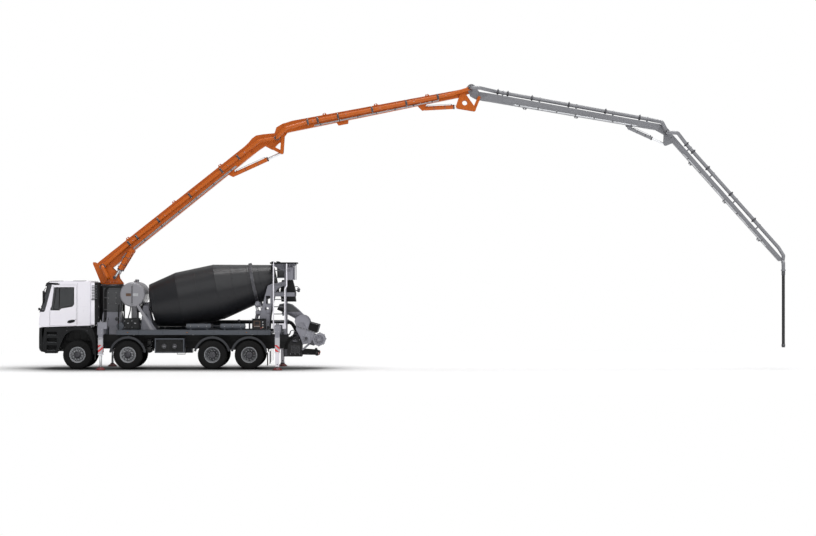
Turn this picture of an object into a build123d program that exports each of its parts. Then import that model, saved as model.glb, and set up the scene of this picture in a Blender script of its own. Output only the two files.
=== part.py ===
"""Truck-mounted concrete mixer and pump with a four-section placing boom.

Millimetres. Ground is z = 0, the cab faces -X, the boom tip points to +X and the vehicle's left side is -Y.
The origin is on the ground, midway between the cab's front and the boom's tip.
"""
import os
from math import atan2, cos, degrees, radians, sin, tan

from build123d import *

os.makedirs("parts", exist_ok=True)

# ---------------------------------------------------------------- driving dimensions
BODY_HALF = 1240  # half width of the cab and of the mixer deck
FRONT_X = -13890  # front face of the bumper

# Wheels and axles
AXLE_1_X = -12470
AXLE_GAPS = [1870, 3130, 1370]
TYRE_R = 538
TYRE_W = 300
RIM_R = 290
WHEEL_Y = 1035  # middle of a steered wheel
TWIN_OUTER_Y = 1080
TWIN_INNER_Y = 745
KINGPIN_Y = 850
KINGPIN_R = 28
STUB_R = 45
RUN_GAP = 0.05  # radial running clearance at pins and shafts
FACE_GAP = 0.3  # gap between seated faces

# Chassis frame
RAIL_OUT = 430
RAIL_T = 10
RAIL_FLANGE = 85
RAIL_Z0, RAIL_Z1 = 750, 1020
RAIL_X0, RAIL_X1 = -13600, -4700

# Mixer subframe and deck
SUB_Z1 = 1280
DECK_Z1 = 1460
DECK_X0, DECK_X1 = -11020, -5300
DECK_EDGE_W = 120

# Cab
CAB_X0, CAB_X1 = -13890, -11960
CAB_Z0, CAB_Z1 = 1560, 3260
CAB_WALL = 45
DOOR_X0, DOOR_X1 = -13480, -12500
DOOR_Z0, DOOR_Z1 = 1620, 3130
DOOR_GAP = 8
CAB_HINGE_X, CAB_HINGE_Z = -13780, 1410
CAB_HINGE_R = 30
DOOR_HINGE_X, DOOR_HINGE_Y = DOOR_X0 + 12, BODY_HALF + 8
DOOR_HINGE_Z = (1800, 2120)
DOOR_PIN_R = 7

# Outriggers
FRONT_LEG_X, REAR_LEG_X = -11515, -5010
FRONT_LEG_Y, REAR_LEG_Y = 1950, 2080
BEAM_H, BEAM_W = 220, 190
FRONT_BEAM_Z, REAR_BEAM_Z = 1440, 1500
BEAM_GAP = 8
LEG_W = 170
JACK_R = 45
REAR_JACK_W = 138  # the rear legs are square tubes
FOOT_R = 175

# Pedestal, turret and boom
SLEW_X = -11280
RING_R = 390
RING_Z0, RING_Z1 = 3090, 3160
BOOM_FOOT = (-11620, 3805)  # x and z of the lift pivot
SECTION_LENGTHS = [8110, 7500, 7530, 6500]
SECTION_ANGLES = [36.5, 14.4, -12.8, -48.3]
PIN_R = 55
PIPE_R = 68
PIPE_WALL = 6
PIPE_Y, PIPE_2_Y = -275, -288
SWIVEL_Y = [-440, -388, -375, -288, -196]  # swivel faces of the pipe at the fold axes and at the tip

# Drum, in the frame of its inclined axis
DRUM_TILT = 12
DRUM_MID = (-7300, 2869)  # x and z of the rear end of the cylindrical course
DRUM_R = 1040
DRUM_WALL = 8
DRUM_COURSE = 1450
DRUM_FRONT_CONE = 1050
DRUM_FRONT_R = 810
DRUM_REAR_CONE = 2200
DRUM_MOUTH_R = 560
RING_AT = 1355
DRUM_RING_R = 805

# Water tank
TANK_X, TANK_Z, TANK_R, TANK_HALF = -10445, 2775, 455, 1100

# Pipe stores on the deck
STORE_R = 105

# Fill port and towing socket
FILL_R = 51
TOW_R = 22

# End hose
HOSE_R = 58
HOSE_LEN = 2850

# ---------------------------------------------------------------- worked-out places
AXLE_X = [AXLE_1_X]
for gap in AXLE_GAPS:
    AXLE_X.append(AXLE_X[-1] + gap)

PIVOTS = [BOOM_FOOT]
for length, angle in zip(SECTION_LENGTHS, SECTION_ANGLES):
    x, z = PIVOTS[-1]
    PIVOTS.append((x + length * cos(radians(angle)), z + length * sin(radians(angle))))


def side(x=0.0, z=0.0, y=0.0, angle=0.0):
    """A sketch plane seen from the left side, its local x turned up from +X by angle, facing -Y."""
    return Plane(origin=(x, y, z), x_dir=(cos(radians(angle)), 0, sin(radians(angle))), z_dir=(0, -1, 0))


def section_plane(index, y=0.0):
    """The side plane of boom section index, with its root pivot at (0, 0)."""
    x, z = PIVOTS[index]
    return side(x, z, y, SECTION_ANGLES[index])


def local_to_world(plane, x, z):
    """World x and z of a local point on a side plane."""
    point = plane.from_local_coords(Vector(x, z, 0))
    return point.X, point.Z


def save(part, label):
    part.part.label = label
    export_step(part.part, f"parts/{label}.step")
    return part


# ---------------------------------------------------------------- chassis
with BuildPart() as chassis_frame:
    middle = (RAIL_X0 + RAIL_X1) / 2
    with BuildSketch(Plane.YZ.offset(RAIL_X0)) as rails:
        for hand in (-1, 1):
            with Locations((hand * (RAIL_OUT - RAIL_FLANGE / 2), (RAIL_Z0 + RAIL_Z1) / 2)):
                Rectangle(RAIL_FLANGE, RAIL_Z1 - RAIL_Z0)
            with Locations((hand * (RAIL_OUT - RAIL_T - RAIL_FLANGE / 2), (RAIL_Z0 + RAIL_Z1) / 2)):
                Rectangle(RAIL_FLANGE, RAIL_Z1 - RAIL_Z0 - 2 * RAIL_T, mode=Mode.SUBTRACT)
    extrude(amount=RAIL_X1 - RAIL_X0)
    cross_x = [RAIL_X0 + 60, -11760, -9600, -8400, (AXLE_X[2] + AXLE_X[3]) / 2, RAIL_X1 - 60]
    for x in cross_x:
        with BuildSketch(Plane.XZ.offset(-(RAIL_OUT - RAIL_T))):
            with Locations((x, (RAIL_Z0 + RAIL_Z1) / 2)):
                Rectangle(90, 150)
        extrude(amount=2 * (RAIL_OUT - RAIL_T))
    # Cab mounts: the tilt shaft in front and two rests behind.
    with BuildSketch(Plane.XZ.offset(-560)):
        with Locations((CAB_HINGE_X, CAB_HINGE_Z)):
            Circle(CAB_HINGE_R)
    extrude(amount=1120)
    for hand in (-1, 1):
        with BuildSketch(Plane.XZ.offset(-hand * 385)):
            with BuildLine():
                Polyline((RAIL_X0, RAIL_Z1 - 5), (RAIL_X0 + 260, RAIL_Z1 - 5),
                         (CAB_HINGE_X + 60, CAB_HINGE_Z + 10), (CAB_HINGE_X - 40, CAB_HINGE_Z + 10),
                         (RAIL_X0, RAIL_Z1 - 5))
            make_face()
        extrude(amount=30, both=True)
        with Locations((CAB_X1 - 110, hand * 385, (RAIL_Z1 - 5 + CAB_Z0 - FACE_GAP) / 2)):
            Box(90, 70, CAB_Z0 - FACE_GAP - RAIL_Z1 + 5)
save(chassis_frame, "chassis_frame")

SPRING_Z = RAIL_Z0 - FACE_GAP

with BuildPart() as axles:
    for x in AXLE_X[:2]:
        # A dropped beam with an eye for the kingpin at each end.
        with BuildSketch(Plane.YZ.offset(x)):
            with BuildLine():
                Polyline((-KINGPIN_Y, 495), (-640, 495), (-560, 425), (560, 425), (640, 495), (KINGPIN_Y, 495),
                         (KINGPIN_Y, 585), (620, 585), (540, 525), (-540, 525), (-620, 585), (-KINGPIN_Y, 585),
                         (-KINGPIN_Y, 495))
            make_face()
        extrude(amount=50, both=True)
        for hand in (-1, 1):
            with Locations((x, hand * KINGPIN_Y, 540)):
                Cylinder(58, 90)
                Cylinder(KINGPIN_R + RUN_GAP, 90, mode=Mode.SUBTRACT)
            with BuildSketch(Plane.XZ.offset(-hand * 385)):
                with BuildLine():
                    Line((x - 620, SPRING_Z), (x - 620, SPRING_Z - 45))
                    ThreePointArc((x - 620, SPRING_Z - 45), (x, 520), (x + 620, SPRING_Z - 45))
                    Line((x + 620, SPRING_Z - 45), (x + 620, SPRING_Z))
                    ThreePointArc((x + 620, SPRING_Z), (x, 585), (x - 620, SPRING_Z))
                make_face()
            extrude(amount=38, both=True)
    for x in AXLE_X[2:]:
        # A drive axle: tube, round differential housing and tapered hub spindles.
        with BuildSketch(Plane.XY.offset(TYRE_R)):
            with BuildLine():
                Polyline((x, -900), (x + STUB_R, -900), (x + STUB_R, -560), (x + 85, -540), (x + 85, -260),
                         (x + 120, -240), (x + 230, -150), (x + 230, 150), (x + 120, 240), (x + 85, 260),
                         (x + 85, 540), (x + STUB_R, 560), (x + STUB_R, 900), (x, 900), (x, -900))
            make_face()
        revolve(axis=Axis((x, 0, TYRE_R), (0, 1, 0)))
    mid_x = (AXLE_X[2] + AXLE_X[3]) / 2
    for hand in (-1, 1):
        with BuildSketch(Plane.XZ.offset(-hand * 385)):
            with BuildLine():
                Polyline((AXLE_X[2] - 60, TYRE_R), (AXLE_X[2] + 60, TYRE_R), (AXLE_X[2] + 90, 640), (mid_x - 200, 700),
                         (mid_x + 200, 700), (AXLE_X[3] - 90, 640), (AXLE_X[3] - 60, TYRE_R), (AXLE_X[3] + 60, TYRE_R),
                         (AXLE_X[3] + 60, 700), (mid_x + 220, SPRING_Z), (mid_x - 220, SPRING_Z),
                         (AXLE_X[2] - 60, 700), (AXLE_X[2] - 60, TYRE_R))
            make_face()
        extrude(amount=38, both=True)
save(axles, "axles")

with BuildPart() as engine_block:
    # The engine with its gearbox behind, carried on the front cross-member.
    with BuildSketch(Plane.XY.offset(800)):
        with Locations(((RAIL_X0 + 105.3 - 12300) / 2, 0)):
            Rectangle(-12300 - RAIL_X0 - 105.3, 640)
    extrude(amount=700)
    fillet(engine_block.edges().filter_by(Axis.Z), 60)
    with BuildSketch(Plane.YZ.offset(-12300)):
        with Locations((0, 960)):
            Circle(190)
    extrude(amount=-12300 + 11760 + 1080 - 45 - FACE_GAP - 540, taper=4)
save(engine_block, "engine_block")

LEG_SETS = [
    ("front", FRONT_LEG_X, FRONT_LEG_Y, FRONT_BEAM_Z),
    ("rear", REAR_LEG_X, REAR_LEG_Y, REAR_BEAM_Z),
]
HOUSING_HALF = 1120

with BuildPart() as subframe:
    # Two long box rails on the chassis rails, deck edges, cross-members and walkways.
    for hand in (-1, 1):
        with Locations(((DECK_X0 - 700 + RAIL_X1) / 2, hand * 385, (RAIL_Z1 + FACE_GAP + SUB_Z1) / 2)):
            Box(RAIL_X1 - DECK_X0 + 700, 90, SUB_Z1 - RAIL_Z1 - FACE_GAP)
        with Locations(((DECK_X0 + DECK_X1) / 2, hand * (BODY_HALF - 30 - DECK_EDGE_W / 2), (SUB_Z1 + DECK_Z1) / 2)):
            Box(DECK_X1 - DECK_X0, DECK_EDGE_W, DECK_Z1 - SUB_Z1)
            Box(DECK_X1 - DECK_X0 - 20, DECK_EDGE_W - 16, DECK_Z1 - SUB_Z1 - 16, mode=Mode.SUBTRACT)
        with Locations(((DECK_X0 + DECK_X1) / 2, hand * 960, DECK_Z1 - 4)):
            Box(DECK_X1 - DECK_X0, 340, 8)
    for x in (DECK_X0 + 240, -9560, -8700, -7800, -6900, -6200, DECK_X1 - 60):
        with Locations((x, 0, SUB_Z1 + 50)):
            Box(80, 2 * (BODY_HALF - 60), 100)
            Box(64, 2 * (BODY_HALF - 60), 84, mode=Mode.SUBTRACT)
        for hand in (-1, 1):
            with Locations((x, hand * 960, (SUB_Z1 + DECK_Z1) / 2 + 45)):
                Box(80, 60, DECK_Z1 - SUB_Z1 - 92)
        # Cross housings that the outrigger beams slide in.
    for name, leg_x, leg_y, beam_z in LEG_SETS:
        with Locations((leg_x, 0, beam_z)):
            Box(BEAM_W + 2 * BEAM_GAP + 24, 2 * HOUSING_HALF, BEAM_H + 2 * BEAM_GAP + 24)
            Box(BEAM_W + 2 * BEAM_GAP, 2 * HOUSING_HALF, BEAM_H + 2 * BEAM_GAP, mode=Mode.SUBTRACT)
        for hand in (-1, 1):
            # Slide pads on which each beam runs.
            with Locations((leg_x, hand * (HOUSING_HALF - 60), beam_z - BEAM_H / 2 - BEAM_GAP / 2 - FACE_GAP / 2)):
                Box(BEAM_W, 100, BEAM_GAP - FACE_GAP)
        low = beam_z - BEAM_H / 2 - BEAM_GAP - 12
        if low > SUB_Z1:
            for hand in (-1, 1):
                with Locations((leg_x, hand * 385, (SUB_Z1 + low) / 2)):
                    Box(180, 90, low - SUB_Z1 + 2)
save(subframe, "subframe")

with BuildPart() as front_bumper:
    # Bumper, steps and the front wheel arches as one moulded band.
    arch_r = TYRE_R + 110
    with BuildSketch(Plane.XZ.offset(-BODY_HALF)) as band:
        with BuildLine():
            Polyline((FRONT_X, 700), (FRONT_X + 70, 620), (FRONT_X + 560, 600), (AXLE_X[0] - arch_r, 640),
                     (AXLE_X[0] - arch_r, TYRE_R))
            ThreePointArc((AXLE_X[0] - arch_r, TYRE_R), (AXLE_X[0], TYRE_R + arch_r), (AXLE_X[0] + arch_r, TYRE_R))
            Polyline((AXLE_X[0] + arch_r, TYRE_R), (AXLE_X[0] + arch_r, 560), (AXLE_X[0] + arch_r + 60, 560),
                     (AXLE_X[0] + arch_r + 60, 1200), (AXLE_X[0] + 480, 1500), (FRONT_X, 1500), (FRONT_X, 700))
        make_face()
    extrude(amount=2 * BODY_HALF)
    fillet(front_bumper.edges().filter_by(Axis.Z).sort_by(Axis.X)[:2], 90)
    # Open behind the front band: the chassis, the engine and the steered wheels stand in here.
    with BuildSketch(Plane.XY.offset(500)):
        with Locations(((FRONT_X + 45 + AXLE_X[0] + 1200) / 2, 0)):
            Rectangle(AXLE_X[0] + 1200 - FRONT_X - 45, 2 * (BODY_HALF - 50))
    extrude(amount=1100, mode=Mode.SUBTRACT)
    # Notches for the cab's tilt lugs.
    for hand in (-1, 1):
        with Locations((FRONT_X + 20, hand * 300, 1500)):
            Box(80, 80, 300, mode=Mode.SUBTRACT)
    # Steps cut into each side, and air slots in the front.
    for hand in (-1, 1):
        for z in (760, 1060, 1330):
            with Locations((FRONT_X + 480, hand * BODY_HALF, z)):
                Box(420, 60, 130, mode=Mode.SUBTRACT)
    for z in (900, 1060, 1220):
        with Locations((FRONT_X, 0, z)):
            Box(200, 1200, 80, mode=Mode.SUBTRACT)
    # Brackets to the chassis rails.
    for hand in (-1, 1):
        with Locations((FRONT_X + 40 + (RAIL_X0 - FRONT_X - 40 - FACE_GAP) / 2, hand * 385, 985)):
            Box(RAIL_X0 - FRONT_X - 40 - FACE_GAP, 60, 60)
        # Lining behind the step wells.
        with Locations((FRONT_X + 480, hand * (BODY_HALF - 40), 1040)):
            Box(520, 12, 760)
    # Socket for a towing pin.
    with BuildSketch(Plane.YZ.offset(FRONT_X)):
        with Locations((-620, 760)):
            Circle(45)
            Circle(TOW_R, mode=Mode.SUBTRACT)
    extrude(amount=110)
    with BuildSketch(Plane.YZ.offset(FRONT_X)):
        with Locations((-620, 760)):
            Circle(TOW_R)
    extrude(amount=110, mode=Mode.SUBTRACT)
save(front_bumper, "front_bumper")

MUDGUARD_SETS = [AXLE_X[1], AXLE_X[2], AXLE_X[3]]

with BuildPart() as mudguards:
    guard_r = TYRE_R + 75
    for x in MUDGUARD_SETS:
        for hand in (-1, 1):
            inner_y = 600 if x > AXLE_X[1] else 850
            start = 25 if x != AXLE_X[3] else 5
            end = 160 if x != AXLE_X[3] else 150
            with BuildSketch(Plane.XZ.offset(-hand * (inner_y + BODY_HALF) / 2)):
                with BuildLine():
                    outer = [(x + (guard_r + 12) * cos(radians(a)), TYRE_R + (guard_r + 12) * sin(radians(a)))
                             for a in (start, (start + end) / 2, end)]
                    inner = [(x + guard_r * cos(radians(a)), TYRE_R + guard_r * sin(radians(a)))
                             for a in (end, (start + end) / 2, start)]
                    ThreePointArc(*outer)
                    Line(outer[2], inner[0])
                    ThreePointArc(*inner)
                    Line(inner[2], outer[0])
                make_face()
            extrude(amount=(BODY_HALF - inner_y) / 2, both=True)
            # Bracket down from the subframe's deck.
            top = SUB_Z1 - FACE_GAP
            with Locations((x, hand * 1150, (TYRE_R + guard_r + 6 + top) / 2)):
                Box(60, 60, top - TYRE_R - guard_r - 6)
save(mudguards, "mudguards")

with BuildPart() as equipment_boxes:
    # Battery and tool box on the left, fuel tank on the right, hung from the chassis rails.
    box_z1, box_z0 = RAIL_Z1 + 120, 620
    with Locations((-9050, -(RAIL_OUT + FACE_GAP + 380), (box_z0 + box_z1) / 2)):
        Box(1080, 760, box_z1 - box_z0)
        Box(1068, 748, box_z1 - box_z0 - 12, mode=Mode.SUBTRACT)
    for k in range(8):
        with Locations((-9515 + k * 133, -(RAIL_OUT + FACE_GAP + 764), (box_z0 + box_z1) / 2)):
            Box(24, 12, box_z1 - box_z0 - 60)
    with BuildSketch(Plane.YZ.offset(-9700)):
        with Locations((RAIL_OUT + FACE_GAP + 340, 840)):
            RectangleRounded(680, 560, 90)
    extrude(amount=1350)
    with BuildSketch(Plane.YZ.offset(-9694)):
        with Locations((RAIL_OUT + FACE_GAP + 340, 840)):
            RectangleRounded(668, 548, 84)
    extrude(amount=1338, mode=Mode.SUBTRACT)
    # Control box, black tank and pipe store on the deck.
    for x, y, size_x, size_y, size_z in (
        (-10470, -760, 520, 560, 420),
        (-5740, -950, 420, 420, 300),
    ):
        with Locations((x, y, DECK_Z1 + FACE_GAP + size_z / 2)):
            Box(size_x, size_y, size_z)
            Box(size_x - 12, size_y - 12, size_z - 12, mode=Mode.SUBTRACT)
    # Pipe stores: closed tubes on two saddles each.
    for x in (-7980, -6720):
        with BuildSketch(Plane.YZ.offset(x - 440)):
            with Locations((-985, DECK_Z1 + 130)):
                Circle(STORE_R)
        extrude(amount=880)
        for reach in (-300, 300):
            with Locations((x + reach, -985, DECK_Z1 + FACE_GAP + 45)):
                Box(50, 170, 90)
        with BuildSketch(Plane.YZ.offset(x - 434)):
            with Locations((-985, DECK_Z1 + 130)):
                Circle(STORE_R - 6)
        extrude(amount=868, mode=Mode.SUBTRACT)
save(equipment_boxes, "equipment_boxes")

# ---------------------------------------------------------------- knuckles and wheels
KNUCKLES = [("1l", AXLE_X[0], -1), ("1r", AXLE_X[0], 1), ("2l", AXLE_X[1], -1), ("2r", AXLE_X[1], 1)]

for tag, x, hand in KNUCKLES:
    with BuildPart() as knuckle:
        # Kingpin in the beam's eye, a fork around the eye, and the stub axle.
        with Locations((x, hand * KINGPIN_Y, 540)):
            Cylinder(KINGPIN_R, 190)
        for z in (472, 608):
            with Locations((x, hand * (KINGPIN_Y + 20), z)):
                Box(110, 150, 36)
        with Locations((x, hand * (KINGPIN_Y + 80), 540)):
            Box(120, 32, 172)
        with BuildSketch(Plane.XZ.offset(-hand * (KINGPIN_Y + 90))):
            with Locations((x, TYRE_R)):
                Circle(STUB_R)
        extrude(amount=-hand * 200)
        # Steering arm.
        with Locations((x + 110, hand * (KINGPIN_Y - 20), 470)):
            Box(220, 50, 32)
    save(knuckle, f"knuckle_{tag}")


def wheel_profile(hub_in, hub_out, rim_mid, disc_y):
    """Half section of a disc wheel about its axle, local x outwards and local y as the radius."""
    half = TYRE_W / 2 - 25
    return Polyline((hub_in, STUB_R + RUN_GAP), (hub_out, STUB_R + RUN_GAP), (hub_out, 105), (disc_y + 16, 130),
                    (disc_y + 16, 235), (rim_mid + half, 262), (rim_mid + half, RIM_R),
                    (rim_mid - half, RIM_R), (rim_mid - half, 265), (disc_y - 6, 245), (disc_y - 6, 140),
                    (hub_in, 130), (hub_in, STUB_R + RUN_GAP))


def tyre_profile(mid):
    """Half section of a tyre seated on its rim, as a closed line."""
    half = TYRE_W / 2
    base = RIM_R + FACE_GAP
    return (
        Polyline((mid - half + 30, TYRE_R - 12), (mid - half + 62, TYRE_R), (mid + half - 62, TYRE_R),
                 (mid + half - 30, TYRE_R - 12)),
        ThreePointArc((mid + half - 30, TYRE_R - 12), (mid + half, (TYRE_R + base) / 2), (mid + half - 32, base)),
        Line((mid + half - 32, base), (mid - half + 32, base)),
        ThreePointArc((mid - half + 32, base), (mid - half, (TYRE_R + base) / 2), (mid - half + 30, TYRE_R - 12)),
    )


WHEELS = [(f"wheel_{tag}", x, hand, [WHEEL_Y]) for tag, x, hand in KNUCKLES]
for number, x in ((3, AXLE_X[2]), (4, AXLE_X[3])):
    for letter, hand in (("l", -1), ("r", 1)):
        WHEELS.append((f"wheel_{number}{letter}", x, hand, [TWIN_OUTER_Y, TWIN_INNER_Y]))

for label, x, hand, middles in WHEELS:
    twin = len(middles) == 2
    # Local x runs outwards from the vehicle's middle, local y upwards from the axle.
    plane = Plane(origin=(x, 0, TYRE_R), x_dir=(0, hand, 0), z_dir=(1, 0, 0) if hand > 0 else (-1, 0, 0))
    axle = Axis((x, 0, TYRE_R), (0, 1, 0))
    with BuildPart() as wheel:
        with BuildSketch(plane):
            with BuildLine():
                if twin:
                    wheel_profile(600, TWIN_OUTER_Y + 110, TWIN_OUTER_Y, (TWIN_OUTER_Y + TWIN_INNER_Y) / 2 + 10)
                else:
                    wheel_profile(WHEEL_Y - 60, WHEEL_Y + 165, WHEEL_Y, WHEEL_Y + 70)
            make_face()
            if twin:
                half = TYRE_W / 2 - 25
                inner_disc = (TWIN_OUTER_Y + TWIN_INNER_Y) / 2
                with BuildLine():
                    Polyline((inner_disc - 20, 130), (inner_disc + 8, 130), (inner_disc + 8, 240),
                             (TWIN_INNER_Y + half, 262), (TWIN_INNER_Y + half, RIM_R), (TWIN_INNER_Y - half, RIM_R),
                             (TWIN_INNER_Y - half, 265), (inner_disc - 20, 245), (inner_disc - 20, 130))
                make_face()
        revolve(axis=axle)
        with BuildSketch(plane):
            for mid in middles:
                with BuildLine():
                    tyre_profile(mid)
                make_face()
        revolve(axis=axle)
    save(wheel, label)

# ---------------------------------------------------------------- cab
def cab_outline(inset=0.0):
    """Side outline of the cab with its raked windscreen, drawn inwards by inset."""
    return Polyline((CAB_X0 + 10 + inset, CAB_Z0 + inset), (CAB_X0 + inset, 1800), (CAB_X0 + 60 + inset, 2200),
                    (CAB_X0 + 330 + inset, CAB_Z1 - 60 - inset * 0.4), (CAB_X0 + 430 + inset, CAB_Z1 - inset),
                    (CAB_X1 - inset, CAB_Z1 - inset), (CAB_X1 - inset, CAB_Z0 + inset),
                    (CAB_X0 + 10 + inset, CAB_Z0 + inset))


def door_outline(grow=0.0):
    """Side outline of a door; grow gives the aperture around it."""
    return Polyline((DOOR_X0 - grow, DOOR_Z0 - grow), (DOOR_X0 - grow, 2180), (DOOR_X0 + 60 - grow, 2260),
                    (DOOR_X0 + 160 - grow, DOOR_Z1 + grow), (DOOR_X1 + grow, DOOR_Z1 + grow),
                    (DOOR_X1 + grow, DOOR_Z0 - grow), (DOOR_X0 - grow, DOOR_Z0 - grow))


def window_outline(inset=0.0):
    """Side outline of a door window with its stepped lower edge."""
    return Polyline((DOOR_X0 + 130 + inset, 2280 + inset), (DOOR_X0 + 230 + inset, 3040 - inset),
                    (DOOR_X1 - 90 - inset, 3040 - inset), (DOOR_X1 - 90 - inset, 2420 + inset),
                    (DOOR_X1 - 160 - inset, 2340 + inset), (DOOR_X0 + 420, 2280 + inset),
                    (DOOR_X0 + 340, 2210 + inset), (DOOR_X0 + 130 + inset, 2210 + inset),
                    (DOOR_X0 + 130 + inset, 2280 + inset))


with BuildPart() as cab_shell:
    with BuildSketch(Plane.XZ.offset(-BODY_HALF)):
        with BuildLine():
            cab_outline()
        make_face()
    extrude(amount=2 * BODY_HALF)
    fillet(cab_shell.edges().filter_by(Axis.Z).sort_by(Axis.X)[-2:], 90)
    with BuildSketch(Plane.XZ.offset(-BODY_HALF + CAB_WALL)):
        with BuildLine():
            cab_outline(CAB_WALL)
        make_face()
    extrude(amount=2 * (BODY_HALF - CAB_WALL), mode=Mode.SUBTRACT)
    # Door apertures on both sides and the windscreen aperture.
    for hand in (-1, 1):
        with BuildSketch(Plane.XZ.offset(-hand * (BODY_HALF - CAB_WALL / 2))):
            with BuildLine():
                door_outline(DOOR_GAP)
            make_face()
        extrude(amount=CAB_WALL, both=True, mode=Mode.SUBTRACT)
    with BuildSketch(Plane.YZ.offset(CAB_X0 - 50)):
        with Locations((0, 2690)):
            RectangleRounded(2 * BODY_HALF - 220, 900, 60)
    extrude(amount=500, mode=Mode.SUBTRACT)
    # Door hinge pins, each on a lug under its barrel.
    for hand in (-1, 1):
        for z in DOOR_HINGE_Z:
            with Locations((DOOR_HINGE_X, hand * DOOR_HINGE_Y, z)):
                Cylinder(DOOR_PIN_R, 96)
            with Locations((DOOR_HINGE_X, hand * DOOR_HINGE_Y, z - 56)):
                Cylinder(7.5, 16)
            with Locations((DOOR_HINGE_X - 12.5, hand * (DOOR_HINGE_Y + 1.5), z - 56)):
                Box(25, 13, 16)
            with Locations((DOOR_X0 - 24, hand * (DOOR_HINGE_Y - 2), z - 56)):
                Box(30, 24, 16)
    # Tilt lugs that reach down to the hinge shaft.
    for hand in (-1, 1):
        with BuildSketch(Plane.XZ.offset(-hand * 300)):
            with BuildLine():
                Polyline((CAB_HINGE_X - 60, CAB_Z0 + 20), (CAB_HINGE_X - 60, CAB_HINGE_Z),
                         (CAB_HINGE_X + 60, CAB_HINGE_Z), (CAB_HINGE_X + 100, CAB_Z0 + 20),
                         (CAB_HINGE_X - 60, CAB_Z0 + 20))
            make_face()
            with Locations((CAB_HINGE_X, CAB_HINGE_Z)):
                Circle(60)
                Circle(CAB_HINGE_R + RUN_GAP, mode=Mode.SUBTRACT)
        extrude(amount=25, both=True)
save(cab_shell, "cab_shell")

SCREEN_ANGLE = degrees(atan2(CAB_Z1 - 60 - 2200, 270))
SCREEN_INNER_ANGLE = degrees(atan2(CAB_Z1 - 60 - 0.4 * CAB_WALL - 2200, 270))

with BuildPart() as cab_glass:
    # The windscreen, seated against the inside of the front wall.
    with BuildSketch(side(CAB_X0 + 60 + CAB_WALL, 2200, 0, SCREEN_INNER_ANGLE)):
        with Locations((490, -6 - FACE_GAP)):
            Rectangle(950, 12)
    extrude(amount=BODY_HALF - 90, both=True)
save(cab_glass, "cab_glass")

with BuildPart() as cab_interior:
    floor = CAB_Z0 + CAB_WALL + FACE_GAP
    # Steering wheel and column, dashboard, floor and two seats.
    with Locations(Location((CAB_X0 + 530, -620, 2185), (0, 55, 0))):
        Cylinder(225, 30)
        Cylinder(195, 30, mode=Mode.SUBTRACT)
        Box(440, 50, 22)
    with BuildSketch(Plane.XZ.offset(-BODY_HALF + 80)):
        with BuildLine():
            Polyline((CAB_X0 + 75, floor), (CAB_X0 + 260, floor), (CAB_X0 + 330, 1980), (CAB_X0 + 420, 2080),
                     (CAB_X0 + 380, 2200), (CAB_X0 + 130, 2150), (CAB_X0 + 75, 1800), (CAB_X0 + 75, floor))
        make_face()
    extrude(amount=2 * (BODY_HALF - 80))
    with Locations(((CAB_X0 + 260 + CAB_X1) / 2, 0, floor + 10)):
        Box(CAB_X1 - CAB_X0 - 360, 1600, 20)
    with BuildSketch(side(CAB_X0 + 380, 2080, -620, 35)):
        with Locations((90, 0)):
            Rectangle(260, 60)
    extrude(amount=30, both=True)
    for y in (-620, 620):
        with BuildSketch(Plane.XZ.offset(-y)):
            with BuildLine():
                Polyline((-12900, floor + 10), (-12500, floor + 10), (-12480, 1950), (-12330, 2700), (-12430, 2760),
                         (-12640, 2080), (-13000, 2060), (-13010, 1930), (-12900, 1900), (-12900, floor + 10))
            make_face()
        extrude(amount=240, both=True)
save(cab_interior, "cab_interior")

with BuildPart() as cab_trim:
    # Sun visor over the windscreen.
    with BuildSketch(Plane.XZ.offset(-BODY_HALF + 60)):
        with BuildLine():
            Polyline((CAB_X0 + 230, 3080), (CAB_X0 + 324, 3200), (CAB_X0 + 427, 3260.3), (CAB_X0 + 600, 3260.3),
                     (CAB_X0 + 600, 3275), (CAB_X0 + 420, 3276), (CAB_X0 + 270, 3200), (CAB_X0 + 230, 3080))
        make_face()
    extrude(amount=2 * (BODY_HALF - 60))
    # Air intake and fairing behind the cab.
    for hand, depth in ((-1, 420), (1, 260)):
        with BuildSketch(Plane.XY.offset(CAB_Z0 + 100)):
            with Locations((CAB_X1 + FACE_GAP + 135, hand * (BODY_HALF - 20 - depth / 2))):
                Rectangle(270, depth)
        extrude(amount=1560)
    with Locations((CAB_X1 + FACE_GAP + 60, 0, CAB_Z0 + 180)):
        Box(120, 2 * BODY_HALF - 640, 120)
    # Mirrors on arms at both front corners.
    for hand in (-1, 1):
        with Locations((CAB_X0 + 30, hand * (BODY_HALF + FACE_GAP + 75), 2240)):
            Box(60, 150, 90)
        with Locations((CAB_X0 + 190, hand * (BODY_HALF + FACE_GAP + 65), 2700)):
            Box(70, 130, 420)
        with BuildSketch(side(CAB_X0 + 30, 2240, hand * (BODY_HALF + 12), SCREEN_ANGLE)):
            with Locations((480, -60)):
                Rectangle(1020, 26)
        extrude(amount=12 - FACE_GAP, both=True)
save(cab_trim, "cab_trim")

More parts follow.
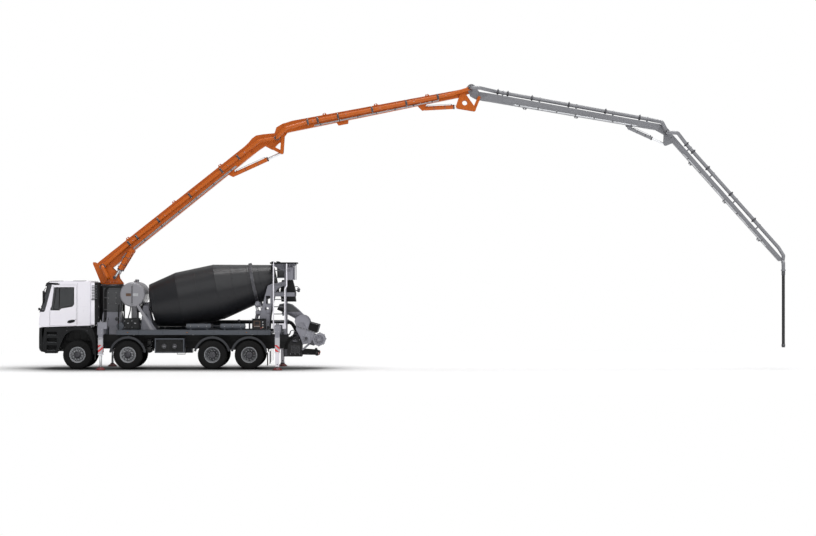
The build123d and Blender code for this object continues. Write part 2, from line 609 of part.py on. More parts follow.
for label, hand in (("door_left", -1), ("door_right", 1)):
    with BuildPart() as door:
        with BuildSketch(Plane.XZ.offset(-hand * (BODY_HALF - CAB_WALL / 2))):
            with BuildLine():
                door_outline()
            make_face()
            with BuildLine():
                window_outline()
            make_face(mode=Mode.SUBTRACT)
        extrude(amount=CAB_WALL / 2, both=True)
        # Handle recess, and the glass in a channel of the window's edge.
        with Locations((DOOR_X1 - 190, hand * BODY_HALF, 1790)):
            Box(150, 24, 70, mode=Mode.SUBTRACT)
        with BuildSketch(Plane.XZ.offset(-hand * (BODY_HALF - CAB_WALL / 2))):
            with BuildLine():
                window_outline(-4)
            make_face()
        extrude(amount=4, both=True)
        # Hinge barrels on the front edge, bored for the cab's pins.
        for z in DOOR_HINGE_Z:
            with Locations((DOOR_HINGE_X, hand * DOOR_HINGE_Y, z)):
                Cylinder(15, 90)
                Cylinder(DOOR_PIN_R + RUN_GAP, 100, mode=Mode.SUBTRACT)
    save(door, label)

# ---------------------------------------------------------------- water tank and drum
TANK_WALL, TANK_EDGE = 8, 60
with BuildPart() as tank_space:
    with BuildSketch(Plane.XZ.offset(-TANK_HALF + TANK_WALL)):
        with Locations((TANK_X, TANK_Z)):
            Circle(TANK_R - TANK_WALL)
    extrude(amount=2 * (TANK_HALF - TANK_WALL))
    fillet(tank_space.edges().filter_by(GeomType.CIRCLE), TANK_EDGE - TANK_WALL)

with BuildPart() as water_tank:
    with BuildSketch(Plane.XZ.offset(-TANK_HALF)):
        with Locations((TANK_X, TANK_Z)):
            Circle(TANK_R)
    extrude(amount=2 * TANK_HALF)
    fillet(water_tank.edges().filter_by(GeomType.CIRCLE), TANK_EDGE)
    add(tank_space.part, mode=Mode.SUBTRACT)
    for hand in (-1, 1):
        with Locations((TANK_X, hand * 385, (SUB_Z1 + FACE_GAP + TANK_Z - 300) / 2)):
            Box(200, 80, TANK_Z - 300 - SUB_Z1 - FACE_GAP)
        with BuildSketch(Plane.XZ.offset(-hand * 1060)):
            with BuildLine():
                Polyline((TANK_X + 150, TANK_Z - 400), (TANK_X + 240, TANK_Z - 360),
                         (TANK_X + 790, DECK_Z1 + FACE_GAP), (TANK_X + 680, DECK_Z1 + FACE_GAP),
                         (TANK_X + 150, TANK_Z - 400))
            make_face()
        extrude(amount=25, both=True)
    # Fill port on top.
    with Locations((TANK_X, 700, TANK_Z + TANK_R + 15)):
        Cylinder(75, 90)
    with Locations((TANK_X, 700, TANK_Z + TANK_R + 30)):
        Cylinder(FILL_R, 60, mode=Mode.SUBTRACT)
save(water_tank, "water_tank")


def drum_plane(along):
    """A plane square to the drum's axis, local x to the right side (+Y) and local y up."""
    a = radians(DRUM_TILT)
    x = DRUM_MID[0] + along * cos(a)
    z = DRUM_MID[1] + along * sin(a)
    return Plane(origin=(x, 0, z), x_dir=(0, 1, 0), z_dir=(cos(a), 0, sin(a)))


DRUM_SIDE = side(DRUM_MID[0], DRUM_MID[1], 0, DRUM_TILT)
DRUM_FRONT = -DRUM_COURSE - DRUM_FRONT_CONE
HUB_R = 90
ROLLER_R = 120
ROLLER_ANGLE = 35

ring_wall_r = DRUM_R + (DRUM_MOUTH_R - DRUM_R) * RING_AT / DRUM_REAR_CONE
cone_slope = (DRUM_MOUTH_R - DRUM_R) / DRUM_REAR_CONE

with BuildPart() as mixer_drum:
    with BuildSketch(DRUM_SIDE):
        with BuildLine():
            Polyline((DRUM_FRONT - 260, 0), (DRUM_FRONT - 260, HUB_R), (DRUM_FRONT - 130, HUB_R),
                     (DRUM_FRONT - 130, 170), (DRUM_FRONT - 100, 170), (DRUM_FRONT - 85, 380),
                     (DRUM_FRONT - 50, 620), (DRUM_FRONT, DRUM_FRONT_R), (-DRUM_COURSE, DRUM_R), (0, DRUM_R),
                     (RING_AT - 50, DRUM_R + cone_slope * (RING_AT - 50)), (RING_AT - 50, DRUM_RING_R),
                     (RING_AT + 50, DRUM_RING_R), (RING_AT + 50, DRUM_R + cone_slope * (RING_AT + 50)),
                     (DRUM_REAR_CONE - 60, DRUM_MOUTH_R - cone_slope * 60), (DRUM_REAR_CONE - 60, DRUM_MOUTH_R + 35),
                     (DRUM_REAR_CONE, DRUM_MOUTH_R + 35), (DRUM_REAR_CONE, DRUM_MOUTH_R - DRUM_WALL),
                     (0, DRUM_R - DRUM_WALL), (-DRUM_COURSE, DRUM_R - DRUM_WALL),
                     (DRUM_FRONT + 6, DRUM_FRONT_R - DRUM_WALL), (DRUM_FRONT - 42, 620), (DRUM_FRONT - 77, 380),
                     (DRUM_FRONT - 90, 150), (DRUM_FRONT - 90, 0), (DRUM_FRONT - 260, 0))
        make_face()
    revolve(axis=Axis(DRUM_SIDE.origin, DRUM_SIDE.x_dir))
save(mixer_drum, "mixer_drum")

with BuildPart() as drum_stands:
    # Front stand: gearbox and bearing for the drum's hub, on a braced pedestal.
    with BuildSketch(drum_plane(DRUM_FRONT - 360)):
        Circle(170)
    extrude(amount=215)
    with BuildSketch(drum_plane(DRUM_FRONT - 265)):
        Circle(HUB_R + RUN_GAP)
    extrude(amount=200, mode=Mode.SUBTRACT)
    hub_x, hub_z = local_to_world(DRUM_SIDE, DRUM_FRONT - 250, 0)
    for hand in (-1, 1):
        with BuildSketch(Plane.XZ.offset(-hand * 385)):
            with BuildLine():
                Polyline((hub_x - 260, SUB_Z1 + FACE_GAP), (hub_x + 330, SUB_Z1 + FACE_GAP),
                         (hub_x + 60, hub_z + 60), (hub_x - 110, hub_z + 60), (hub_x - 260, SUB_Z1 + FACE_GAP))
            make_face()
            with BuildLine():
                Polyline((hub_x - 150, SUB_Z1 + 180), (hub_x + 180, SUB_Z1 + 180), (hub_x + 20, hub_z - 240),
                         (hub_x - 80, hub_z - 240), (hub_x - 150, SUB_Z1 + 180))
            make_face(mode=Mode.SUBTRACT)
        extrude(amount=22, both=True)
    with Locations((hub_x - 25, 0, hub_z - 190)):
        Box(120, 790, 120)
    # Rear stand: a trestle with two rollers under the ring.
    roller_reach = DRUM_RING_R + FACE_GAP + ROLLER_R
    roller_y = roller_reach * sin(radians(ROLLER_ANGLE))
    roller_down = roller_reach * cos(radians(ROLLER_ANGLE))
    with BuildSketch(drum_plane(RING_AT - 60)):
        with Locations((-roller_y, -roller_down), (roller_y, -roller_down)):
            Circle(ROLLER_R)
    extrude(amount=120)
    with BuildSketch(drum_plane(RING_AT - 110)):
        with Locations((-roller_y, -roller_down), (roller_y, -roller_down)):
            Circle(34)
    extrude(amount=220)
    with BuildSketch(drum_plane(RING_AT - 105)) as cheeks:
        for hand in (-1, 1):
            with BuildLine():
                Polyline((hand * (roller_y - 70), -roller_down + 60), (hand * (roller_y + 70), -roller_down + 60),
                         (hand * (roller_y + 90), -roller_down - 260), (hand * (roller_y - 130), -roller_down - 260),
                         (hand * (roller_y - 70), -roller_down + 60))
            make_face()
    extrude(amount=30)
    extrude(cheeks.sketch.moved(Location(Vector(cos(radians(DRUM_TILT)), 0, sin(radians(DRUM_TILT))) * 180)), amount=30)
    rear_x, rear_z = local_to_world(DRUM_SIDE, RING_AT, -roller_down - 250)
    with Locations((rear_x, 0, rear_z - 60)):
        Box(260, 2 * roller_y + 260, 110)
    for hand in (-1, 1):
        with BuildSketch(Plane.XZ.offset(-hand * 385)):
            with BuildLine():
                Polyline((rear_x - 120, rear_z - 60), (rear_x - 300, SUB_Z1 + FACE_GAP),
                         (rear_x + 260, SUB_Z1 + FACE_GAP), (rear_x + 120, rear_z - 60),
                         (rear_x - 120, rear_z - 60))
            make_face()
            with BuildLine():
                Polyline((rear_x - 60, rear_z - 190), (rear_x - 170, SUB_Z1 + 120), (rear_x + 140, SUB_Z1 + 120),
                         (rear_x + 60, rear_z - 190), (rear_x - 60, rear_z - 190))
            make_face(mode=Mode.SUBTRACT)
        extrude(amount=22, both=True)
save(drum_stands, "drum_stands")

# ---------------------------------------------------------------- rear platform, hopper and pump
POST_X = -4790
CHUTE_X, CHUTE_PIN_R = -4860, 45


def funnel(top, bottom, wall):
    """Add a funnel open at both ends; top and bottom are (x0, x1, half width, z)."""
    for inset, mode in ((0, Mode.ADD), (wall, Mode.SUBTRACT)):
        faces = []
        for x0, x1, half, z in (top, bottom):
            with BuildSketch(Plane.XY.offset(z)) as level:
                with Locations(((x0 + x1) / 2, 0)):
                    Rectangle(x1 - x0 - 2 * inset, 2 * half - 2 * inset)
            faces.append(level.sketch.face())
        loft(faces, mode=mode)


with BuildPart() as rear_platform:
    # Two posts on the subframe, a deck on top and the charging funnel over the drum's mouth.
    for hand in (-1, 1):
        with Locations((POST_X, hand * 385, (SUB_Z1 + FACE_GAP + 3900) / 2)):
            Box(90, 80, 3900 - SUB_Z1 - FACE_GAP)
        with Locations((POST_X, hand * 600, 3895)):
            Box(90, 500, 70)
    with Locations((-4855, 0, 3940)):
        Box(970, 1700, 30)
    funnel((-5130, -4480, 335, 3950), (-5110, -4820, 200, 3360), 8)
    with Locations((-4805, 0, 3940)):
        Box(620, 640, 60, mode=Mode.SUBTRACT)
    funnel((-5140, -4450, 335, 4080), (-5130, -4480, 335, 3870), 8)
    # Collector under the mouth.
    funnel((-5000, -4700, 335, 3000), (-4960, -4760, 170, 2520), 8)
    for hand in (-1, 1):
        with Locations((POST_X, hand * 338, 2960)):
            Box(60, 24, 60)
        with Locations((POST_X, hand * 302, 3640)):
            Box(60, 100, 60)
    # Bearing for the discharge chute.
    with Locations((POST_X, 0, 2070)):
        Box(70, 700, 60)
    with Locations((CHUTE_X, 0, 2110)):
        Cylinder(75, 140)
        Cylinder(CHUTE_PIN_R + RUN_GAP, 140, mode=Mode.SUBTRACT)
    # Ladder on the left side, stayed to the posts.
    for x in (-5230, POST_X + 10):
        with Locations((x, -900, (1660 + 3900) / 2)):
            Box(45, 45, 3900 - 1660)
    for z in range(1700, 3850, 270):
        with BuildSketch(Plane.YZ.offset(-5230)):
            with Locations((-900, z)):
                Circle(14)
        extrude(amount=450)
    for z in (1760, 2800):
        with Locations((POST_X + 10, -640, z)):
            Box(40, 500, 40)
save(rear_platform, "rear_platform")

HOPPER = [(-3990, 1690), (-3990, 880), (-3460, 880), (-3290, 1420), (-3270, 2000)]
HOPPER_HALF = 650
HOPPER_WALL = 10

with BuildPart() as pump_hopper:
    with BuildSketch(Plane.XZ.offset(-HOPPER_HALF)):
        with BuildLine():
            Polyline(*HOPPER, close=True)
        make_face()
    extrude(amount=2 * HOPPER_HALF)
    with BuildSketch(Plane.XZ.offset(-HOPPER_HALF + HOPPER_WALL)):
        with BuildLine():
            Polyline((-3990 + HOPPER_WALL, 1900), (-3990 + HOPPER_WALL, 890), (-3467, 890), (-3300, 1422),
                     (-3280, 2100), close=True)
        make_face()
    extrude(amount=2 * (HOPPER_HALF - HOPPER_WALL), mode=Mode.SUBTRACT)
    # Agitator bearings on both sides.
    for hand in (-1, 1):
        with BuildSketch(Plane.XZ.offset(-hand * HOPPER_HALF)):
            with Locations((-3640, 1165)):
                Circle(265)
                Circle(90, mode=Mode.SUBTRACT)
        extrude(amount=-hand * 40)
        with BuildSketch(Plane.XZ.offset(-hand * (HOPPER_HALF + 40))):
            with Locations((-3640, 1165)):
                Circle(120)
        extrude(amount=-hand * 90)
    with BuildSketch(Plane.XZ.offset(-HOPPER_HALF)):
        with Locations((-3640, 1165)):
            Circle(30)
    extrude(amount=2 * HOPPER_HALF)
save(pump_hopper, "pump_hopper")

LINE_Y, LINE_Z = 760, 1725


def run_of(points, bend):
    """Straight runs between the points, with an arc of radius bend at each corner."""
    spots = [Vector(point) for point in points]
    last = spots[0]
    for before, corner, after in zip(spots, spots[1:], spots[2:]):
        into = (before - corner).normalized()
        out = (after - corner).normalized()
        half = radians(into.get_angle(out)) / 2
        start = corner + into * (bend / tan(half))
        end = corner + out * (bend / tan(half))
        middle = corner + (into + out).normalized() * (bend / sin(half) - bend)
        Line(last, start)
        ThreePointArc(start, middle, end)
        last = end
    Line(last, spots[-1])


def pipe(points, bend=140, radius=PIPE_R, wall=PIPE_WALL):
    """Add a hollow pipe with round bends along the points."""
    with BuildLine() as path:
        run_of(points, bend)
    with BuildSketch(Plane(origin=path.line @ 0, z_dir=path.line % 0)) as ring:
        Circle(radius)
        Circle(radius - wall, mode=Mode.SUBTRACT)
    sweep(sections=ring.sketch, path=path.line)


with BuildPart() as concrete_pump:
    # Pump body behind the chassis rails, its two cylinders forward under the frame, and the hopper's throat.
    with BuildSketch(Plane.XZ.offset(-400)):
        with BuildLine():
            Polyline((-4860, 440), (-4160, 440), (-4160, 1180), (RAIL_X1 + FACE_GAP, 1180),
                     (RAIL_X1 + FACE_GAP, RAIL_Z0 - FACE_GAP), (-4860, RAIL_Z0 - FACE_GAP), (-4860, 440))
        make_face()
    extrude(amount=800)
    with Locations((-4430, 0, 810)):
        Box(480, 760, 690, mode=Mode.SUBTRACT)
    with Locations(((-4170 - 3990 - FACE_GAP) / 2, 0, 1010)):
        Box(4170 - 3990 - FACE_GAP, 420, 200)
    with BuildSketch(Plane.YZ.offset(-4170)):
        with Locations((-160, 1010), (160, 1010)):
            Circle(120)
    extrude(amount=4170 - 3990 - FACE_GAP)
    with Locations((-4500, -200, 330), (-4500, 200, 330)):
        Box(560, 200, 230)
    # Delivery line along the right side to the pedestal.
    pipe([(-3700, HOPPER_HALF + 131, 1165), (-3700, LINE_Y + 240, 1165), (-4300, LINE_Y + 240, 1165),
          (-4620, LINE_Y, LINE_Z), (SLEW_X, LINE_Y, LINE_Z), (SLEW_X, 426, LINE_Z)], 150)
    with Locations((REAR_LEG_X, LINE_Y, 1645)):
        Box(60, 120, 1660 - 1630 - FACE_GAP)
save(concrete_pump, "concrete_pump")

with BuildPart() as discharge_chute:
    # An open trough that slopes down from the collector to the pump hopper.
    with BuildSketch(Plane.XZ.offset(-200)):
        with BuildLine():
            Polyline((-5010, 2380), (-4900, 2250), (-3800, 1715), (-3790, 1740), (-3860, 1950), (-4830, 2500),
                     (-5010, 2500), (-5010, 2380))
        make_face()
    extrude(amount=400)
    with BuildSketch(Plane.XZ.offset(-190)):
        with BuildLine():
            Polyline((-5000, 2385), (-4895, 2262), (-3700, 1680), (-3700, 2100), (-4500, 2600), (-5000, 2600),
                     (-5000, 2385))
        make_face()
    extrude(amount=380, mode=Mode.SUBTRACT)
    with Locations((CHUTE_X, 0, (2040 + 2246) / 2)):
        Cylinder(CHUTE_PIN_R, 2246 - 2040)
save(discharge_chute, "discharge_chute")

# ---------------------------------------------------------------- pedestal and turret
LIFT_HINGE = (1200, -150)  # barrel hinge on the first section, in its plane
LIFT_EYE = (BOOM_FOOT[0] + 450, BOOM_FOOT[1] - 400)  # rod pin on the turret
LIFT_Y = 370
TURRET_Y0, TURRET_Y1 = 205, 235

with BuildPart() as pedestal:
    # Side plates over the front outrigger housing, the slewing column and the lower half of the slew ring.
    housing_z1 = FRONT_BEAM_Z + BEAM_H / 2 + BEAM_GAP + 12
    housing_x1 = FRONT_LEG_X + BEAM_W / 2 + BEAM_GAP + 12
    for hand in (-1, 1):
        with BuildSketch(Plane.XZ.offset(-hand * 385)):
            with BuildLine():
                Polyline((-11640, housing_z1 + FACE_GAP), (housing_x1 + 20, housing_z1 + FACE_GAP),
                         (housing_x1 + 20, SUB_Z1 + FACE_GAP), (-10860, SUB_Z1 + FACE_GAP), (-10900, 1700),
                         (-10960, 2120), (-11600, 2120), (-11640, 1760), (-11640, housing_z1 + FACE_GAP))
            make_face()
        extrude(amount=20, both=True)
        for x in (-11600, -11440, -10960):
            with BuildSketch(Plane.YZ.offset(x - 15)):
                with BuildLine():
                    Polyline((hand * 400, 1600), (hand * 700, 1600), (hand * 700, 1640), (hand * 410, 2060),
                             (hand * 400, 2060), (hand * 400, 1600))
                make_face()
            extrude(amount=30)
    for x in (-11590, -10980):
        with Locations((x, 0, 1860)):
            Box(30, 770, 500)
    with Locations((-11260, 0, 2600)):
        Box(680, 800, 970)
        Box(650, 770, 940, mode=Mode.SUBTRACT)
    with Locations((SLEW_X, 0, RING_Z0 + 10)):
        Cylinder(RING_R, 40)
        Cylinder(300, 40, mode=Mode.SUBTRACT)
    with Locations((SLEW_X, 0, RING_Z0 + 15)):
        Cylinder(315, 70)
        Cylinder(285, 90, mode=Mode.SUBTRACT)
save(pedestal, "pedestal")

with BuildPart() as turret:
    # Upper ring with its bore over the column's spigot, floor, side plates and pins.
    base_z = RING_Z0 + 30 + FACE_GAP
    with Locations((SLEW_X, 0, (base_z + RING_Z1) / 2)):
        Cylinder(RING_R, RING_Z1 - base_z)
        Cylinder(315 + RUN_GAP, RING_Z1 - base_z, mode=Mode.SUBTRACT)
    with Locations((SLEW_X, 0, RING_Z1 + 10)):
        Cylinder(RING_R + 20, 24)
    outline = [(-11700, RING_Z1 + 10), (-12010, 3925), (-11990, 3985), (-11745, 3890), (-11660, 3985),
               (-11480, 3985), (-11280, 3760), (-11060, 3560), (-11030, 3380), (-10880, RING_Z1 + 10)]
    for hand in (-1, 1):
        with BuildSketch(side(0, 0, hand * (TURRET_Y0 + TURRET_Y1) / 2)):
            with BuildLine():
                Polyline(*outline, close=True)
            make_face()
            with Locations(BOOM_FOOT):
                Circle(PIN_R + RUN_GAP, mode=Mode.SUBTRACT)
        extrude(amount=(TURRET_Y1 - TURRET_Y0) / 2, both=True)
        # Stub pin for the rod eye of a lift cylinder.
        with BuildSketch(side(0, 0, hand * (TURRET_Y1 + LIFT_Y - 60) / 2)):
            with Locations(LIFT_EYE):
                Circle(50)
        extrude(amount=(LIFT_Y - 60 - TURRET_Y1) / 2, both=True)
    with Locations((-11700, 0, 3350)):
        Box(30, 2 * TURRET_Y0 + 20, 340)
    with Locations((-11030, 0, 3270)):
        Box(30, 2 * TURRET_Y0 + 20, 180)
    # Riser of the delivery line, out to the lift pivot's axis.
    pipe([(SLEW_X - 140, 0, RING_Z1 + 15), (SLEW_X - 140, 0, 3390), (SLEW_X - 140, -530, 3390),
          (BOOM_FOOT[0], -530, BOOM_FOOT[1]), (BOOM_FOOT[0], SWIVEL_Y[0] - FACE_GAP, BOOM_FOOT[1])], 80)
save(turret, "turret")

# ---------------------------------------------------------------- boom
# Linkage pins, in the plane of the section that carries them, from that section's root pivot.
FOLD_2_HINGE = (SECTION_LENGTHS[0] - 2160, -115)
LEVER_2_PIN = (SECTION_LENGTHS[0] - 350, -200)
FOLD_2_EYE = (SECTION_LENGTHS[0] - 194, -532)
LINK_2_PIN = (230, 69)
FOLD_3_HINGE = (SECTION_LENGTHS[1] - 1947, -280)
LEVER_3_PIN = (SECTION_LENGTHS[1] - 368.5, -80)
FOLD_3_EYE = (SECTION_LENGTHS[1] - 667.3, -536)
LINK_3_PIN = (SECTION_LENGTHS[1] - 94, -788)
LINK_3_END = (SECTION_LENGTHS[1] + 192.4, -408.7)
FOLD_4_HINGE = (SECTION_LENGTHS[2] - 1423, -140)
FOLD_4_EYE = (272, -343)
EYE_HALF = 45
EYE_GAP = 5
LINK_PIN_R = 40
PLATE_T = 25


def arc_points(centre, radius, first, last, count=8):
    """Points of an arc from angle first to angle last in degrees."""
    steps = [first + (last - first) * k / count for k in range(count + 1)]
    return [(centre[0] + radius * cos(radians(a)), centre[1] + radius * sin(radians(a))) for a in steps]


def outline_face(plane, points, inset=0.0):
    """The face inside a closed outline on a plane, drawn inwards by inset."""
    with BuildSketch(plane) as shape:
        with BuildLine():
            Polyline(*points, close=True)
        make_face()
        if inset:
            offset(amount=-inset, kind=Kind.INTERSECTION, mode=Mode.REPLACE)
    return shape.sketch.face()


def girder(plane, points, half, wall=10):
    """Add a closed box girder with the given side outline."""
    extrude(outline_face(plane, points), amount=half, both=True)
    extrude(outline_face(plane, points, wall), amount=half - wall, both=True, mode=Mode.SUBTRACT)


def disc(plane, centre, radius, y0, y1, mode=Mode.ADD):
    """Add or cut round discs along the y axis between y0 and y1 on both sides of the plane."""
    for hand in (-1, 1):
        with BuildSketch(plane.offset(hand * (y0 + y1) / 2)) as shape:
            with Locations(centre):
                Circle(radius)
        extrude(shape.sketch.face(), amount=(y1 - y0) / 2, both=True, mode=mode)


def plate(plane, points, y0, y1):
    """Add a pair of flat plates between y0 and y1 on both sides of the plane."""
    for hand in (-1, 1):
        extrude(outline_face(plane.offset(hand * (y0 + y1) / 2), points), amount=(y1 - y0) / 2, both=True)


def at(index, x, z, y):
    """World point of a place in the plane of a boom section."""
    point = section_plane(index).from_local_coords(Vector(x, z, 0))
    return point.X, y, point.Z


def clamps(index, places, y0, y1, size=70):
    """Add pipe clamps between y0 and y1 at places (x, z) of a boom section."""
    for x, z in places:
        with BuildSketch(side(*local_to_world(section_plane(index), x, z), (y0 + y1) / 2, SECTION_ANGLES[index])) as pad:
            Rectangle(size, 120)
        extrude(pad.sketch.face(), amount=abs(y1 - y0) / 2, both=True)


with BuildPart() as boom_1:
    plane = section_plane(0)
    length = SECTION_LENGTHS[0]
    girder(plane, [(7000, 480), *arc_points((0, 0), 250, 88, 270, 10), (7000, 40)], 190)
    girder(plane, [(6850, 36), (6850, 474), (7150, 515), (7330, 560), (7520, 560), (7760, 440),
                   *arc_points((length, 0), 195, 62, -110, 10), (length - 270, -215), (length - 300, -262),
                   (length - 400, -262), (length - 440, -200), (7560, 30), (7300, 44)], 90, 14)
    disc(plane, (0, 0), 95, 0, 190)
    disc(plane, (0, 0), PIN_R, 0, 250)
    disc(plane, (length, 0), 100, 0, 90)
    disc(plane, (length, 0), PIN_R, 0, 168)
    disc(plane, LEVER_2_PIN, 60, 0, 90)
    disc(plane, LEVER_2_PIN, LINK_PIN_R, 0, 122)
    # Trunnions of the two lift cylinders.
    disc(plane, LIFT_HINGE, 110, 180, 272)
    disc(plane, LIFT_HINGE, 50, 0, LIFT_Y + EYE_HALF)
    # Lug of the second section's fold cylinder.
    hinge_x, hinge_z = FOLD_2_HINGE
    plate(plane, [(hinge_x - 150, 10), (hinge_x + 150, 10), *arc_points(FOLD_2_HINGE, 75, -20, -160, 6)], 84, 106)
    disc(plane, FOLD_2_HINGE, LINK_PIN_R, 0, 106)
    # Delivery pipe along the left side, with a swivel elbow at each fold axis.
    pipe([at(0, 0, 0, SWIVEL_Y[0]), at(0, 0, 0, -330), at(0, 600, 60, -330), at(0, 1300, 120, PIPE_Y),
          at(0, 6900, 300, PIPE_Y), at(0, 7500, 300, PIPE_Y), at(0, length, 0, PIPE_Y),
          at(0, length, 0, SWIVEL_Y[1])], 80)
    clamps(0, [(x, 120 + 180 * (x - 1300) / 5600) for x in (1500, 3000, 4500, 6000, 6800)], -188, -211)
save(boom_1, "boom_1")

with BuildPart() as boom_2:
    plane = section_plane(1)
    length = SECTION_LENGTHS[1]
    girder(plane, [(320, 110), (340, 470), (700, 490), (6950, 60), (6950, -220)], 165)
    plate(plane, [*arc_points((0, 0), 185, -60, -240, 10), (60, 400), (330, 480), (800, 460), (800, 120),
                  (400, 100)], 95, 95 + PLATE_T)
    disc(plane, (0, 0), 110, 100, 165)
    disc(plane, (0, 0), PIN_R + RUN_GAP, 60, 180, mode=Mode.SUBTRACT)
    disc(plane, LINK_2_PIN, 62, 100, 164)
    disc(plane, LINK_2_PIN, LINK_PIN_R, 110, 197)
    girder(plane, [(6800, 66), (7300, 60), (7390, 120), *arc_points((length, 0), 165, 100, -100, 10), (7200, -190),
                   (7060, -225), (6800, -212)], 70, 14)
    disc(plane, (length, 0), 95, 0, 70)
    disc(plane, (length, 0), 50, 0, 132)
    disc(plane, LEVER_3_PIN, 75, 0, 170)
    disc(plane, LEVER_3_PIN, LINK_PIN_R, 0, 202)
    hinge_x, hinge_z = FOLD_3_HINGE
    plate(plane, [(hinge_x - 170, -140), (hinge_x + 170, -160), *arc_points(FOLD_3_HINGE, 75, -20, -160, 6)], 84, 106)
    disc(plane, FOLD_3_HINGE, LINK_PIN_R, 0, 106)
    # Underside bracket.
    plate(plane, [(2280, 20), (2740, -10), (2700, -130), (2330, -110)], 60, 80)
    pipe([at(1, 0, 0, SWIVEL_Y[1] - FACE_GAP), at(1, 0, 0, -500), at(1, 420, 260, -500), at(1, 1250, 290, PIPE_2_Y),
          at(1, 6700, -40, PIPE_2_Y), at(1, length, 0, PIPE_2_Y), at(1, length, 0, SWIVEL_Y[2])], 80)
    clamps(1, [(x, 290 - 330 * (x - 1250) / 5450) for x in (1450, 2700, 4000, 5300, 6500)], -163, -223)
save(boom_2, "boom_2")

with BuildPart() as boom_3:
    plane = section_plane(2)
    length = SECTION_LENGTHS[2]
    girder(plane, [(300, -370), (330, -60), (900, -20), (7150, 256), (7250, 180), (7150, 8)], 130)
    plate(plane, [*arc_points((0, 0), 165, 60, 240, 8), (40, -300), (300, -372), (700, -350), (700, -40),
                  (320, -60)], 75, 75 + PLATE_T)
    disc(plane, (0, 0), 100, 80, 130)
    disc(plane, (0, 0), 50 + RUN_GAP, 60, 140, mode=Mode.SUBTRACT)
    disc(plane, (357.9, -275.6), 62, 100, 135)
    girder(plane, [(7040, 12), (7040, 248), (7200, 262), (7420, 240), *arc_points((length, 0), 130, 50, -110, 9),
                   (7300, -60)], 55, 12)
    disc(plane, (length, 0), 85, 0, 55)
    disc(plane, (length, 0), 45, 0, 102)
    hinge_x, hinge_z = FOLD_4_HINGE
    plate(plane, [(hinge_x - 130, -30), (hinge_x + 130, -30), *arc_points(FOLD_4_HINGE, 62, -20, -160, 6)], 68, 86)
    disc(plane, FOLD_4_HINGE, 35, 0, 86)
    # The pipe crosses over the top of this section.
    pipe([at(2, 0, 0, SWIVEL_Y[2] - FACE_GAP), at(2, 0, 0, -480), at(2, 300, 60, -480), at(2, 900, 90, 0), at(2, 6800, 350, 0),
          at(2, 7250, 340, -200), at(2, length, 0, -200), at(2, length, 0, SWIVEL_Y[3])], 80)
    for x in (1200, 2600, 4000, 5400, 6700):
        top = -20 + 276 * (x - 900) / 6250
        z = 90 + 260 * (x - 900) / 5900
        with BuildSketch(side(*local_to_world(plane, x, (top - 4 + z - 64) / 2), 0, SECTION_ANGLES[2])) as pad:
            Rectangle(60, z - 64 - top + 4)
        extrude(pad.sketch.face(), amount=60, both=True)
save(boom_3, "boom_3")

with BuildPart() as boom_4:
    plane = section_plane(3)
    length = SECTION_LENGTHS[3]
    girder(plane, [(240, -110), (240, 110), (length - 130, 85), (length - 60, 30), (length - 130, -85)], 100, 8)
    plate(plane, [*arc_points((0, 0), 120, 60, 215, 8), (215, -375), (290, -390), (340, -340), (420, -110),
                  (600, -100), (600, 100), (240, 105)], 60, 85)
    disc(plane, (0, 0), 80, 65, 100)
    disc(plane, (0, 0), 45 + RUN_GAP, 50, 110, mode=Mode.SUBTRACT)
    disc(plane, FOLD_4_EYE, 35, EYE_HALF + EYE_GAP, 70)
    pipe([at(3, 0, 0, SWIVEL_Y[3] - FACE_GAP), at(3, 0, 0, -400), at(3, 260, 260, -400), at(3, 800, 262, 0),
          at(3, length - 500, 262, 0), at(3, length - 160, 190, -110), at(3, length, 0, -110),
          at(3, length, 0, SWIVEL_Y[4])], 80)
    for x in (1000, 2300, 3600, 4900):
        top = 110 - 25 * (x - 240) / 6130
        with BuildSketch(side(*local_to_world(plane, x, (top - 4 + 198) / 2), 0, SECTION_ANGLES[3])) as pad:
            Rectangle(50, 198 - top + 4)
        extrude(pad.sketch.face(), amount=50, both=True)
save(boom_4, "boom_4")

# ---------------------------------------------------------------- cylinders
def ram_plane(plane, hinge, eye):
    """A side plane from the barrel's hinge, local x towards the rod's eye, and the distance between them."""
    x0, z0 = local_to_world(plane, *hinge)
    x1, z1 = local_to_world(plane, *eye)
    return side(x0, z0, 0, degrees(atan2(z1 - z0, x1 - x0))), ((x1 - x0) ** 2 + (z1 - z0) ** 2) ** 0.5


def revolved(plane, points):
    """Add the body turned about a plane's local x axis from a half section."""
    revolve(outline_face(plane, points), axis=Axis(plane.origin, plane.x_dir))


def barrel(plane, length, radius, rod_r, pin_r, y=0.0):
    """Add a cylinder barrel with its hinge eye at the plane's origin and an open bore for the rod."""
    plane = plane.offset(-y)
    inner = radius - 12
    revolved(plane, [(55, 0), (55, radius), (length, radius), (length, rod_r + RUN_GAP),
                     (length - 36, rod_r + RUN_GAP), (length - 36, inner), (70, inner), (70, 0)])
    for size, mode in ((pin_r + 25, Mode.ADD), (pin_r + RUN_GAP, Mode.SUBTRACT)):
        with BuildSketch(plane) as ring:
            Circle(size)
            if mode == Mode.ADD:
                with Locations((40, 0)):
                    Rectangle(60, 2 * size - 10)
        extrude(ring.sketch.face(), amount=EYE_HALF, both=True, mode=mode)


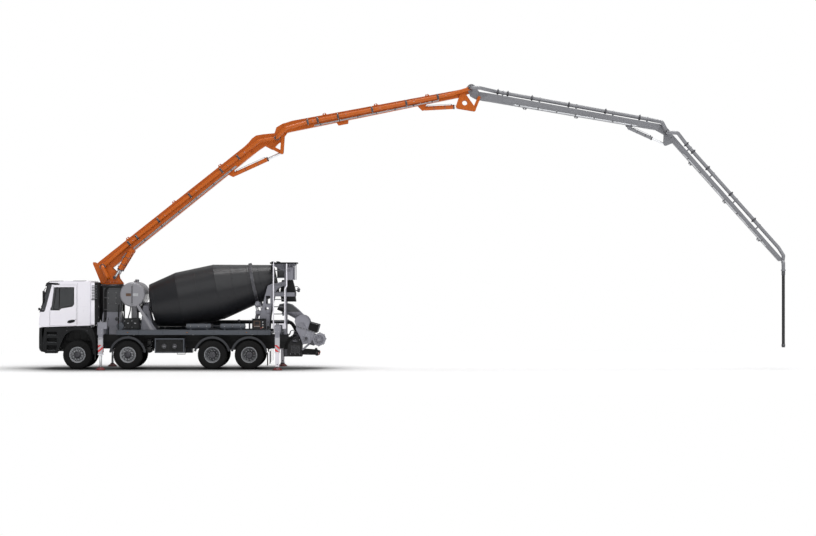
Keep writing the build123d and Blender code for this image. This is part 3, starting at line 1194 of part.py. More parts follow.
def rod(plane, reach, piston, radius, rod_r, pin_r, y=0.0):
    """Add a rod with its piston at the given place and its eye at reach."""
    plane = plane.offset(-y)
    inner = radius - 12 - RUN_GAP
    eye_r = pin_r + 22
    revolved(plane, [(piston, 0), (piston, inner), (piston + 36, inner), (piston + 36, rod_r),
                     (reach - eye_r + 12, rod_r), (reach - eye_r + 12, 0)])
    for size, mode in ((eye_r, Mode.ADD), (pin_r + RUN_GAP, Mode.SUBTRACT)):
        with BuildSketch(plane) as ring:
            with Locations((reach, 0)):
                Circle(size)
        extrude(ring.sketch.face(), amount=EYE_HALF, both=True, mode=mode)


# Name, section plane, hinge, eye, barrel length, barrel radius, rod radius, hinge pin, eye pin, piston place, y.
lift_eye_local = section_plane(0).to_local_coords(Vector(LIFT_EYE[0], 0, LIFT_EYE[1]))
RAMS = [
    ("lift", 0, LIFT_HINGE, (lift_eye_local.X, lift_eye_local.Y), 846, 90, 55, 50, 40, 310, (-LIFT_Y, LIFT_Y)),
    ("fold_2", 0, FOLD_2_HINGE, FOLD_2_EYE, 1450, 78, 48, LINK_PIN_R, 40, 1200, (0,)),
    ("fold_3", 1, FOLD_3_HINGE, FOLD_3_EYE, 1190, 78, 48, LINK_PIN_R, 40, 400, (0,)),
]
eye_4 = section_plane(3).from_local_coords(Vector(*FOLD_4_EYE, 0))
eye_4 = section_plane(2).to_local_coords(eye_4)
RAMS.append(("fold_4", 2, FOLD_4_HINGE, (eye_4.X, eye_4.Y), 950, 62, 38, 35, 32, 560, (0,)))

for name, index, hinge, eye, barrel_length, radius, rod_r, pin_r, eye_pin_r, piston, places in RAMS:
    ram, reach = ram_plane(section_plane(index), hinge, eye)
    with BuildPart() as cylinder:
        for y in places:
            barrel(ram, barrel_length, radius, rod_r, pin_r, y)
    save(cylinder, f"{name}_cylinder")
    with BuildPart() as piston_rod:
        for y in places:
            rod(ram, reach, piston, radius, rod_r, eye_pin_r, y)
    save(piston_rod, f"{name}_rod")

# ---------------------------------------------------------------- fold levers


def strap(plane, start, end, half_width, y0, y1, bored=None):
    """Add a pair of straight straps with round ends; bored is the radius of the hole at start."""
    angle = degrees(atan2(end[1] - start[1], end[0] - start[0]))
    points = [*arc_points(start, half_width, angle + 90, angle + 270, 8),
              *arc_points(end, half_width, angle - 90, angle + 90, 8)]
    plate(plane, points, y0, y1)
    if bored:
        disc(plane, start, bored, y0 - 5, y1 + 5, mode=Mode.SUBTRACT)


def between(start, end, share):
    """The place a share of the way from start to end."""
    return start[0] + (end[0] - start[0]) * share, start[1] + (end[1] - start[1]) * share


with BuildPart() as lever_2:
    plane = section_plane(0)
    strap(plane, LEVER_2_PIN, FOLD_2_EYE, 62, 95, 95 + PLATE_T, LINK_PIN_R + RUN_GAP)
    disc(plane, between(LEVER_2_PIN, FOLD_2_EYE, 0.5), 26, 0, 95 + PLATE_T)
    disc(plane, FOLD_2_EYE, 36, EYE_HALF + EYE_GAP, 100)
save(lever_2, "lever_2")

with BuildPart() as link_2:
    plane = section_plane(1)
    eye = section_plane(0).from_local_coords(Vector(*FOLD_2_EYE, 0))
    eye = plane.to_local_coords(eye)
    strap(plane, LINK_2_PIN, (eye.X, eye.Y), 60, 170, 170 + PLATE_T, LINK_PIN_R + RUN_GAP)
    disc(plane, between(LINK_2_PIN, (eye.X, eye.Y), 0.62), 26, 0, 170 + PLATE_T)
    disc(plane, (eye.X, eye.Y), 45, 95 + PLATE_T + EYE_GAP, 172)
save(link_2, "link_2")

with BuildPart() as lever_3:
    plane = section_plane(1)
    pin, eye, end = LEVER_3_PIN, FOLD_3_EYE, LINK_3_PIN
    plate(plane, [*arc_points(pin, 75, 20, 150, 5), *arc_points(eye, 70, 160, 260, 5),
                  *arc_points(end, 70, 255, 375, 5)], 175, 175 + PLATE_T)
    disc(plane, pin, LINK_PIN_R + RUN_GAP, 165, 210, mode=Mode.SUBTRACT)
    middle = (sum(p[0] for p in (pin, eye, end)) / 3, sum(p[1] for p in (pin, eye, end)) / 3)
    disc(plane, middle, 95, 165, 210, mode=Mode.SUBTRACT)
    disc(plane, end, LINK_PIN_R, 0, 175 + PLATE_T)
    disc(plane, eye, 36, EYE_HALF + EYE_GAP, 180)
save(lever_3, "lever_3")

with BuildPart() as link_3:
    plane = section_plane(1)
    strap(plane, LINK_3_PIN, LINK_3_END, 58, 140, 165, LINK_PIN_R + RUN_GAP)
save(link_3, "link_3")

# ---------------------------------------------------------------- outriggers
for name, leg_x, leg_y, beam_z in LEG_SETS:
    for letter, hand in (("l", -1), ("r", 1)):
        with BuildPart() as outrigger_beam:
            # Sliding box beam, leg head and the outer tube with its guide.
            inner_end = 700
            tube_z0 = 560 if name == "front" else 640
            head_z1 = beam_z + 150
            with Locations((leg_x, hand * (inner_end + leg_y - 90) / 2, beam_z)):
                Box(BEAM_W, leg_y - 90 - inner_end, BEAM_H)
                Box(BEAM_W - 20, leg_y - 70 - inner_end, BEAM_H - 20, mode=Mode.SUBTRACT)
            with Locations((leg_x, hand * leg_y, (tube_z0 + head_z1) / 2)):
                Box(LEG_W, LEG_W, head_z1 - tube_z0)
            with Locations((leg_x, hand * leg_y, beam_z)):
                Box(220, 220, BEAM_H + 60)
            with Locations((leg_x, hand * leg_y, (tube_z0 + head_z1) / 2 - 12)):
                Box(LEG_W - 24, LEG_W - 24, head_z1 - tube_z0 - 24, mode=Mode.SUBTRACT)
            if name == "front":
                # Swivel head, wider than the leg and above the beam.
                with Locations((leg_x + 65, hand * leg_y, beam_z + 200)):
                    Box(340, 200, 240)
                    Box(320, 180, 220, mode=Mode.SUBTRACT)
            with Locations((leg_x, hand * leg_y, tube_z0 + 15)):
                Box(LEG_W, LEG_W, 30)
                if name == "front":
                    Cylinder(JACK_R + RUN_GAP, 40, mode=Mode.SUBTRACT)
                else:
                    Box(REAR_JACK_W + 2 * RUN_GAP, REAR_JACK_W + 2 * RUN_GAP, 40, mode=Mode.SUBTRACT)
        save(outrigger_beam, f"outrigger_beam_{name}_{letter}")
        with BuildPart() as outrigger_leg:
            with Locations((leg_x, hand * leg_y, (30 + tube_z0 + 420) / 2)):
                if name == "front":
                    Cylinder(JACK_R, tube_z0 + 420 - 30)
                else:
                    Box(REAR_JACK_W, REAR_JACK_W, tube_z0 + 420 - 30)
            with Locations((leg_x, hand * leg_y, 20)):
                Cylinder(FOOT_R, 40)
            with Locations((leg_x, hand * leg_y, 75)):
                Cone(130, 60, 80)
        save(outrigger_leg, f"outrigger_leg_{name}_{letter}")

# ---------------------------------------------------------------- tip elbow and end hose
tip_x, tip_z = PIVOTS[4]
HOSE_TOP = tip_z - 330
ELBOW_Y = -300

with BuildPart() as hose_elbow:
    pipe([(tip_x, SWIVEL_Y[4] - FACE_GAP, tip_z), (tip_x, ELBOW_Y, tip_z), (tip_x, ELBOW_Y, HOSE_TOP + FACE_GAP)], 80)
    with Locations((tip_x, ELBOW_Y, HOSE_TOP + FACE_GAP + 30)):
        Cylinder(88, 60)
    with Locations((tip_x, ELBOW_Y, HOSE_TOP + 40)):
        Cylinder(HOSE_R - 10, 80, mode=Mode.SUBTRACT)
save(hose_elbow, "hose_elbow")

with BuildPart() as end_hose:
    pipe([(tip_x, ELBOW_Y, HOSE_TOP), (tip_x, ELBOW_Y, HOSE_TOP - HOSE_LEN)], 80, HOSE_R, 10)
save(end_hose, "end_hose")
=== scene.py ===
"""Looks of a concrete mixer truck with a pump and a four-section boom, around its packed frame.

Metres. The ground is z = 0, the cab faces -X and the boom's tip +X.
"""

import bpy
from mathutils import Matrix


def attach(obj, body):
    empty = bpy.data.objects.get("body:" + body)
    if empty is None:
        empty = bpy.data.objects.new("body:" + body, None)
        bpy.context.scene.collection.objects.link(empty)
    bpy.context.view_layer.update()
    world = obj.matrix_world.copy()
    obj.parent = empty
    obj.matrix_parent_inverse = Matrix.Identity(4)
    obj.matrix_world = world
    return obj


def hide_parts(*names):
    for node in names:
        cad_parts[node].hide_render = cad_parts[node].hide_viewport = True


bl_info = {
    "name": "Concrete Pump Truck",
    "version": (1, 0, 0),
    "blender": (4, 5, 0),
    "location": "View3D > Sidebar > Pump Truck",
    "description": "Wheels, cab, deck, pump and boom details of a concrete pump truck",
    "category": "Object",
}

from math import cos, pi, radians, sin

import bmesh
import bpy
from bpy.props import FloatProperty, FloatVectorProperty, IntProperty, PointerProperty
from mathutils import Matrix, Vector
from mathutils.geometry import delaunay_2d_cdt

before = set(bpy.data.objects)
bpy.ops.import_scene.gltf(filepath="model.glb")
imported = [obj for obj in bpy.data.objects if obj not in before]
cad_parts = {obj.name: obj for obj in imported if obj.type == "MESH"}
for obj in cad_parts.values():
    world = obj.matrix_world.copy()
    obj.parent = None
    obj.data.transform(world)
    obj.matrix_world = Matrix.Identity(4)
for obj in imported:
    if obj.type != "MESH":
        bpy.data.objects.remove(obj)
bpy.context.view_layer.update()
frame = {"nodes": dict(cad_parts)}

# ---------------------------------------------------------------- places on the frame
UP, DOWN = (0, 0, 1), (0, 0, -1)
AHEAD, BACK = (-1, 0, 0), (1, 0, 0)
LEFT, RIGHT = (0, -1, 0), (0, 1, 0)
ORIGIN = (0, 0, 0)

AXLE_X = (-12.47, -10.6, -7.47, -6.1)
AXLE_Z = 0.538
STEER_Y, TWIN_OUT_Y, TWIN_IN_Y = 1.035, 1.08, 0.745
TYRE_STEPS, RIM_STEPS = 72, 64

CAB_X0, CAB_X1 = -13.89, -11.96
CAB_SIDE = 1.2395  # half a millimetre inside the cab's wall
DECK_TOP = 1.4615
SLEW_X = -11.28
LIFT_PIN = Vector((-11.17, 0, 3.405))

BOOM_ANGLES = (36.5, 14.4, -12.8, -48.3)
BOOM_LENGTHS = (8.11, 7.5, 7.53, 6.5)
PINS = [Vector((-11.62, 0, 3.805))]
for reach, tilt in zip(BOOM_LENGTHS, BOOM_ANGLES):
    PINS.append(PINS[-1] + reach * Vector((cos(radians(tilt)), 0, sin(radians(tilt)))))
HOSE_TOP = PINS[4].z - 0.33
HOSE_LENGTH = 2.85

DRUM_TILT = radians(12)
DRUM_MID = Vector((-7.3, 0, 2.869))  # where the cylinder ends and the rear cone starts
DRUM_AXIS = Vector((cos(DRUM_TILT), 0, sin(DRUM_TILT)))
DRUM_RADIUS = 1.04
DRUM_RING_AT = 1.355

PLATFORM = (3.925, 3.955)  # underside and top of the rear platform
CHUTE_PIN_X = -4.86
SHAFT_X, SHAFT_Z = -4.0, 1.14  # the paddle shaft through the hopper
OUTLET_X, OUTLET_Z = -3.535, 1.085
LINE_Y, LINE_Z = 0.76, 1.725  # the delivery line along the truck
SILENCER_X = -9.88
RAIL_X = -10.96

LEGS = (("front_l", -11.515, -1.95), ("front_r", -11.515, 1.95), ("rear_l", -5.01, -2.08),
    ("rear_r", -5.01, 2.08))

CAMERA_PLACE = (-0.21, -99.25, 3.76)
FLOOR_RADIUS = 1200.0
SHARP_ANGLE = 32


def section(index):
    """Matrix of a boom section's own frame: x along it, y to the right side, z up from it."""
    return Matrix.Translation(PINS[index]) @ Matrix.Rotation(-radians(BOOM_ANGLES[index]), 4, "Y")


# ---------------------------------------------------------------- settings
def colour(label, value):
    return FloatVectorProperty(name=label, description=f"{label}, linear", subtype="COLOR", size=3,
        min=0.0, max=1.0, default=value)


def length(label, value, low=0.0, high=10.0):
    return FloatProperty(name=label, description=f"{label} in metres", unit="LENGTH", default=value,
        min=low, max=high)


def count(label, value, low=1, high=200):
    return IntProperty(name=label, description=f"{label}, a whole number", default=value, min=low,
        max=high)


class TruckPaint(bpy.types.PropertyGroup):
    """Colours of the painted and moulded parts."""
    cab: colour("Cab paint", (0.88, 0.86, 0.92))
    trim: colour("Moulded trim", (0.009, 0.0095, 0.0105))
    frame: colour("Chassis paint", (0.0085, 0.009, 0.01))
    deck: colour("Deck paint", (0.085, 0.094, 0.11))
    stand: colour("Stand paint", (0.235, 0.235, 0.27))
    column: colour("Column paint", (0.06, 0.062, 0.066))
    tank: colour("Tank paint", (0.25, 0.248, 0.27))
    hopper: colour("Hopper paint", (0.28, 0.28, 0.32))
    drum: colour("Drum paint", (0.0115, 0.012, 0.0145))
    orange: colour("Boom paint, lower sections", (0.53, 0.11, 0.006))
    silver: colour("Boom paint, upper sections", (0.225, 0.228, 0.245))
    warning: colour("Warning stripes", (0.62, 0.03, 0.035))


class TruckWheels(bpy.types.PropertyGroup):
    """Sizes of the tyres and rims."""
    tyre_radius: length("Tyre radius", 0.538)
    tyre_width: length("Tyre width", 0.3)
    rim_radius: length("Rim radius", 0.29)
    tread_depth: length("Tread depth", 0.016, 0.004, 0.03)
    blocks: count("Tread blocks round the tyre", 44, 12, 80)
    nuts: count("Wheel nuts", 10, 6, 12)
    holes: count("Hand holes", 10, 4, 12)


class TruckCab(bpy.types.PropertyGroup):
    """Sizes of the cab's fittings."""
    lamp_width: length("Head lamp width", 0.38)
    slats: count("Grille slats", 6, 2, 12)
    seal: length("Window seal width", 0.022)
    seat_width: length("Chair width", 0.5)


class TruckBoom(bpy.types.PropertyGroup):
    """Sizes of the boom's fittings."""
    line_radius: length("Hydraulic line radius", 0.014)
    coupling_width: length("Pipe coupling width", 0.075)
    hose_diameter: length("End hose diameter", 0.116)


class TruckDeck(bpy.types.PropertyGroup):
    """Sizes of the deck's fittings."""
    rail_height: length("Hand rail height", 0.9)
    rung_gap: length("Ladder rung gap", 0.27)


class TruckStage(bpy.types.PropertyGroup):
    """Floor, lights and camera."""
    floor: colour("Floor", (0.9, 0.9, 0.905))
    sky: FloatProperty(name="Sky", description="Strength of the even studio light", default=0.29,
        min=0.0, max=3.0)
    key: FloatProperty(name="Key", description="Strength of the overhead lamp", default=1.6,
        min=0.0, max=10.0)
    fill: FloatProperty(name="Fill", description="Strength of the side lamp", default=1.35, min=0.0,
        max=10.0)
    focal: FloatProperty(name="Focal length", description="Lens of the camera in mm", default=116.7,
        min=10.0, max=500.0)


# ---------------------------------------------------------------- finishes
class NodeTree:
    """A node tree that is built up node by node."""

    def __init__(self, tree):
        self.tree = tree
        self.tree.nodes.clear()

    def node(self, kind, settings=None, **values):
        made = self.tree.nodes.new("ShaderNode" + kind)
        for key, value in (settings or {}).items():
            setattr(made, key, value)
        for key, value in values.items():
            self.feed(made.inputs[key.replace("_", " ")], value)
        return made

    def feed(self, socket, value):
        if isinstance(value, bpy.types.NodeSocket):
            self.tree.links.new(value, socket)
        elif hasattr(socket.default_value, "__len__") and len(socket.default_value) == 4 and len(
                value) == 3:
            socket.default_value = (*value, 1.0)
        else:
            socket.default_value = value

    def blend(self, share, first, second):
        """Two shaders mixed by a share."""
        made = self.node("MixShader", Fac=share)
        self.feed(made.inputs[1], first.outputs[0])
        self.feed(made.inputs[2], second.outputs[0])
        return made.outputs[0]

    def math(self, operation, first, second=0.0):
        made = self.node("Math", {"operation": operation})
        self.feed(made.inputs[0], first)
        self.feed(made.inputs[1], second)
        return made.outputs[0]

    def product(self, first, second):
        return self.math("MULTIPLY", first, second)

    def span(self, value, low, high, to_low=0.0, to_high=1.0):
        made = self.node("MapRange", {"clamp": True})
        for index, given in enumerate((value, low, high, to_low, to_high)):
            self.feed(made.inputs[index], given)
        return made.outputs[0]


class Finish(NodeTree):
    """A procedural material."""

    def __init__(self, name):
        self.material = bpy.data.materials.new(name)
        self.material.use_nodes = True
        super().__init__(self.material.node_tree)
        self.shader = self.node("BsdfPrincipled")
        self.out = self.node("OutputMaterial", Surface=self.shader.outputs[0])
        self.place = self.node("TexCoord").outputs["Object"]

    def set(self, specular=0.5, **values):
        self.shader.inputs["Specular IOR Level"].default_value = specular
        for key, value in values.items():
            self.feed(self.shader.inputs[key.replace("_", " ")], value)
        return self

    def mix(self, share, first, second, blend="MIX"):
        made = self.node("Mix", {"data_type": "RGBA", "blend_type": blend})
        for index, given in ((0, share), (6, first), (7, second)):
            self.feed(made.inputs[index], given)
        return made.outputs[2]

    def times(self, tint, factor):
        return self.mix(1.0, tint, factor, "MULTIPLY")

    def noise(self, scale, detail=3.0, rough=0.5, stretch=None):
        place = self.place
        if stretch:
            place = self.node("Mapping", Vector=place, Scale=stretch).outputs[0]
        return self.node("TexNoise", Vector=place, Scale=scale, Detail=detail,
            Roughness=rough).outputs[0]

    def wave(self, direction, scale, **more):
        return self.node("TexWave", {"bands_direction": direction}, Vector=self.place, Scale=scale,
            **more).outputs[1]

    def axis(self, letter):
        return self.node("SeparateXYZ", Vector=self.place).outputs["XYZ".index(letter)]

    def bevel(self, width):
        return self.node("Bevel", {"samples": 4}, Radius=width).outputs[0]

    def edge(self, width):
        """1 on the edges of the mesh and 0 on its flats."""
        turn = self.node("VectorMath", {"operation": "DOT_PRODUCT"})
        self.feed(turn.inputs[0], self.bevel(width))
        self.feed(turn.inputs[1], self.node("NewGeometry").outputs["Normal"])
        return self.span(turn.outputs["Value"], 0.998, 0.86)

    def chips(self, width, scale):
        """Spots on the edges where the paint is rubbed off."""
        return self.product(self.edge(width), self.span(self.noise(scale, 4.0, 0.7), 0.5, 0.7))

    def relief(self, height, strength, distance=0.002, round_edges=0.0):
        bump = self.node("Bump", Strength=strength, Distance=distance, Height=height)
        if round_edges:
            self.feed(bump.inputs["Normal"], self.bevel(round_edges))
        self.feed(self.shader.inputs["Normal"], bump.outputs[0])
        return self

    def pick(self, letter, bands):
        """A colour that changes along one axis; bands are (up to, colour), lowest first."""
        place = self.axis(letter)
        made = bands[0][1]
        for (limit, _), (_, tint) in zip(bands, bands[1:]):
            made = self.mix(self.span(place, limit - 0.001, limit + 0.001), made, tint)
        return made


def paint(name, tint, rough=0.34, coat=0.25, tone=0.1, wear=0.35, worn=(0.45, 0.45, 0.46), dust=0.1,
        peel=0.05, gloss=0.5):
    """Sprayed paint: slight tone and gloss changes, orange peel, pale edges and road dust."""
    made = Finish(name)
    base = made.pick(*tint) if isinstance(tint[0], str) else tint
    cloud = made.span(made.noise(0.9, 5.0, 0.6), 0.35, 0.7, 0.0, tone)
    base = made.mix(cloud, base, made.times(base, (0.72, 0.72, 0.74)))
    base = made.mix(made.product(made.chips(0.008, 30.0), wear), base, worn)
    low = made.product(made.span(made.axis("Z"), 1.5, 0.2),
        made.span(made.noise(2.6, 6.0, 0.65), 0.4, 0.75))
    base = made.mix(made.product(low, dust), base, (0.2, 0.185, 0.165))
    made.set(gloss, Base_Color=base, Coat_Weight=coat, Coat_Roughness=0.12,
        Roughness=made.span(made.noise(6.0, 4.0), 0.2, 0.8, rough - 0.06, rough + 0.1))
    return made.relief(made.noise(420.0, 2.0), peel, 0.001, 0.006).material


def moulding(name, tint, rough=0.55, far=None):
    """Grained plastic with a leathery surface."""
    made = Finish(name)
    tint = made.pick(*tint) if isinstance(tint[0], str) else tint
    if far:
        tint = made.mix(made.span(made.axis("Y"), -0.001, 0.001), tint, far)
    pale = made.times(tint, (1.3, 1.3, 1.32))
    base = made.mix(made.span(made.noise(3.0, 4.0), 0.4, 0.75, 0.0, 0.35), tint, pale)
    base = made.mix(made.product(made.edge(0.01), 0.35), base, pale)
    grain = made.node("TexVoronoi", {"feature": "SMOOTH_F1"}, Vector=made.place,
        Scale=240.0).outputs["Distance"]
    made.set(0.22, Base_Color=base, Roughness=made.span(made.noise(9.0, 3.0), 0.2, 0.8,
        rough - 0.08, rough + 0.08))
    return made.relief(grain, 0.22, 0.001, 0.006).material


def metal(name, tint, rough=0.3, scratch=(1.0, 1.0, 1.0), grime=0.4, metallic=1.0, bump=0.08):
    """Bare or plated metal with fine scratches and grime in the hollows."""
    made = Finish(name)
    lines = made.noise(60.0, 6.0, 0.7, scratch)
    dirty = made.span(made.noise(4.0, 6.0, 0.65), 0.45, 0.8, 0.0, grime)
    base = made.mix(dirty, tint, made.times(tint, (0.35, 0.33, 0.31)))
    base = made.mix(made.product(made.edge(0.006), 0.4), base, (0.8, 0.8, 0.8))
    made.set(Base_Color=base, Metallic=metallic, Roughness=made.span(lines, 0.25, 0.8, rough - 0.08,
        rough + 0.16))
    return made.relief(lines, bump, 0.001, 0.004).material


def casting(name, tint, rough=0.62):
    """Cast or forged iron with a coarse skin and oily patches."""
    made = Finish(name)
    patch = made.span(made.noise(5.0, 5.0, 0.6), 0.42, 0.7)
    base = made.mix(patch, tint, made.times(tint, (0.5, 0.47, 0.44)))
    base = made.mix(made.product(made.edge(0.008), 0.3), base, (0.3, 0.3, 0.31))
    made.set(0.25, Base_Color=base, Metallic=0.35,
        Roughness=made.math("SUBTRACT", rough, made.product(patch, 0.2)))
    return made.relief(made.noise(130.0, 5.0, 0.65), 0.4, 0.002, 0.005).material


def tyre_rubber(name, tint):
    """Tyre rubber: dusty in the tread and matt on the wall."""
    made = Finish(name)
    base = made.mix(made.span(made.noise(7.0, 6.0, 0.7), 0.38, 0.75, 0.0, 0.45), tint,
        (0.02, 0.0195, 0.018))
    base = made.mix(made.product(made.edge(0.006), 0.3), base, (0.045, 0.044, 0.042))
    made.set(0.18, Base_Color=base, Roughness=made.span(made.noise(14.0, 4.0), 0.2, 0.8, 0.72,
        0.92))
    return made.relief(made.noise(300.0, 3.0), 0.25, 0.001).material


def hose_rubber(name, tint):
    """Hose rubber with the fine wrap marks of its making."""
    made = Finish(name)
    base = made.mix(made.span(made.noise(12.0, 5.0, 0.7), 0.5, 0.75, 0.0, 0.35), tint,
        (0.075, 0.073, 0.07))
    made.set(Base_Color=base, Roughness=made.span(made.noise(20.0), 0.3, 0.7, 0.5, 0.72))
    return made.relief(made.wave("Z", 22.0, Distortion=0.8, Detail=2.0), 0.25, 0.002).material


def pane(name, tint, see=0.5):
    """Tinted glass with a faint waviness and a film of dust."""
    made = Finish(name)
    base = made.mix(made.span(made.noise(5.0, 5.0, 0.6), 0.45, 0.85, 0.0, 0.1), tint,
        (0.3, 0.3, 0.3))
    made.set(Base_Color=base, Roughness=made.span(made.noise(3.0, 4.0), 0.3, 0.8, 0.02, 0.07),
        IOR=1.5, Transmission_Weight=see)
    return made.relief(made.noise(2.2, 1.0), 0.04, 0.004).material


def lens(name, tint, glow=0.0):
    """Lamp lens with moulded flutes."""
    made = Finish(name)
    flutes = made.wave("Y", 16.0)
    base = made.mix(made.span(flutes, 0.2, 0.8, 0.0, 0.35), tint, made.times(tint, (0.5, 0.5, 0.5)))
    made.set(Base_Color=base, Roughness=0.12, Coat_Weight=0.8, Coat_Roughness=0.03,
        Emission_Strength=glow)
    if glow:
        made.set(Emission_Color=tint)
    return made.relief(flutes, 0.35, 0.003).material


def cloth(name, tint):
    """Woven seat cloth."""
    made = Finish(name)
    weave = made.math("MAXIMUM", made.wave("Y", 150.0), made.wave("Z", 150.0))
    base = made.mix(made.span(weave, 0.3, 0.9, 0.0, 0.6), tint, made.times(tint, (2.2, 2.2, 2.3)))
    made.set(Base_Color=base, Roughness=0.88, Sheen_Weight=0.4, Sheen_Roughness=0.4)
    return made.relief(weave, 0.5, 0.001).material


def tread_plate(name, tint):
    """Walkway plate with raised lozenges that cross."""
    made = Finish(name)
    turned = made.node("Mapping", Vector=made.place, Rotation=(0, 0, 0.785)).outputs[0]
    bars = made.node("TexBrick", {"offset": 0.5}, Vector=turned, Scale=9.0, Mortar_Size=0.17,
        Brick_Width=0.42, Row_Height=0.16, Mortar_Smooth=0.3).outputs["Fac"]
    raised = made.math("SUBTRACT", 1.0, bars)
    base = made.mix(raised, tint, made.times(tint, (1.9, 1.9, 1.9)))
    made.set(Base_Color=base, Metallic=0.5, Roughness=made.span(made.noise(8.0, 4.0), 0.2, 0.8, 0.4,
        0.62))
    return made.relief(raised, 0.7, 0.003, 0.004).material


def striped(name, light, red, grey):
    """Leg paint: grey head, pale tube, and slanted red warning stripes low on it."""
    made = Finish(name)
    height = made.axis("Z")
    turn = made.span(made.axis("X"), -8.1, -8.0, 0.85, -0.85)
    slant = made.math("SUBTRACT", height,
        made.product(made.math("ADD", made.axis("X"), made.axis("Y")), turn))
    wave = made.math("FRACT", made.product(slant, 5.6))
    mask = made.product(made.span(wave, 0.49, 0.51), made.span(height, 0.664, 0.668))
    mask = made.product(mask, made.span(height, 0.934, 0.93))
    base = made.mix(mask, light, red)
    base = made.mix(made.span(height, 1.198, 1.202), base, grey)
    soil = made.product(made.span(height, 1.2, 0.1),
        made.span(made.noise(9.0, 6.0, 0.7), 0.45, 0.75, 0.0, 0.45))
    base = made.mix(soil, base, (0.16, 0.15, 0.14))
    base = made.mix(made.product(made.chips(0.006, 26.0), 0.4), base, (0.22, 0.21, 0.21))
    made.set(Base_Color=base, Coat_Weight=0.2, Coat_Roughness=0.15,
        Roughness=made.span(made.noise(6.0, 4.0), 0.2, 0.8, 0.34, 0.5))
    return made.relief(made.noise(420.0, 2.0), 0.05, 0.001, 0.006).material


FINISHES = {}


def make_finishes(tints):
    """Every finish by name."""
    FINISHES.update(
        white=paint("cab_white", tints.cab, 0.3, 0.5, 0.05, 0.1, (0.55, 0.55, 0.56), 0.1, 0.03),
        trim=moulding("moulded_trim", tints.trim),
        fairing=moulding("fairing_plastic",
            ("X", [(-11.965, tints.trim), (-11.825, tints.cab), (0.0, tints.trim)]),
            far=tints.trim),
        frame=paint("chassis_satin", tints.frame, 0.5, 0.0, 0.3, 0.2, (0.1, 0.1, 0.105), 0.12,
            gloss=0.22),
        deck=paint("deck_grey", ("Z", [(1.275, tints.frame), (9.0, tints.deck)]), 0.45, 0.0, 0.2,
            0.2, (0.22, 0.22, 0.23), 0.12, gloss=0.3),
        deck_plain=paint("deck_box_grey", tints.deck, 0.45, 0.0, 0.2, 0.2, (0.22, 0.22, 0.23),
            0.12, gloss=0.3),
        box=paint("box_black", tints.frame, 0.45, 0.05, 0.3, 0.25, (0.12, 0.12, 0.125), 0.1,
            gloss=0.3),
        stand=paint("stand_grey", tints.stand, 0.4, 0.15, 0.2, 0.3, (0.5, 0.5, 0.5), 0.2),
        column=paint("column_grey", ("Z", [(2.118, tints.stand), (9.0, tints.column)]), 0.4, 0.15,
            0.2, 0.3, (0.3, 0.3, 0.3), 0.1),
        tank=paint("tank_grey", tints.tank, 0.33, 0.3, 0.12, 0.25, (0.6, 0.6, 0.6), 0.1),
        hopper=paint("hopper_grey", tints.hopper, 0.42, 0.1, 0.35, 0.4, (0.55, 0.55, 0.55), 0.4),
        drum=paint("drum_charcoal", tints.drum, 0.4, 0.06, 0.3, 0.2, (0.06, 0.06, 0.065), 0.05,
            0.04, gloss=0.35),
        orange=paint("boom_orange", tints.orange, 0.36, 0.15, 0.22, 0.15, (0.7, 0.3, 0.1), 0.1,
            gloss=0.25),
        silver=paint("boom_silver", tints.silver, 0.34, 0.3, 0.35, 0.4, (0.66, 0.66, 0.67), 0.1),
        red=paint("foot_red", (0.19, 0.017, 0.02), 0.38, 0.2, 0.2, 0.5, (0.5, 0.28, 0.27), 0.5),
        stripes=striped("warning_stripes", (0.5, 0.5, 0.53), tints.warning, tints.stand),
        iron=casting("cast_iron", (0.055, 0.054, 0.053)),
        pump=casting("pump_body", (0.038, 0.038, 0.04), 0.5),
        steel=metal("bright_steel", (0.52, 0.53, 0.55), 0.32),
        dark_steel=metal("dark_steel", (0.1, 0.1, 0.11), 0.4, grime=0.6),
        rim=metal("rim_silver", (0.36, 0.37, 0.39), 0.3, grime=0.25, metallic=0.6),
        # The disc's darker grey is partly its own paint and partly painted shade of the recessed
        # dish.
        disc=metal("disc_grey_and_shade", (0.125, 0.13, 0.14), 0.42, grime=0.5, metallic=0.5),
        chrome=metal("rod_chrome", (0.78, 0.79, 0.81), 0.14, (1.0, 1.0, 14.0), 0.12, 1.0, 0.03),
        tyre=tyre_rubber("tyre_rubber", (0.009, 0.009, 0.0095)),
        rubber=tyre_rubber("seal_rubber", (0.012, 0.012, 0.013)),
        hose=hose_rubber("hose_rubber", (0.014, 0.014, 0.015)),
        glass=pane("cab_pane", (0.03, 0.034, 0.038), 0.35),
        mirror=metal("mirror_silver", (0.85, 0.86, 0.88), 0.1, grime=0.05, bump=0.0),
        lamp=lens("lamp_clear", (0.72, 0.74, 0.78)),
        amber=lens("lamp_amber", (0.85, 0.26, 0.01), 0.05),
        red_lamp=lens("lamp_red", (0.45, 0.008, 0.006), 0.05),
        cloth=cloth("seat_cloth", (0.022, 0.023, 0.026)),
        dash=moulding("dash_plastic", (0.02, 0.02, 0.022), 0.65),
        tread=tread_plate("walkway_plate", (0.1, 0.105, 0.115)),
        # The mudguard rims' paler grey is a painted highlight along the arches.
        guard=moulding("guard_rim_painted_highlight", (0.045, 0.047, 0.052), 0.5),
        copper=paint("panel_brown", (0.1, 0.052, 0.03), 0.4, 0.1, 0.2, 0.1, (0.2, 0.15, 0.12), 0.1),
        concrete=casting("dried_concrete", (0.3, 0.29, 0.275), 0.9),
    )


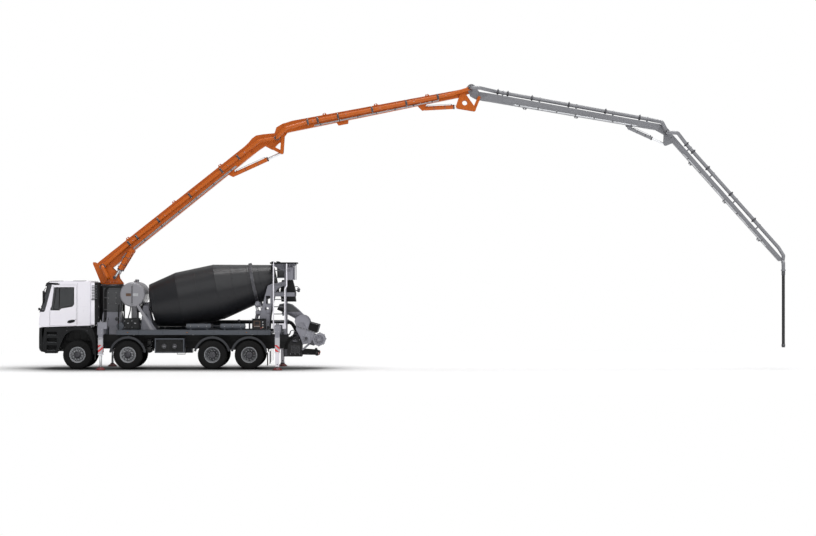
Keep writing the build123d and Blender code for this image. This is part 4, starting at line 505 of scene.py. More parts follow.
# The packed nodes that wear each finish.
NODE_FINISHES = {
    "white": ("cab_shell", "door_left", "door_right"),
    "fairing": ("cab_trim",),
    "trim": ("front_bumper", "mudguards"),
    "frame": ("chassis_frame",),
    "deck": ("subframe",),
    "deck_plain": ("equipment_boxes",),
    "stand": ("drum_stands", "rear_platform"),
    "column": ("pedestal",),
    "tank": ("water_tank",),
    "hopper": ("pump_hopper", "discharge_chute"),
    "drum": ("mixer_drum",),
    "orange": ("turret", "boom_1", "boom_2", "lift_cylinder", "fold_2_cylinder",
        "fold_3_cylinder", "lever_2", "link_2", "lever_3", "link_3"),
    "silver": ("boom_3", "boom_4", "fold_4_cylinder", "hose_elbow"),
    "iron": ("axles", "engine_block", "knuckle_1l", "knuckle_1r", "knuckle_2l", "knuckle_2r"),
    "pump": ("concrete_pump",),
    "chrome": ("lift_rod", "fold_2_rod", "fold_3_rod", "fold_4_rod"),
    "glass": ("cab_glass",),
    "dash": ("cab_interior",),
}


# ---------------------------------------------------------------- mesh tools
class Piece:
    """Collects shapes into one mesh; every shape takes the finish that was picked last."""

    def __init__(self, name, *finishes, frame_matrix=None):
        self.name = name
        self.finishes = list(finishes)
        self.mesh = bmesh.new()
        self.matrix = frame_matrix or Matrix.Identity(4)
        self.index = 0

    def use(self, finish):
        if finish not in self.finishes:
            self.finishes.append(finish)
        self.index = self.finishes.index(finish)
        return self

    def grid(self, rows, loop=True, cap=True, ends=False):
        """Faces between rows of points; loop joins each row's ends, cap closes the outer rows."""
        made = [[self.mesh.verts.new(self.matrix @ Vector(p)) for p in row] for row in rows]
        pairs = list(zip(made, made[1:]))
        if ends:
            pairs.append((made[-1], made[0]))
        for low, high in pairs:
            size = len(low)
            for k in range(size if loop else size - 1):
                after = (k + 1) % size
                self.face((low[k], low[after], high[after], high[k]))
        if cap and not ends:
            self.face(made[0][::-1])
            self.face(made[-1])
        return self

    def face(self, verts):
        kept = list(dict.fromkeys(verts))
        if len(kept) > 2:
            made = self.mesh.faces.new(kept)
            made.material_index = self.index
            made.smooth = True

    def flat(self, points):
        """One face through the points."""
        self.face([self.mesh.verts.new(p) for p in points])

    def block(self, low, high, cut=0.004):
        """A box between two corners, whose y may come in either order, with its edges cut off."""
        (x0, y0, z0), (x1, y1, z1) = low, high
        y0, y1 = sorted((y0, y1))
        c = min(cut, abs(x1 - x0) / 3, abs(y1 - y0) / 3, abs(z1 - z0) / 3)

        def ring(inset, z):
            a, b = x0 + inset, x1 - inset
            d, e = y0 + inset, y1 - inset
            return [(a + c, d, z), (b - c, d, z), (b, d + c, z), (b, e - c, z), (b - c, e, z),
                (a + c, e, z), (a, e - c, z), (a, d + c, z)]

        return self.grid([ring(c, z0), ring(0, z0 + c), ring(0, z1 - c), ring(c, z1)])

    def cube(self, middle, half, cut):
        """A box round a middle."""
        return self.block(middle - Vector(half), middle + Vector(half), cut)

    def prism(self, points, y0, y1, cut=0.003):
        """A side outline (x, z) made thick from y0 to y1, with its rims cut off."""
        n = len(points)
        mid = Vector((sum(p[0] for p in points) / n, sum(p[1] for p in points) / n))
        inner = []
        for k, p in enumerate(points):
            before, after = Vector(points[k - 1]), Vector(points[(k + 1) % n])
            into = ((before - Vector(p)).normalized() + (after - Vector(p)).normalized())
            if into.length < 1e-4:
                line = (after - before).normalized()
                into = Vector((-line.y, line.x))
                if into.dot(mid - Vector(p)) < 0:
                    into = -into
            inner.append(Vector(p) + into.normalized() * cut)
        step = cut if y1 > y0 else -cut
        rows = [[(q.x, y0, q.y) for q in inner], [(p[0], y0 + step, p[1]) for p in points],
            [(p[0], y1 - step, p[1]) for p in points], [(q.x, y1, q.y) for q in inner]]
        return self.grid(rows)

    def plate(self, outline, holes, y0, y1):
        """A flat side outline (x, z) with holes, made thick from y0 to y1."""
        loops = [outline, *holes]
        points, edges = [], []
        for loop in loops:
            first = len(points)
            points += [Vector(p) for p in loop]
            edges += [(first + k, first + (k + 1) % len(loop)) for k in range(len(loop))]
        spots, _, faces = delaunay_2d_cdt(points, edges, [], 0, 1e-6)[:3]
        kept = []
        for face in faces:
            mid = sum((spots[k] for k in face), Vector((0, 0))) / len(face)
            if within(mid, outline) and not any(within(mid, hole) for hole in holes):
                kept.append(face)
        for y in (y0, y1):
            verts = [self.mesh.verts.new(self.matrix @ Vector((p.x, y, p.y))) for p in spots]
            for face in kept:
                self.face([verts[k] for k in face])
        for loop in loops:
            self.grid([upright(loop, y0), upright(loop, y1)], cap=False)
        return self

    def lathe(self, profile, centre=ORIGIN, axis=RIGHT, steps=32):
        """Rings of (along, radius) about an axis, hollow if both ends of the profile step up."""
        (a0, r0), (a1, r1), (a2, r2), (a3, r3) = profile[0], profile[1], profile[-2], profile[-1]
        least = 0.4 * max(r for _, r in profile)
        ring = min(r0, r3) > least and r1 - r0 > 1.2 * abs(a1 - a0) and r2 - r3 > 1.2 * abs(a3 - a2)
        z = Vector(axis).normalized()
        spokes = around(z, steps)
        rows = [[Vector(centre) + z * along + spoke * max(radius, 1e-5) for spoke in spokes]
            for along, radius in profile]
        return self.grid(rows, ends=ring)

    def band(self, reach, inner, outer, centre, axis, steps):
        """A plain hoop; reach is half its width, or where it starts and ends along the axis."""
        start, end = reach if isinstance(reach, tuple) else (-reach, reach)
        return self.lathe([(start, inner), (start, outer), (end, outer), (end, inner)], centre,
            axis, steps)

    def rod(self, start, end, radius, steps=10, cut=0.15):
        """A round bar with slightly cut ends."""
        start, end = Vector(start), Vector(end)
        size = (end - start).length
        c = radius * cut
        return self.lathe([(0, radius - c), (c, radius), (size - c, radius), (size, radius - c)],
            start, end - start, steps)

    def bead(self, line, y, radius, cut=0.05):
        """Round bars along a side outline (x, z)."""
        for (xa, za), (xb, zb) in zip(line, line[1:]):
            self.rod((xa, y, za), (xb, y, zb), radius, 8, cut)
        return self

    def tube(self, points, radius, bend=0.08, steps=8, arc=5):
        """A round bar along points, with round bends."""
        spots = [Vector(p) for p in points]
        path = [spots[0]]
        for before, corner, after in zip(spots, spots[1:], spots[2:]):
            into, out = (before - corner), (after - corner)
            reach = min(bend, into.length * 0.45, out.length * 0.45)
            a, b = corner + into.normalized() * reach, corner + out.normalized() * reach
            for k in range(arc + 1):
                t = k / arc
                path.append(a * (1 - t) ** 2 + corner * 2 * t * (1 - t) + b * t ** 2)
        path.append(spots[-1])
        rows, normal = [], None
        for k, point in enumerate(path):
            way = (path[min(k + 1, len(path) - 1)] - path[max(k - 1, 0)]).normalized()
            normal = way.orthogonal() if normal is None else normal - way * normal.dot(way)
            normal.normalize()
            other = way.cross(normal)
            rows.append([point + (normal * cos(2 * pi * j / steps) + other
                * sin(2 * pi * j / steps)) * radius for j in range(steps)])
        return self.grid(rows)

    def nut(self, place, axis, radius=0.018, height=0.016, washer=True):
        """A hexagon head on a washer."""
        profile = [(0, radius * 1.35), (0.003, radius * 1.35), (0.0031, radius),
            (height * 0.8, radius), (height, radius * 0.8)]
        return self.lathe(profile if washer else profile[2:], place, axis, 6)

    def nuts(self, centre, axis, ring, many, radius=0.014, height=0.012):
        """Nuts round a circle."""
        for spoke in around(Vector(axis).normalized(), many):
            self.nut(Vector(centre) + spoke * ring, axis, radius, height)
        return self

    def done(self, body, slot=None, rim=0.0, replaces=()):
        """Makes the object and lets it ride on a body."""
        bmesh.ops.remove_doubles(self.mesh, verts=self.mesh.verts, dist=2e-5)
        bmesh.ops.dissolve_degenerate(self.mesh, edges=self.mesh.edges, dist=1e-5)
        bmesh.ops.recalc_face_normals(self.mesh, faces=self.mesh.faces)
        data = bpy.data.meshes.new(self.name)
        self.mesh.to_mesh(data)
        self.mesh.free()
        data.set_sharp_from_angle(angle=radians(SHARP_ANGLE))
        made = bpy.data.objects.new(self.name, data)
        bpy.context.scene.collection.objects.link(made)
        for finish in self.finishes:
            data.materials.append(FINISHES[finish])
        if rim:
            edge = made.modifiers.new("rim", "BEVEL")
            edge.width, edge.segments = rim, 2
            edge.limit_method, edge.angle_limit = "ANGLE", radians(40)
        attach(made, body)
        if replaces:
            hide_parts(*replaces)
        return made


def around(z, steps):
    """Unit spokes round an axis."""
    x = z.orthogonal().normalized()
    y = z.cross(x)
    turns = [2 * pi * k / steps for k in range(steps)]
    return [x * cos(turn) + y * sin(turn) for turn in turns]


def upright(line, y):
    """A side outline (x, z) as points at y."""
    return [(a, y, b) for a, b in line]


def facing(line, x):
    """A front outline (y, z) as points at x."""
    return [(x, a, b) for a, b in line]


def within(point, loop):
    """Whether a point lies inside a closed loop of points."""
    inside = False
    for (x0, z0), (x1, z1) in zip(loop, loop[1:] + loop[:1]):
        if (z0 > point.y) != (z1 > point.y) and point.x < (x1 - x0) * (point.y - z0) / (
                z1 - z0) + x0:
            inside = not inside
    return inside


def circle(radius, centre=(0.0, 0.0), steps=24):
    """Points (x, z) round a circle."""
    turns = [2 * pi * k / steps for k in range(steps)]
    return [(centre[0] + radius * cos(turn), centre[1] + radius * sin(turn)) for turn in turns]


def rounded(x0, z0, x1, z1, radius, steps=4):
    """Points (x, z) of a rectangle with round corners."""
    made = []
    for cx, cz, first in ((x1 - radius, z0 + radius, -90), (x1 - radius, z1 - radius, 0),
            (x0 + radius, z1 - radius, 90), (x0 + radius, z0 + radius, 180)):
        made += [(cx + radius * cos(radians(first + 90 * k / steps)),
            cz + radius * sin(radians(first + 90 * k / steps))) for k in range(steps + 1)]
    return made


# ---------------------------------------------------------------- operators
class StageMaker(bpy.types.Operator):
    """Make the floor, the lamps, the even sky and the camera"""
    bl_idname = "pump_truck.stage"
    bl_label = "Stage"

    def execute(self, context):
        given = context.scene.truck_stage
        scene = context.scene
        scene.view_settings.view_transform = "Standard"
        self.floor(given)
        self.world(scene, given)
        self.lamps(scene, given)
        lens_data = bpy.data.cameras.new("camera")
        lens_data.lens, lens_data.sensor_width = given.focal, 36.0
        lens_data.clip_start, lens_data.clip_end = 1.0, 3000.0
        camera = bpy.data.objects.new("camera", lens_data)
        camera.location = CAMERA_PLACE
        camera.rotation_euler = (pi / 2, 0, 0)
        scene.collection.objects.link(camera)
        scene.camera = camera
        return {"FINISHED"}

    def floor(self, given):
        """A wide round floor with a painted contact shadow under the truck; it turns as white as
        the sky far from the truck.
        """
        mesh = bmesh.new()
        bmesh.ops.create_circle(mesh, cap_ends=True, segments=96, radius=FLOOR_RADIUS)
        data = bpy.data.meshes.new("floor")
        mesh.to_mesh(data)
        mesh.free()
        floor = bpy.data.objects.new("floor", data)
        floor.location.z = -0.002
        bpy.context.scene.collection.objects.link(floor)
        made = Finish("studio_floor")
        # Painted contact shadow: the floor's colour darkens toward near black where the truck
        # stands close over it, standing in for the shade under a large soft lamp.
        open_sky = made.node("AmbientOcclusion", {"samples": 12, "only_local": False},
            Distance=3.2).outputs["AO"]
        near = made.math("POWER", open_sky, 3.2)
        made.set(0.2, Base_Color=made.mix(near, (0.02, 0.02, 0.02), tuple(given.floor)),
            Roughness=0.6)
        flat = made.node("VectorMath", {"operation": "MULTIPLY"})
        made.feed(flat.inputs[0], made.place)
        flat.inputs[1].default_value = (0.045, 0.07, 0.0)
        far = made.node("VectorMath", {"operation": "LENGTH"})
        made.feed(far.inputs[0], flat.outputs[0])
        seen = made.node("LightPath").outputs["Is Camera Ray"]
        share = made.product(made.span(far.outputs["Value"], 0.75, 1.5), seen)
        white = made.node("Emission", Color=(1.0, 1.0, 1.0), Strength=1.0)
        made.feed(made.out.inputs["Surface"], made.blend(share, made.shader, white))
        data.materials.append(made.material)

    def world(self, scene, given):
        """An even sky that is brighter overhead, and plain white to the camera."""
        sky = bpy.data.worlds.new("studio")
        sky.use_nodes = True
        tree = NodeTree(sky.node_tree)
        path = tree.node("LightPath").outputs
        seen = tree.math("MAXIMUM", path["Is Camera Ray"], path["Is Transmission Ray"])
        place = tree.node("SeparateXYZ", Vector=tree.node("TexCoord").outputs["Generated"])
        shade = tree.span(place.outputs["Z"], -0.2, 0.9, 0.35, 1.5)
        even = tree.node("Background", Color=shade, Strength=given.sky)
        white = tree.node("Background", Color=(1.0, 1.0, 1.0), Strength=1.0)
        tree.node("OutputWorld", Surface=tree.blend(seen, even, white))
        scene.world = sky

    def lamps(self, scene, given):
        for name, strength, spread, turn in (("key", given.key, 24, (-7, 0, -10)),
                ("side", given.fill, 60, (50, 0, 16)),
                ("back", given.fill * 0.25, 60, (-50, 0, -20))):
            lamp = bpy.data.lights.new(name, "SUN")
            lamp.energy, lamp.angle = strength, radians(spread)
            made = bpy.data.objects.new(name, lamp)
            made.rotation_euler = [radians(a) for a in turn]
            made.location = (0, 0, 20)
            scene.collection.objects.link(made)


class FinishMaker(bpy.types.Operator):
    """Make the finishes and give each packed node its own"""
    bl_idname = "pump_truck.finishes"
    bl_label = "Finishes"

    def execute(self, context):
        make_finishes(context.scene.truck_paint)
        for finish, nodes in NODE_FINISHES.items():
            for node in nodes:
                self.dress(frame["nodes"][node], FINISHES[finish])
        for where, *_ in LEGS:
            self.dress(frame["nodes"]["outrigger_beam_" + where], FINISHES["stripes"])
        # The panes of the doors are flat faces in the middle of the door's thickness.
        for node in ("door_left", "door_right"):
            data = frame["nodes"][node].data
            data.materials.append(FINISHES["glass"])
            for face in data.polygons:
                if abs(abs(face.normal.y) - 1) < 0.01 and 1.205 < abs(face.center.y) < 1.23:
                    face.material_index = 1
        return {"FINISHED"}

    def dress(self, made, finish):
        made.data.materials.clear()
        made.data.materials.append(finish)
        made.data.polygons.foreach_set("material_index", [0] * len(made.data.polygons))


class HoseMaker(bpy.types.Operator):
    """Make the end hose that hangs from the boom's tip"""
    bl_idname = "pump_truck.end_hose"
    bl_label = "End hose"

    def execute(self, context):
        given = context.scene.truck_boom
        tip_x, y = PINS[4].x, -0.3
        route = [(tip_x, y, HOSE_TOP - drop) for drop in (0.0, 0.9, 1.9, HOSE_LENGTH)]
        line = bpy.data.curves.new("end_hose_line", "CURVE")
        line.dimensions = "3D"
        spline = line.splines.new("NURBS")
        spline.points.add(len(route) - 1)
        for point, place in zip(spline.points, route):
            point.co = (*place, 1.0)
        spline.order_u = 3
        spline.use_endpoint_u = True
        line.resolution_u = 8
        line.bevel_depth = given.hose_diameter / 2
        line.bevel_resolution = 8
        line.use_fill_caps = True
        hose = bpy.data.objects.new("end_hose_line", line)
        context.scene.collection.objects.link(hose)
        line.materials.append(FINISHES["hose"])
        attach(hose, "hose_elbow")
        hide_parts("end_hose")
        ends = Piece("end_hose_cuffs", "dark_steel")
        radius = given.hose_diameter / 2
        for z, size in ((HOSE_TOP - 0.16, 0.15), (HOSE_TOP - HOSE_LENGTH + 0.02, 0.11)):
            steps = [(0, radius + 0.001), (0.004, radius + 0.009), (size - 0.004, radius + 0.009),
                (size, radius + 0.001)]
            ends.lathe(steps, (tip_x, y, z), UP, 28)
            for k in range(3):
                at = z + size * (0.2 + 0.3 * k)
                ends.lathe([(0, radius + 0.009), (0.004, radius + 0.014), (0.018, radius + 0.014),
                    (0.022, radius + 0.009)], (tip_x, y, at), UP, 28)
        cuffs = ends.done("hose_elbow", "rubber")
        return {"FINISHED"}


class WheelMaker(bpy.types.Operator):
    """Make the tyres with their tread, the rims, hubs and nuts"""
    bl_idname = "pump_truck.wheels"
    bl_label = "Wheels"

    def execute(self, context):
        given = context.scene.truck_wheels
        steer_tyre, twin_tyre = self.tyre(given, (STEER_Y,)), self.tyre(given,
            (TWIN_OUT_Y, TWIN_IN_Y))
        steer_rim, twin_rim = self.steer_rim(given), self.twin_rim(given)
        for number, x in enumerate(AXLE_X, 1):
            twin = number > 2
            for letter, turn in (("l", pi), ("r", 0.0)):
                body = f"wheel_{number}{letter}"
                place = Matrix.Translation((x, 0, AXLE_Z)) @ Matrix.Rotation(turn, 4, "Z")
                for label, data, slot in (("tyre", twin_tyre if twin else steer_tyre, "tyre"),
                        ("rim", twin_rim if twin else steer_rim, "cast_iron")):
                    made = bpy.data.objects.new(f"{label}_{number}{letter}", data)
                    context.scene.collection.objects.link(made)
                    made.matrix_world = place
                    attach(made, body)
                    if label == "rim":
                        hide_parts(body)
        return {"FINISHED"}

    def mesh_of(self, piece):
        """The mesh alone, for wheels that share it; its axle is the local y axis, facing +Y."""
        made = piece.done("chassis")
        data = made.data
        bpy.data.objects.remove(made)
        return data

    def spin(self, piece, ring, steps):
        """A closed ring of (y, radius) turned about the axle."""
        turns = [2 * pi * k / steps for k in range(steps)]
        piece.grid([[(r * sin(a), y, r * cos(a)) for y, r in ring] for a in turns], ends=True)

    def tyre(self, given, middles):
        piece = Piece("tyre", "tyre")
        outer, half, rim = given.tyre_radius, given.tyre_width / 2, given.rim_radius
        base = outer - given.tread_depth
        for mid in middles:
            wall = [(half - 0.034, rim + 0.001), (half - 0.02, rim + 0.012),
                (half - 0.01, rim + 0.03), (half - 0.012, rim + 0.034), (half - 0.002, rim + 0.075),
                (half, rim + 0.11), (half - 0.003, rim + 0.114), (half - 0.003, rim + 0.14),
                (half, rim + 0.144), (half - 0.006, rim + 0.18), (half - 0.016, base - 0.018),
                (half - 0.034, base)]
            ring = [(mid - a, r) for a, r in wall] + [(mid + a, r) for a, r in reversed(wall)]
            ring += [(mid + half - 0.05, rim + 0.02), (mid - half + 0.05, rim + 0.02), ring[0]]
            self.spin(piece, ring[:-1], TYRE_STEPS)
            self.tread(piece, mid, base, outer, given.blocks)
        return self.mesh_of(piece)

    def tread(self, piece, mid, base, outer, blocks):
        """Shoulder lugs that wrap over the wall, and three staggered rows of centre blocks."""
        pitch = 2 * pi / blocks
        low = base - 0.004
        for k in range(blocks):
            for side in (-1, 1):
                a = pitch * (k + (0.5 if side > 0 else 0.0))
                corners = ((0.063, outer, low), (0.112, outer - 0.002, low),
                    (0.143, outer - 0.04, low - 0.038))
                rows = []
                for lean, (y, top, bottom) in zip((0.05, 0.0, 0.02), corners):
                    b, c = a - pitch * (0.3 - lean), a + pitch * (0.3 + lean)
                    rows.append([(r * sin(t), mid + side * y, r * cos(t))
                        for t, r in ((b, bottom), (b + 0.006, top), (c - 0.006, top), (c, bottom))])
                piece.grid(rows)
            for y, width, shift in ((-0.042, 0.032, 0.25), (0.0, 0.034, 0.75),
                    (0.042, 0.032, 0.25)):
                a = pitch * (k + shift)
                rows = []
                for edge, lean in ((-0.5, -0.06), (0.5, 0.06)):
                    b, c = a - pitch * (0.36 - lean), a + pitch * (0.36 + lean)
                    rows.append([(r * sin(t), mid + y + edge * width, r * cos(t))
                        for t, r in ((b, low), (b + 0.005, outer), (c - 0.005, outer), (c, low))])
                piece.grid(rows)

    def dish(self, piece, y, thick, inner, outer, holes, ring, size):
        """A flat wheel disc with round hand holes."""
        loops = [circle(inner, steps=48)]
        loops += [circle(size, (ring * cos(2 * pi * k / holes), ring * sin(2 * pi * k / holes)), 14)
            for k in range(holes)]
        # The disc is darker than the rim: partly its own paint, partly painted shade of the
        # recessed dish.
        piece.use("disc").plate(circle(outer, steps=RIM_STEPS), loops, y, y + thick)
        piece.use("rim")
        for k in range(holes):
            a = 2 * pi * k / holes
            piece.lathe([(thick - 0.002, size + 0.001), (thick + 0.002, size + 0.003),
                (thick + 0.002, size + 0.007), (thick - 0.002, size + 0.009)],
                (ring * cos(a), y, ring * sin(a)), RIGHT, 14)

    def barrel(self, piece, given, mid, lip, back):
        """The rim's well with a rolled flange on both edges."""
        rim = given.rim_radius
        profile = [(mid + lip, rim - 0.002), (mid + lip + 0.006, rim + 0.01),
            (mid + lip + 0.012, rim + 0.004), (mid + lip + 0.01, rim - 0.016),
            (mid + lip - 0.012, rim - 0.026), (mid + 0.05, rim - 0.034), (mid + 0.02, rim - 0.06),
            (mid - 0.05, rim - 0.06), (mid - back, rim - 0.026), (mid - back - 0.004, rim - 0.006),
            (mid - back, rim - 0.002), (mid - 0.05, rim - 0.046), (mid + 0.02, rim - 0.046)]
        self.spin(piece, profile, RIM_STEPS)

    def steer_rim(self, given):
        piece = Piece("rim_steer", "rim")
        face = STEER_Y + 0.072
        self.barrel(piece, given, STEER_Y, 0.118, 0.118)
        self.dish(piece, face, 0.014, 0.115, 0.262, given.holes, 0.218, 0.028)
        piece.lathe([(face - 0.03, 0.25), (face - 0.03, 0.262), (face + 0.018, 0.262),
            (face + 0.018, 0.252)], ORIGIN, RIGHT, RIM_STEPS)
        piece.use("steel").nuts((0, face + 0.014, 0), RIGHT, 0.1675, given.nuts, 0.016, 0.026)
        piece.use("dark_steel")
        piece.lathe([(STEER_Y - 0.06, 0.09), (face, 0.135), (face + 0.022, 0.135),
            (face + 0.03, 0.118), (face + 0.06, 0.105), (face + 0.085, 0.098), (face + 0.093, 0.07),
            (face + 0.094, 0.0)], steps=40)
        piece.nuts((0, face + 0.03, 0), RIGHT, 0.112, 8, 0.007, 0.007)
        self.drum(piece, STEER_Y - 0.1)
        return self.mesh_of(piece)

    def twin_rim(self, given):
        piece = Piece("rim_twin", "rim")
        face = (TWIN_OUT_Y + TWIN_IN_Y) / 2 + 0.006
        self.barrel(piece, given, TWIN_OUT_Y, 0.118, 0.118)
        self.barrel(piece, given, TWIN_IN_Y, 0.118, 0.118)
        self.dish(piece, face, 0.014, 0.115, 0.236, given.holes, 0.199, 0.026)
        self.dish(piece, face - 0.022, 0.014, 0.115, 0.236, given.holes, 0.199, 0.026)
        for low, high in ((face, TWIN_OUT_Y - 0.05), (TWIN_IN_Y + 0.05, face - 0.01)):
            piece.band((low, high), 0.23, 0.244, ORIGIN, RIGHT, RIM_STEPS)
        piece.use("steel").nuts((0, face + 0.014, 0), RIGHT, 0.1675, given.nuts, 0.016, 0.026)
        piece.use("dark_steel")
        piece.lathe([(TWIN_IN_Y - 0.1, 0.1), (face, 0.14), (face + 0.055, 0.14),
            (face + 0.06, 0.15), (face + 0.075, 0.15), (face + 0.08, 0.138), (face + 0.165, 0.13),
            (face + 0.18, 0.118), (face + 0.184, 0.05), (face + 0.195, 0.045), (face + 0.197, 0.0)],
            steps=40)
        piece.nuts((0, face + 0.181, 0), RIGHT, 0.095, 10, 0.008, 0.009)
        piece.nuts((0, face + 0.075, 0), RIGHT, 0.144, 12, 0.005, 0.006)
        self.drum(piece, TWIN_IN_Y - 0.12)
        return self.mesh_of(piece)

    def drum(self, piece, y):
        """Brake drum behind the disc, with cooling ribs."""
        piece.use("iron")
        profile = [(y, 0.212), (y + 0.002, 0.222)]
        for k in range(5):
            at = y + 0.02 + 0.022 * k
            profile += [(at, 0.216), (at + 0.004, 0.224), (at + 0.012, 0.224), (at + 0.016, 0.216)]
        profile += [(y + 0.15, 0.21), (y + 0.152, 0.1)]
        piece.lathe(profile, ORIGIN, RIGHT, 48)


class CabMaker(bpy.types.Operator):
    """Make the windows' seals, lamps, grille, wipers, mirrors, handles and steps of the cab"""
    bl_idname = "pump_truck.cab"
    bl_label = "Cab fittings"

    def execute(self, context):
        given = context.scene.truck_cab
        self.screen(given)
        self.wipers()
        self.grille(given)
        self.lamps(given)
        self.steps()
        self.roof()
        self.back_panel()
        for hand in (-1, 1):
            self.mirrors(hand)
            self.door(hand)
        return {"FINISHED"}

    def slope(self, y, along, out):
        """A point on the windscreen's plane: along it from its foot, and out from the wall."""
        foot, way = Vector((-13.83, 0, 2.2)), Vector((0.27, 0, 1.0)).normalized()
        return foot + way * along + Vector((-way.z, 0, way.x)) * out + Vector((0, y, 0))

    def screen(self, given):
        """The bowed windscreen in its rubber, with the dark cowl below it."""
        pane_piece = Piece("windscreen", "glass")
        rows = []
        for i in range(13):
            v = i / 12
            row = []
            for j in range(25):
                u = j / 24 * 2 - 1
                bow = 0.012 * (1 - u * u) + 0.006 * (1 - (2 * v - 1) ** 2)
                row.append(self.slope(u * 1.118, 0.052 + v * 0.912, -0.016 + bow))
            rows.append(row)
        pane_piece.grid(rows, loop=False, cap=False)
        glass = pane_piece.done("cab", "glass", replaces=("cab_glass",))
        thick = glass.modifiers.new("thick", "SOLIDIFY")
        thick.thickness = 0.008
        rubber = Piece("windscreen_seal", "rubber", "trim")
        w = given.seal
        ring = [rounded(-half, low, half, 1.016 - low, corner, 5)
            for half, low, corner in ((1.13, 0.04, 0.06), (1.13 - w, 0.04 + w, 0.06 - w))]
        rows = [[self.slope(y, a, -0.02) for y, a in ring[0]],
            [self.slope(y, a, 0.006) for y, a in ring[0]],
            [self.slope(y, a, 0.01) for y, a in [(y * 0.995, 0.5 + (a - 0.5) * 0.99)
            for y, a in ring[0]]], [self.slope(y, a, 0.004) for y, a in ring[1]],
            [self.slope(y, a, -0.02) for y, a in ring[1]]]
        rubber.grid(rows, cap=False)
        # Dark cowl below the screen.
        rubber.use("trim")
        rows = []
        for along, out in ((-0.1, -0.01), (-0.1, 0.016), (-0.04, 0.026), (0.035, 0.016),
                (0.04, -0.01)):
            rows.append([self.slope(y, along, out) for y in (-1.17, -0.6, 0.0, 0.6, 1.17)])
        rubber.grid(rows, loop=False, cap=False)
        rubber.done("cab", "rubber")

    def wipers(self):
        piece = Piece("wipers", "trim", "rubber")
        for start, tip in ((-0.75, -0.05), (0.1, 0.8), (0.95, 0.25)):
            a, b = self.slope(start, 0.03, 0.024), self.slope((start + tip) / 2, 0.11, 0.036)
            middle = self.slope((start + tip) / 2 + 0.05, 0.1, 0.03)
            piece.use("trim").lathe([(0, 0.024), (0.028, 0.022), (0.032, 0.014)],
                a - Vector((0.0, 0, 0.01)), (-1, 0, 0.27), 16)
            piece.tube([a, b, middle], 0.007, 0.05)
            piece.tube([self.slope(middle.y - 0.33, 0.075, 0.026), middle + Vector((-0.006, 0, 0)),
                self.slope(middle.y + 0.33, 0.125, 0.026)], 0.006, 0.2, 6)
            piece.use("rubber")
            rows = []
            for t in (-0.34, 0.34):
                p = self.slope(middle.y + t, 0.1 + t * 0.076, 0.018)
                rows.append([p + Vector(d) for d in ((0, 0, -0.01), (-0.006, 0, 0), (0, 0, 0.01),
                    (0.008, 0, 0))])
            piece.grid(rows)
        piece.done("cab", "dark_plastic")

    def grille(self, given):
        """Dark front panel with slats, set in the cab's nose, with a plain bar across."""
        piece = Piece("front_grille", "trim", "dark_steel")
        front = CAB_X0 + 0.0002

        def wall(z, out=0.002):
            lean = 0.01 * (1.8 - z) / 0.24 if z < 1.8 else 0.06 * (z - 1.8) / 0.4
            return max(CAB_X0 + lean - out, front + 0.0004)
        outline, inner = rounded(-0.93, 1.63, 0.93, 2.1, 0.06, 5), rounded(-0.88, 1.68, 0.88, 2.05,
            0.05, 5)
        piece.grid([[(wall(z, -0.02), y, z) for y, z in outline],
            [(wall(z, 0.003) - 0.0003, y, z) for y, z in outline],
            [(front, y * 0.992, 1.865 + (z - 1.865) * 0.98) for y, z in outline],
            facing(inner, front), [(wall(z), y * 0.995, z) for y, z in inner]], cap=False)
        for low, high in ((1.68, 1.8), (1.8, 2.05)):
            piece.flat([(wall(z), y, z) for y, z in ((-0.87, low), (0.87, low), (0.87, high),
                (-0.87, high))])
        gap = 0.37 / given.slats
        for k in range(given.slats):
            z = 1.69 + gap * (k + 0.45)
            row = [(wall(z - 0.014), z - 0.014), (front, z - 0.012), (front, z + 0.008),
                (wall(z + 0.016), z + 0.016)]
            piece.grid([upright(row, y) for y in (-0.87, -0.3, 0.3, 0.87)])
        piece.use("dark_steel")
        for y in (-0.45, 0.0, 0.45):
            piece.prism([(front, 1.81), (front, 2.05), (wall(2.05), 2.05)], y - 0.012, y + 0.012)
        piece.done("cab", "dark_plastic")

    def lamps(self, given):
        """Head lamps in the bumper's corners with two round reflectors each and fog lamps."""
        dark, clear = Piece("lamp_bowls", "trim", "mirror", "amber"), Piece("lamp_glasses", "lamp")
        x, w = -13.872, given.lamp_width
        for hand in (-1, 1):
            y0, y1 = hand * (1.14 - w), hand * 1.14
            low, high = min(y0, y1), max(y0, y1)
            frame_line = rounded(low, 0.93, high, 1.17, 0.05, 5)
            mid = ((low + high) / 2, 1.05)
            inner = [(mid[0] + (a - mid[0]) * 0.92, mid[1] + (b - mid[1]) * 0.88)
                for a, b in frame_line]
            dark.use("trim").grid([facing(frame_line, x + 0.01), facing(frame_line, x - 0.01),
                facing(inner, x - 0.014), facing(inner, x + 0.004)], cap=False)
            dark.flat(facing(inner, x + 0.002))
            for k in (-1, 1):
                centre = (x + 0.001, mid[0] + k * w * 0.23, 1.05)
                dark.use("mirror").lathe([(0, 0.03), (0.002, 0.034), (0.01, 0.07), (0.012, 0.074),
                    (0.008, 0.078)], centre, AHEAD, 28)
                dark.lathe([(0.0, 0.024), (0.01, 0.022), (0.013, 0.012), (0.014, 0.0)], centre,
                    AHEAD, 20)
            dark.use("amber").block((x - 0.012, low + 0.02 if hand < 0 else high - 0.05, 0.955),
                (x + 0.004, low + 0.05 if hand < 0 else high - 0.02, 1.145), 0.008)
            clear.grid([facing(inner, x - 0.011),
                [(x - 0.017, mid[0] + (a - mid[0]) * 0.9, mid[1] + (b - mid[1]) * 0.85)
                for a, b in inner]])
            fog = (x + 0.004, hand * 0.88, 0.78)
            dark.use("trim").lathe([(0, 0.075), (0.012, 0.078), (0.016, 0.07), (0.01, 0.062),
                (0.004, 0.06)], fog, AHEAD, 28)
            dark.use("mirror").lathe([(0.002, 0.02), (0.006, 0.045), (0.01, 0.06)], fog, AHEAD, 28)
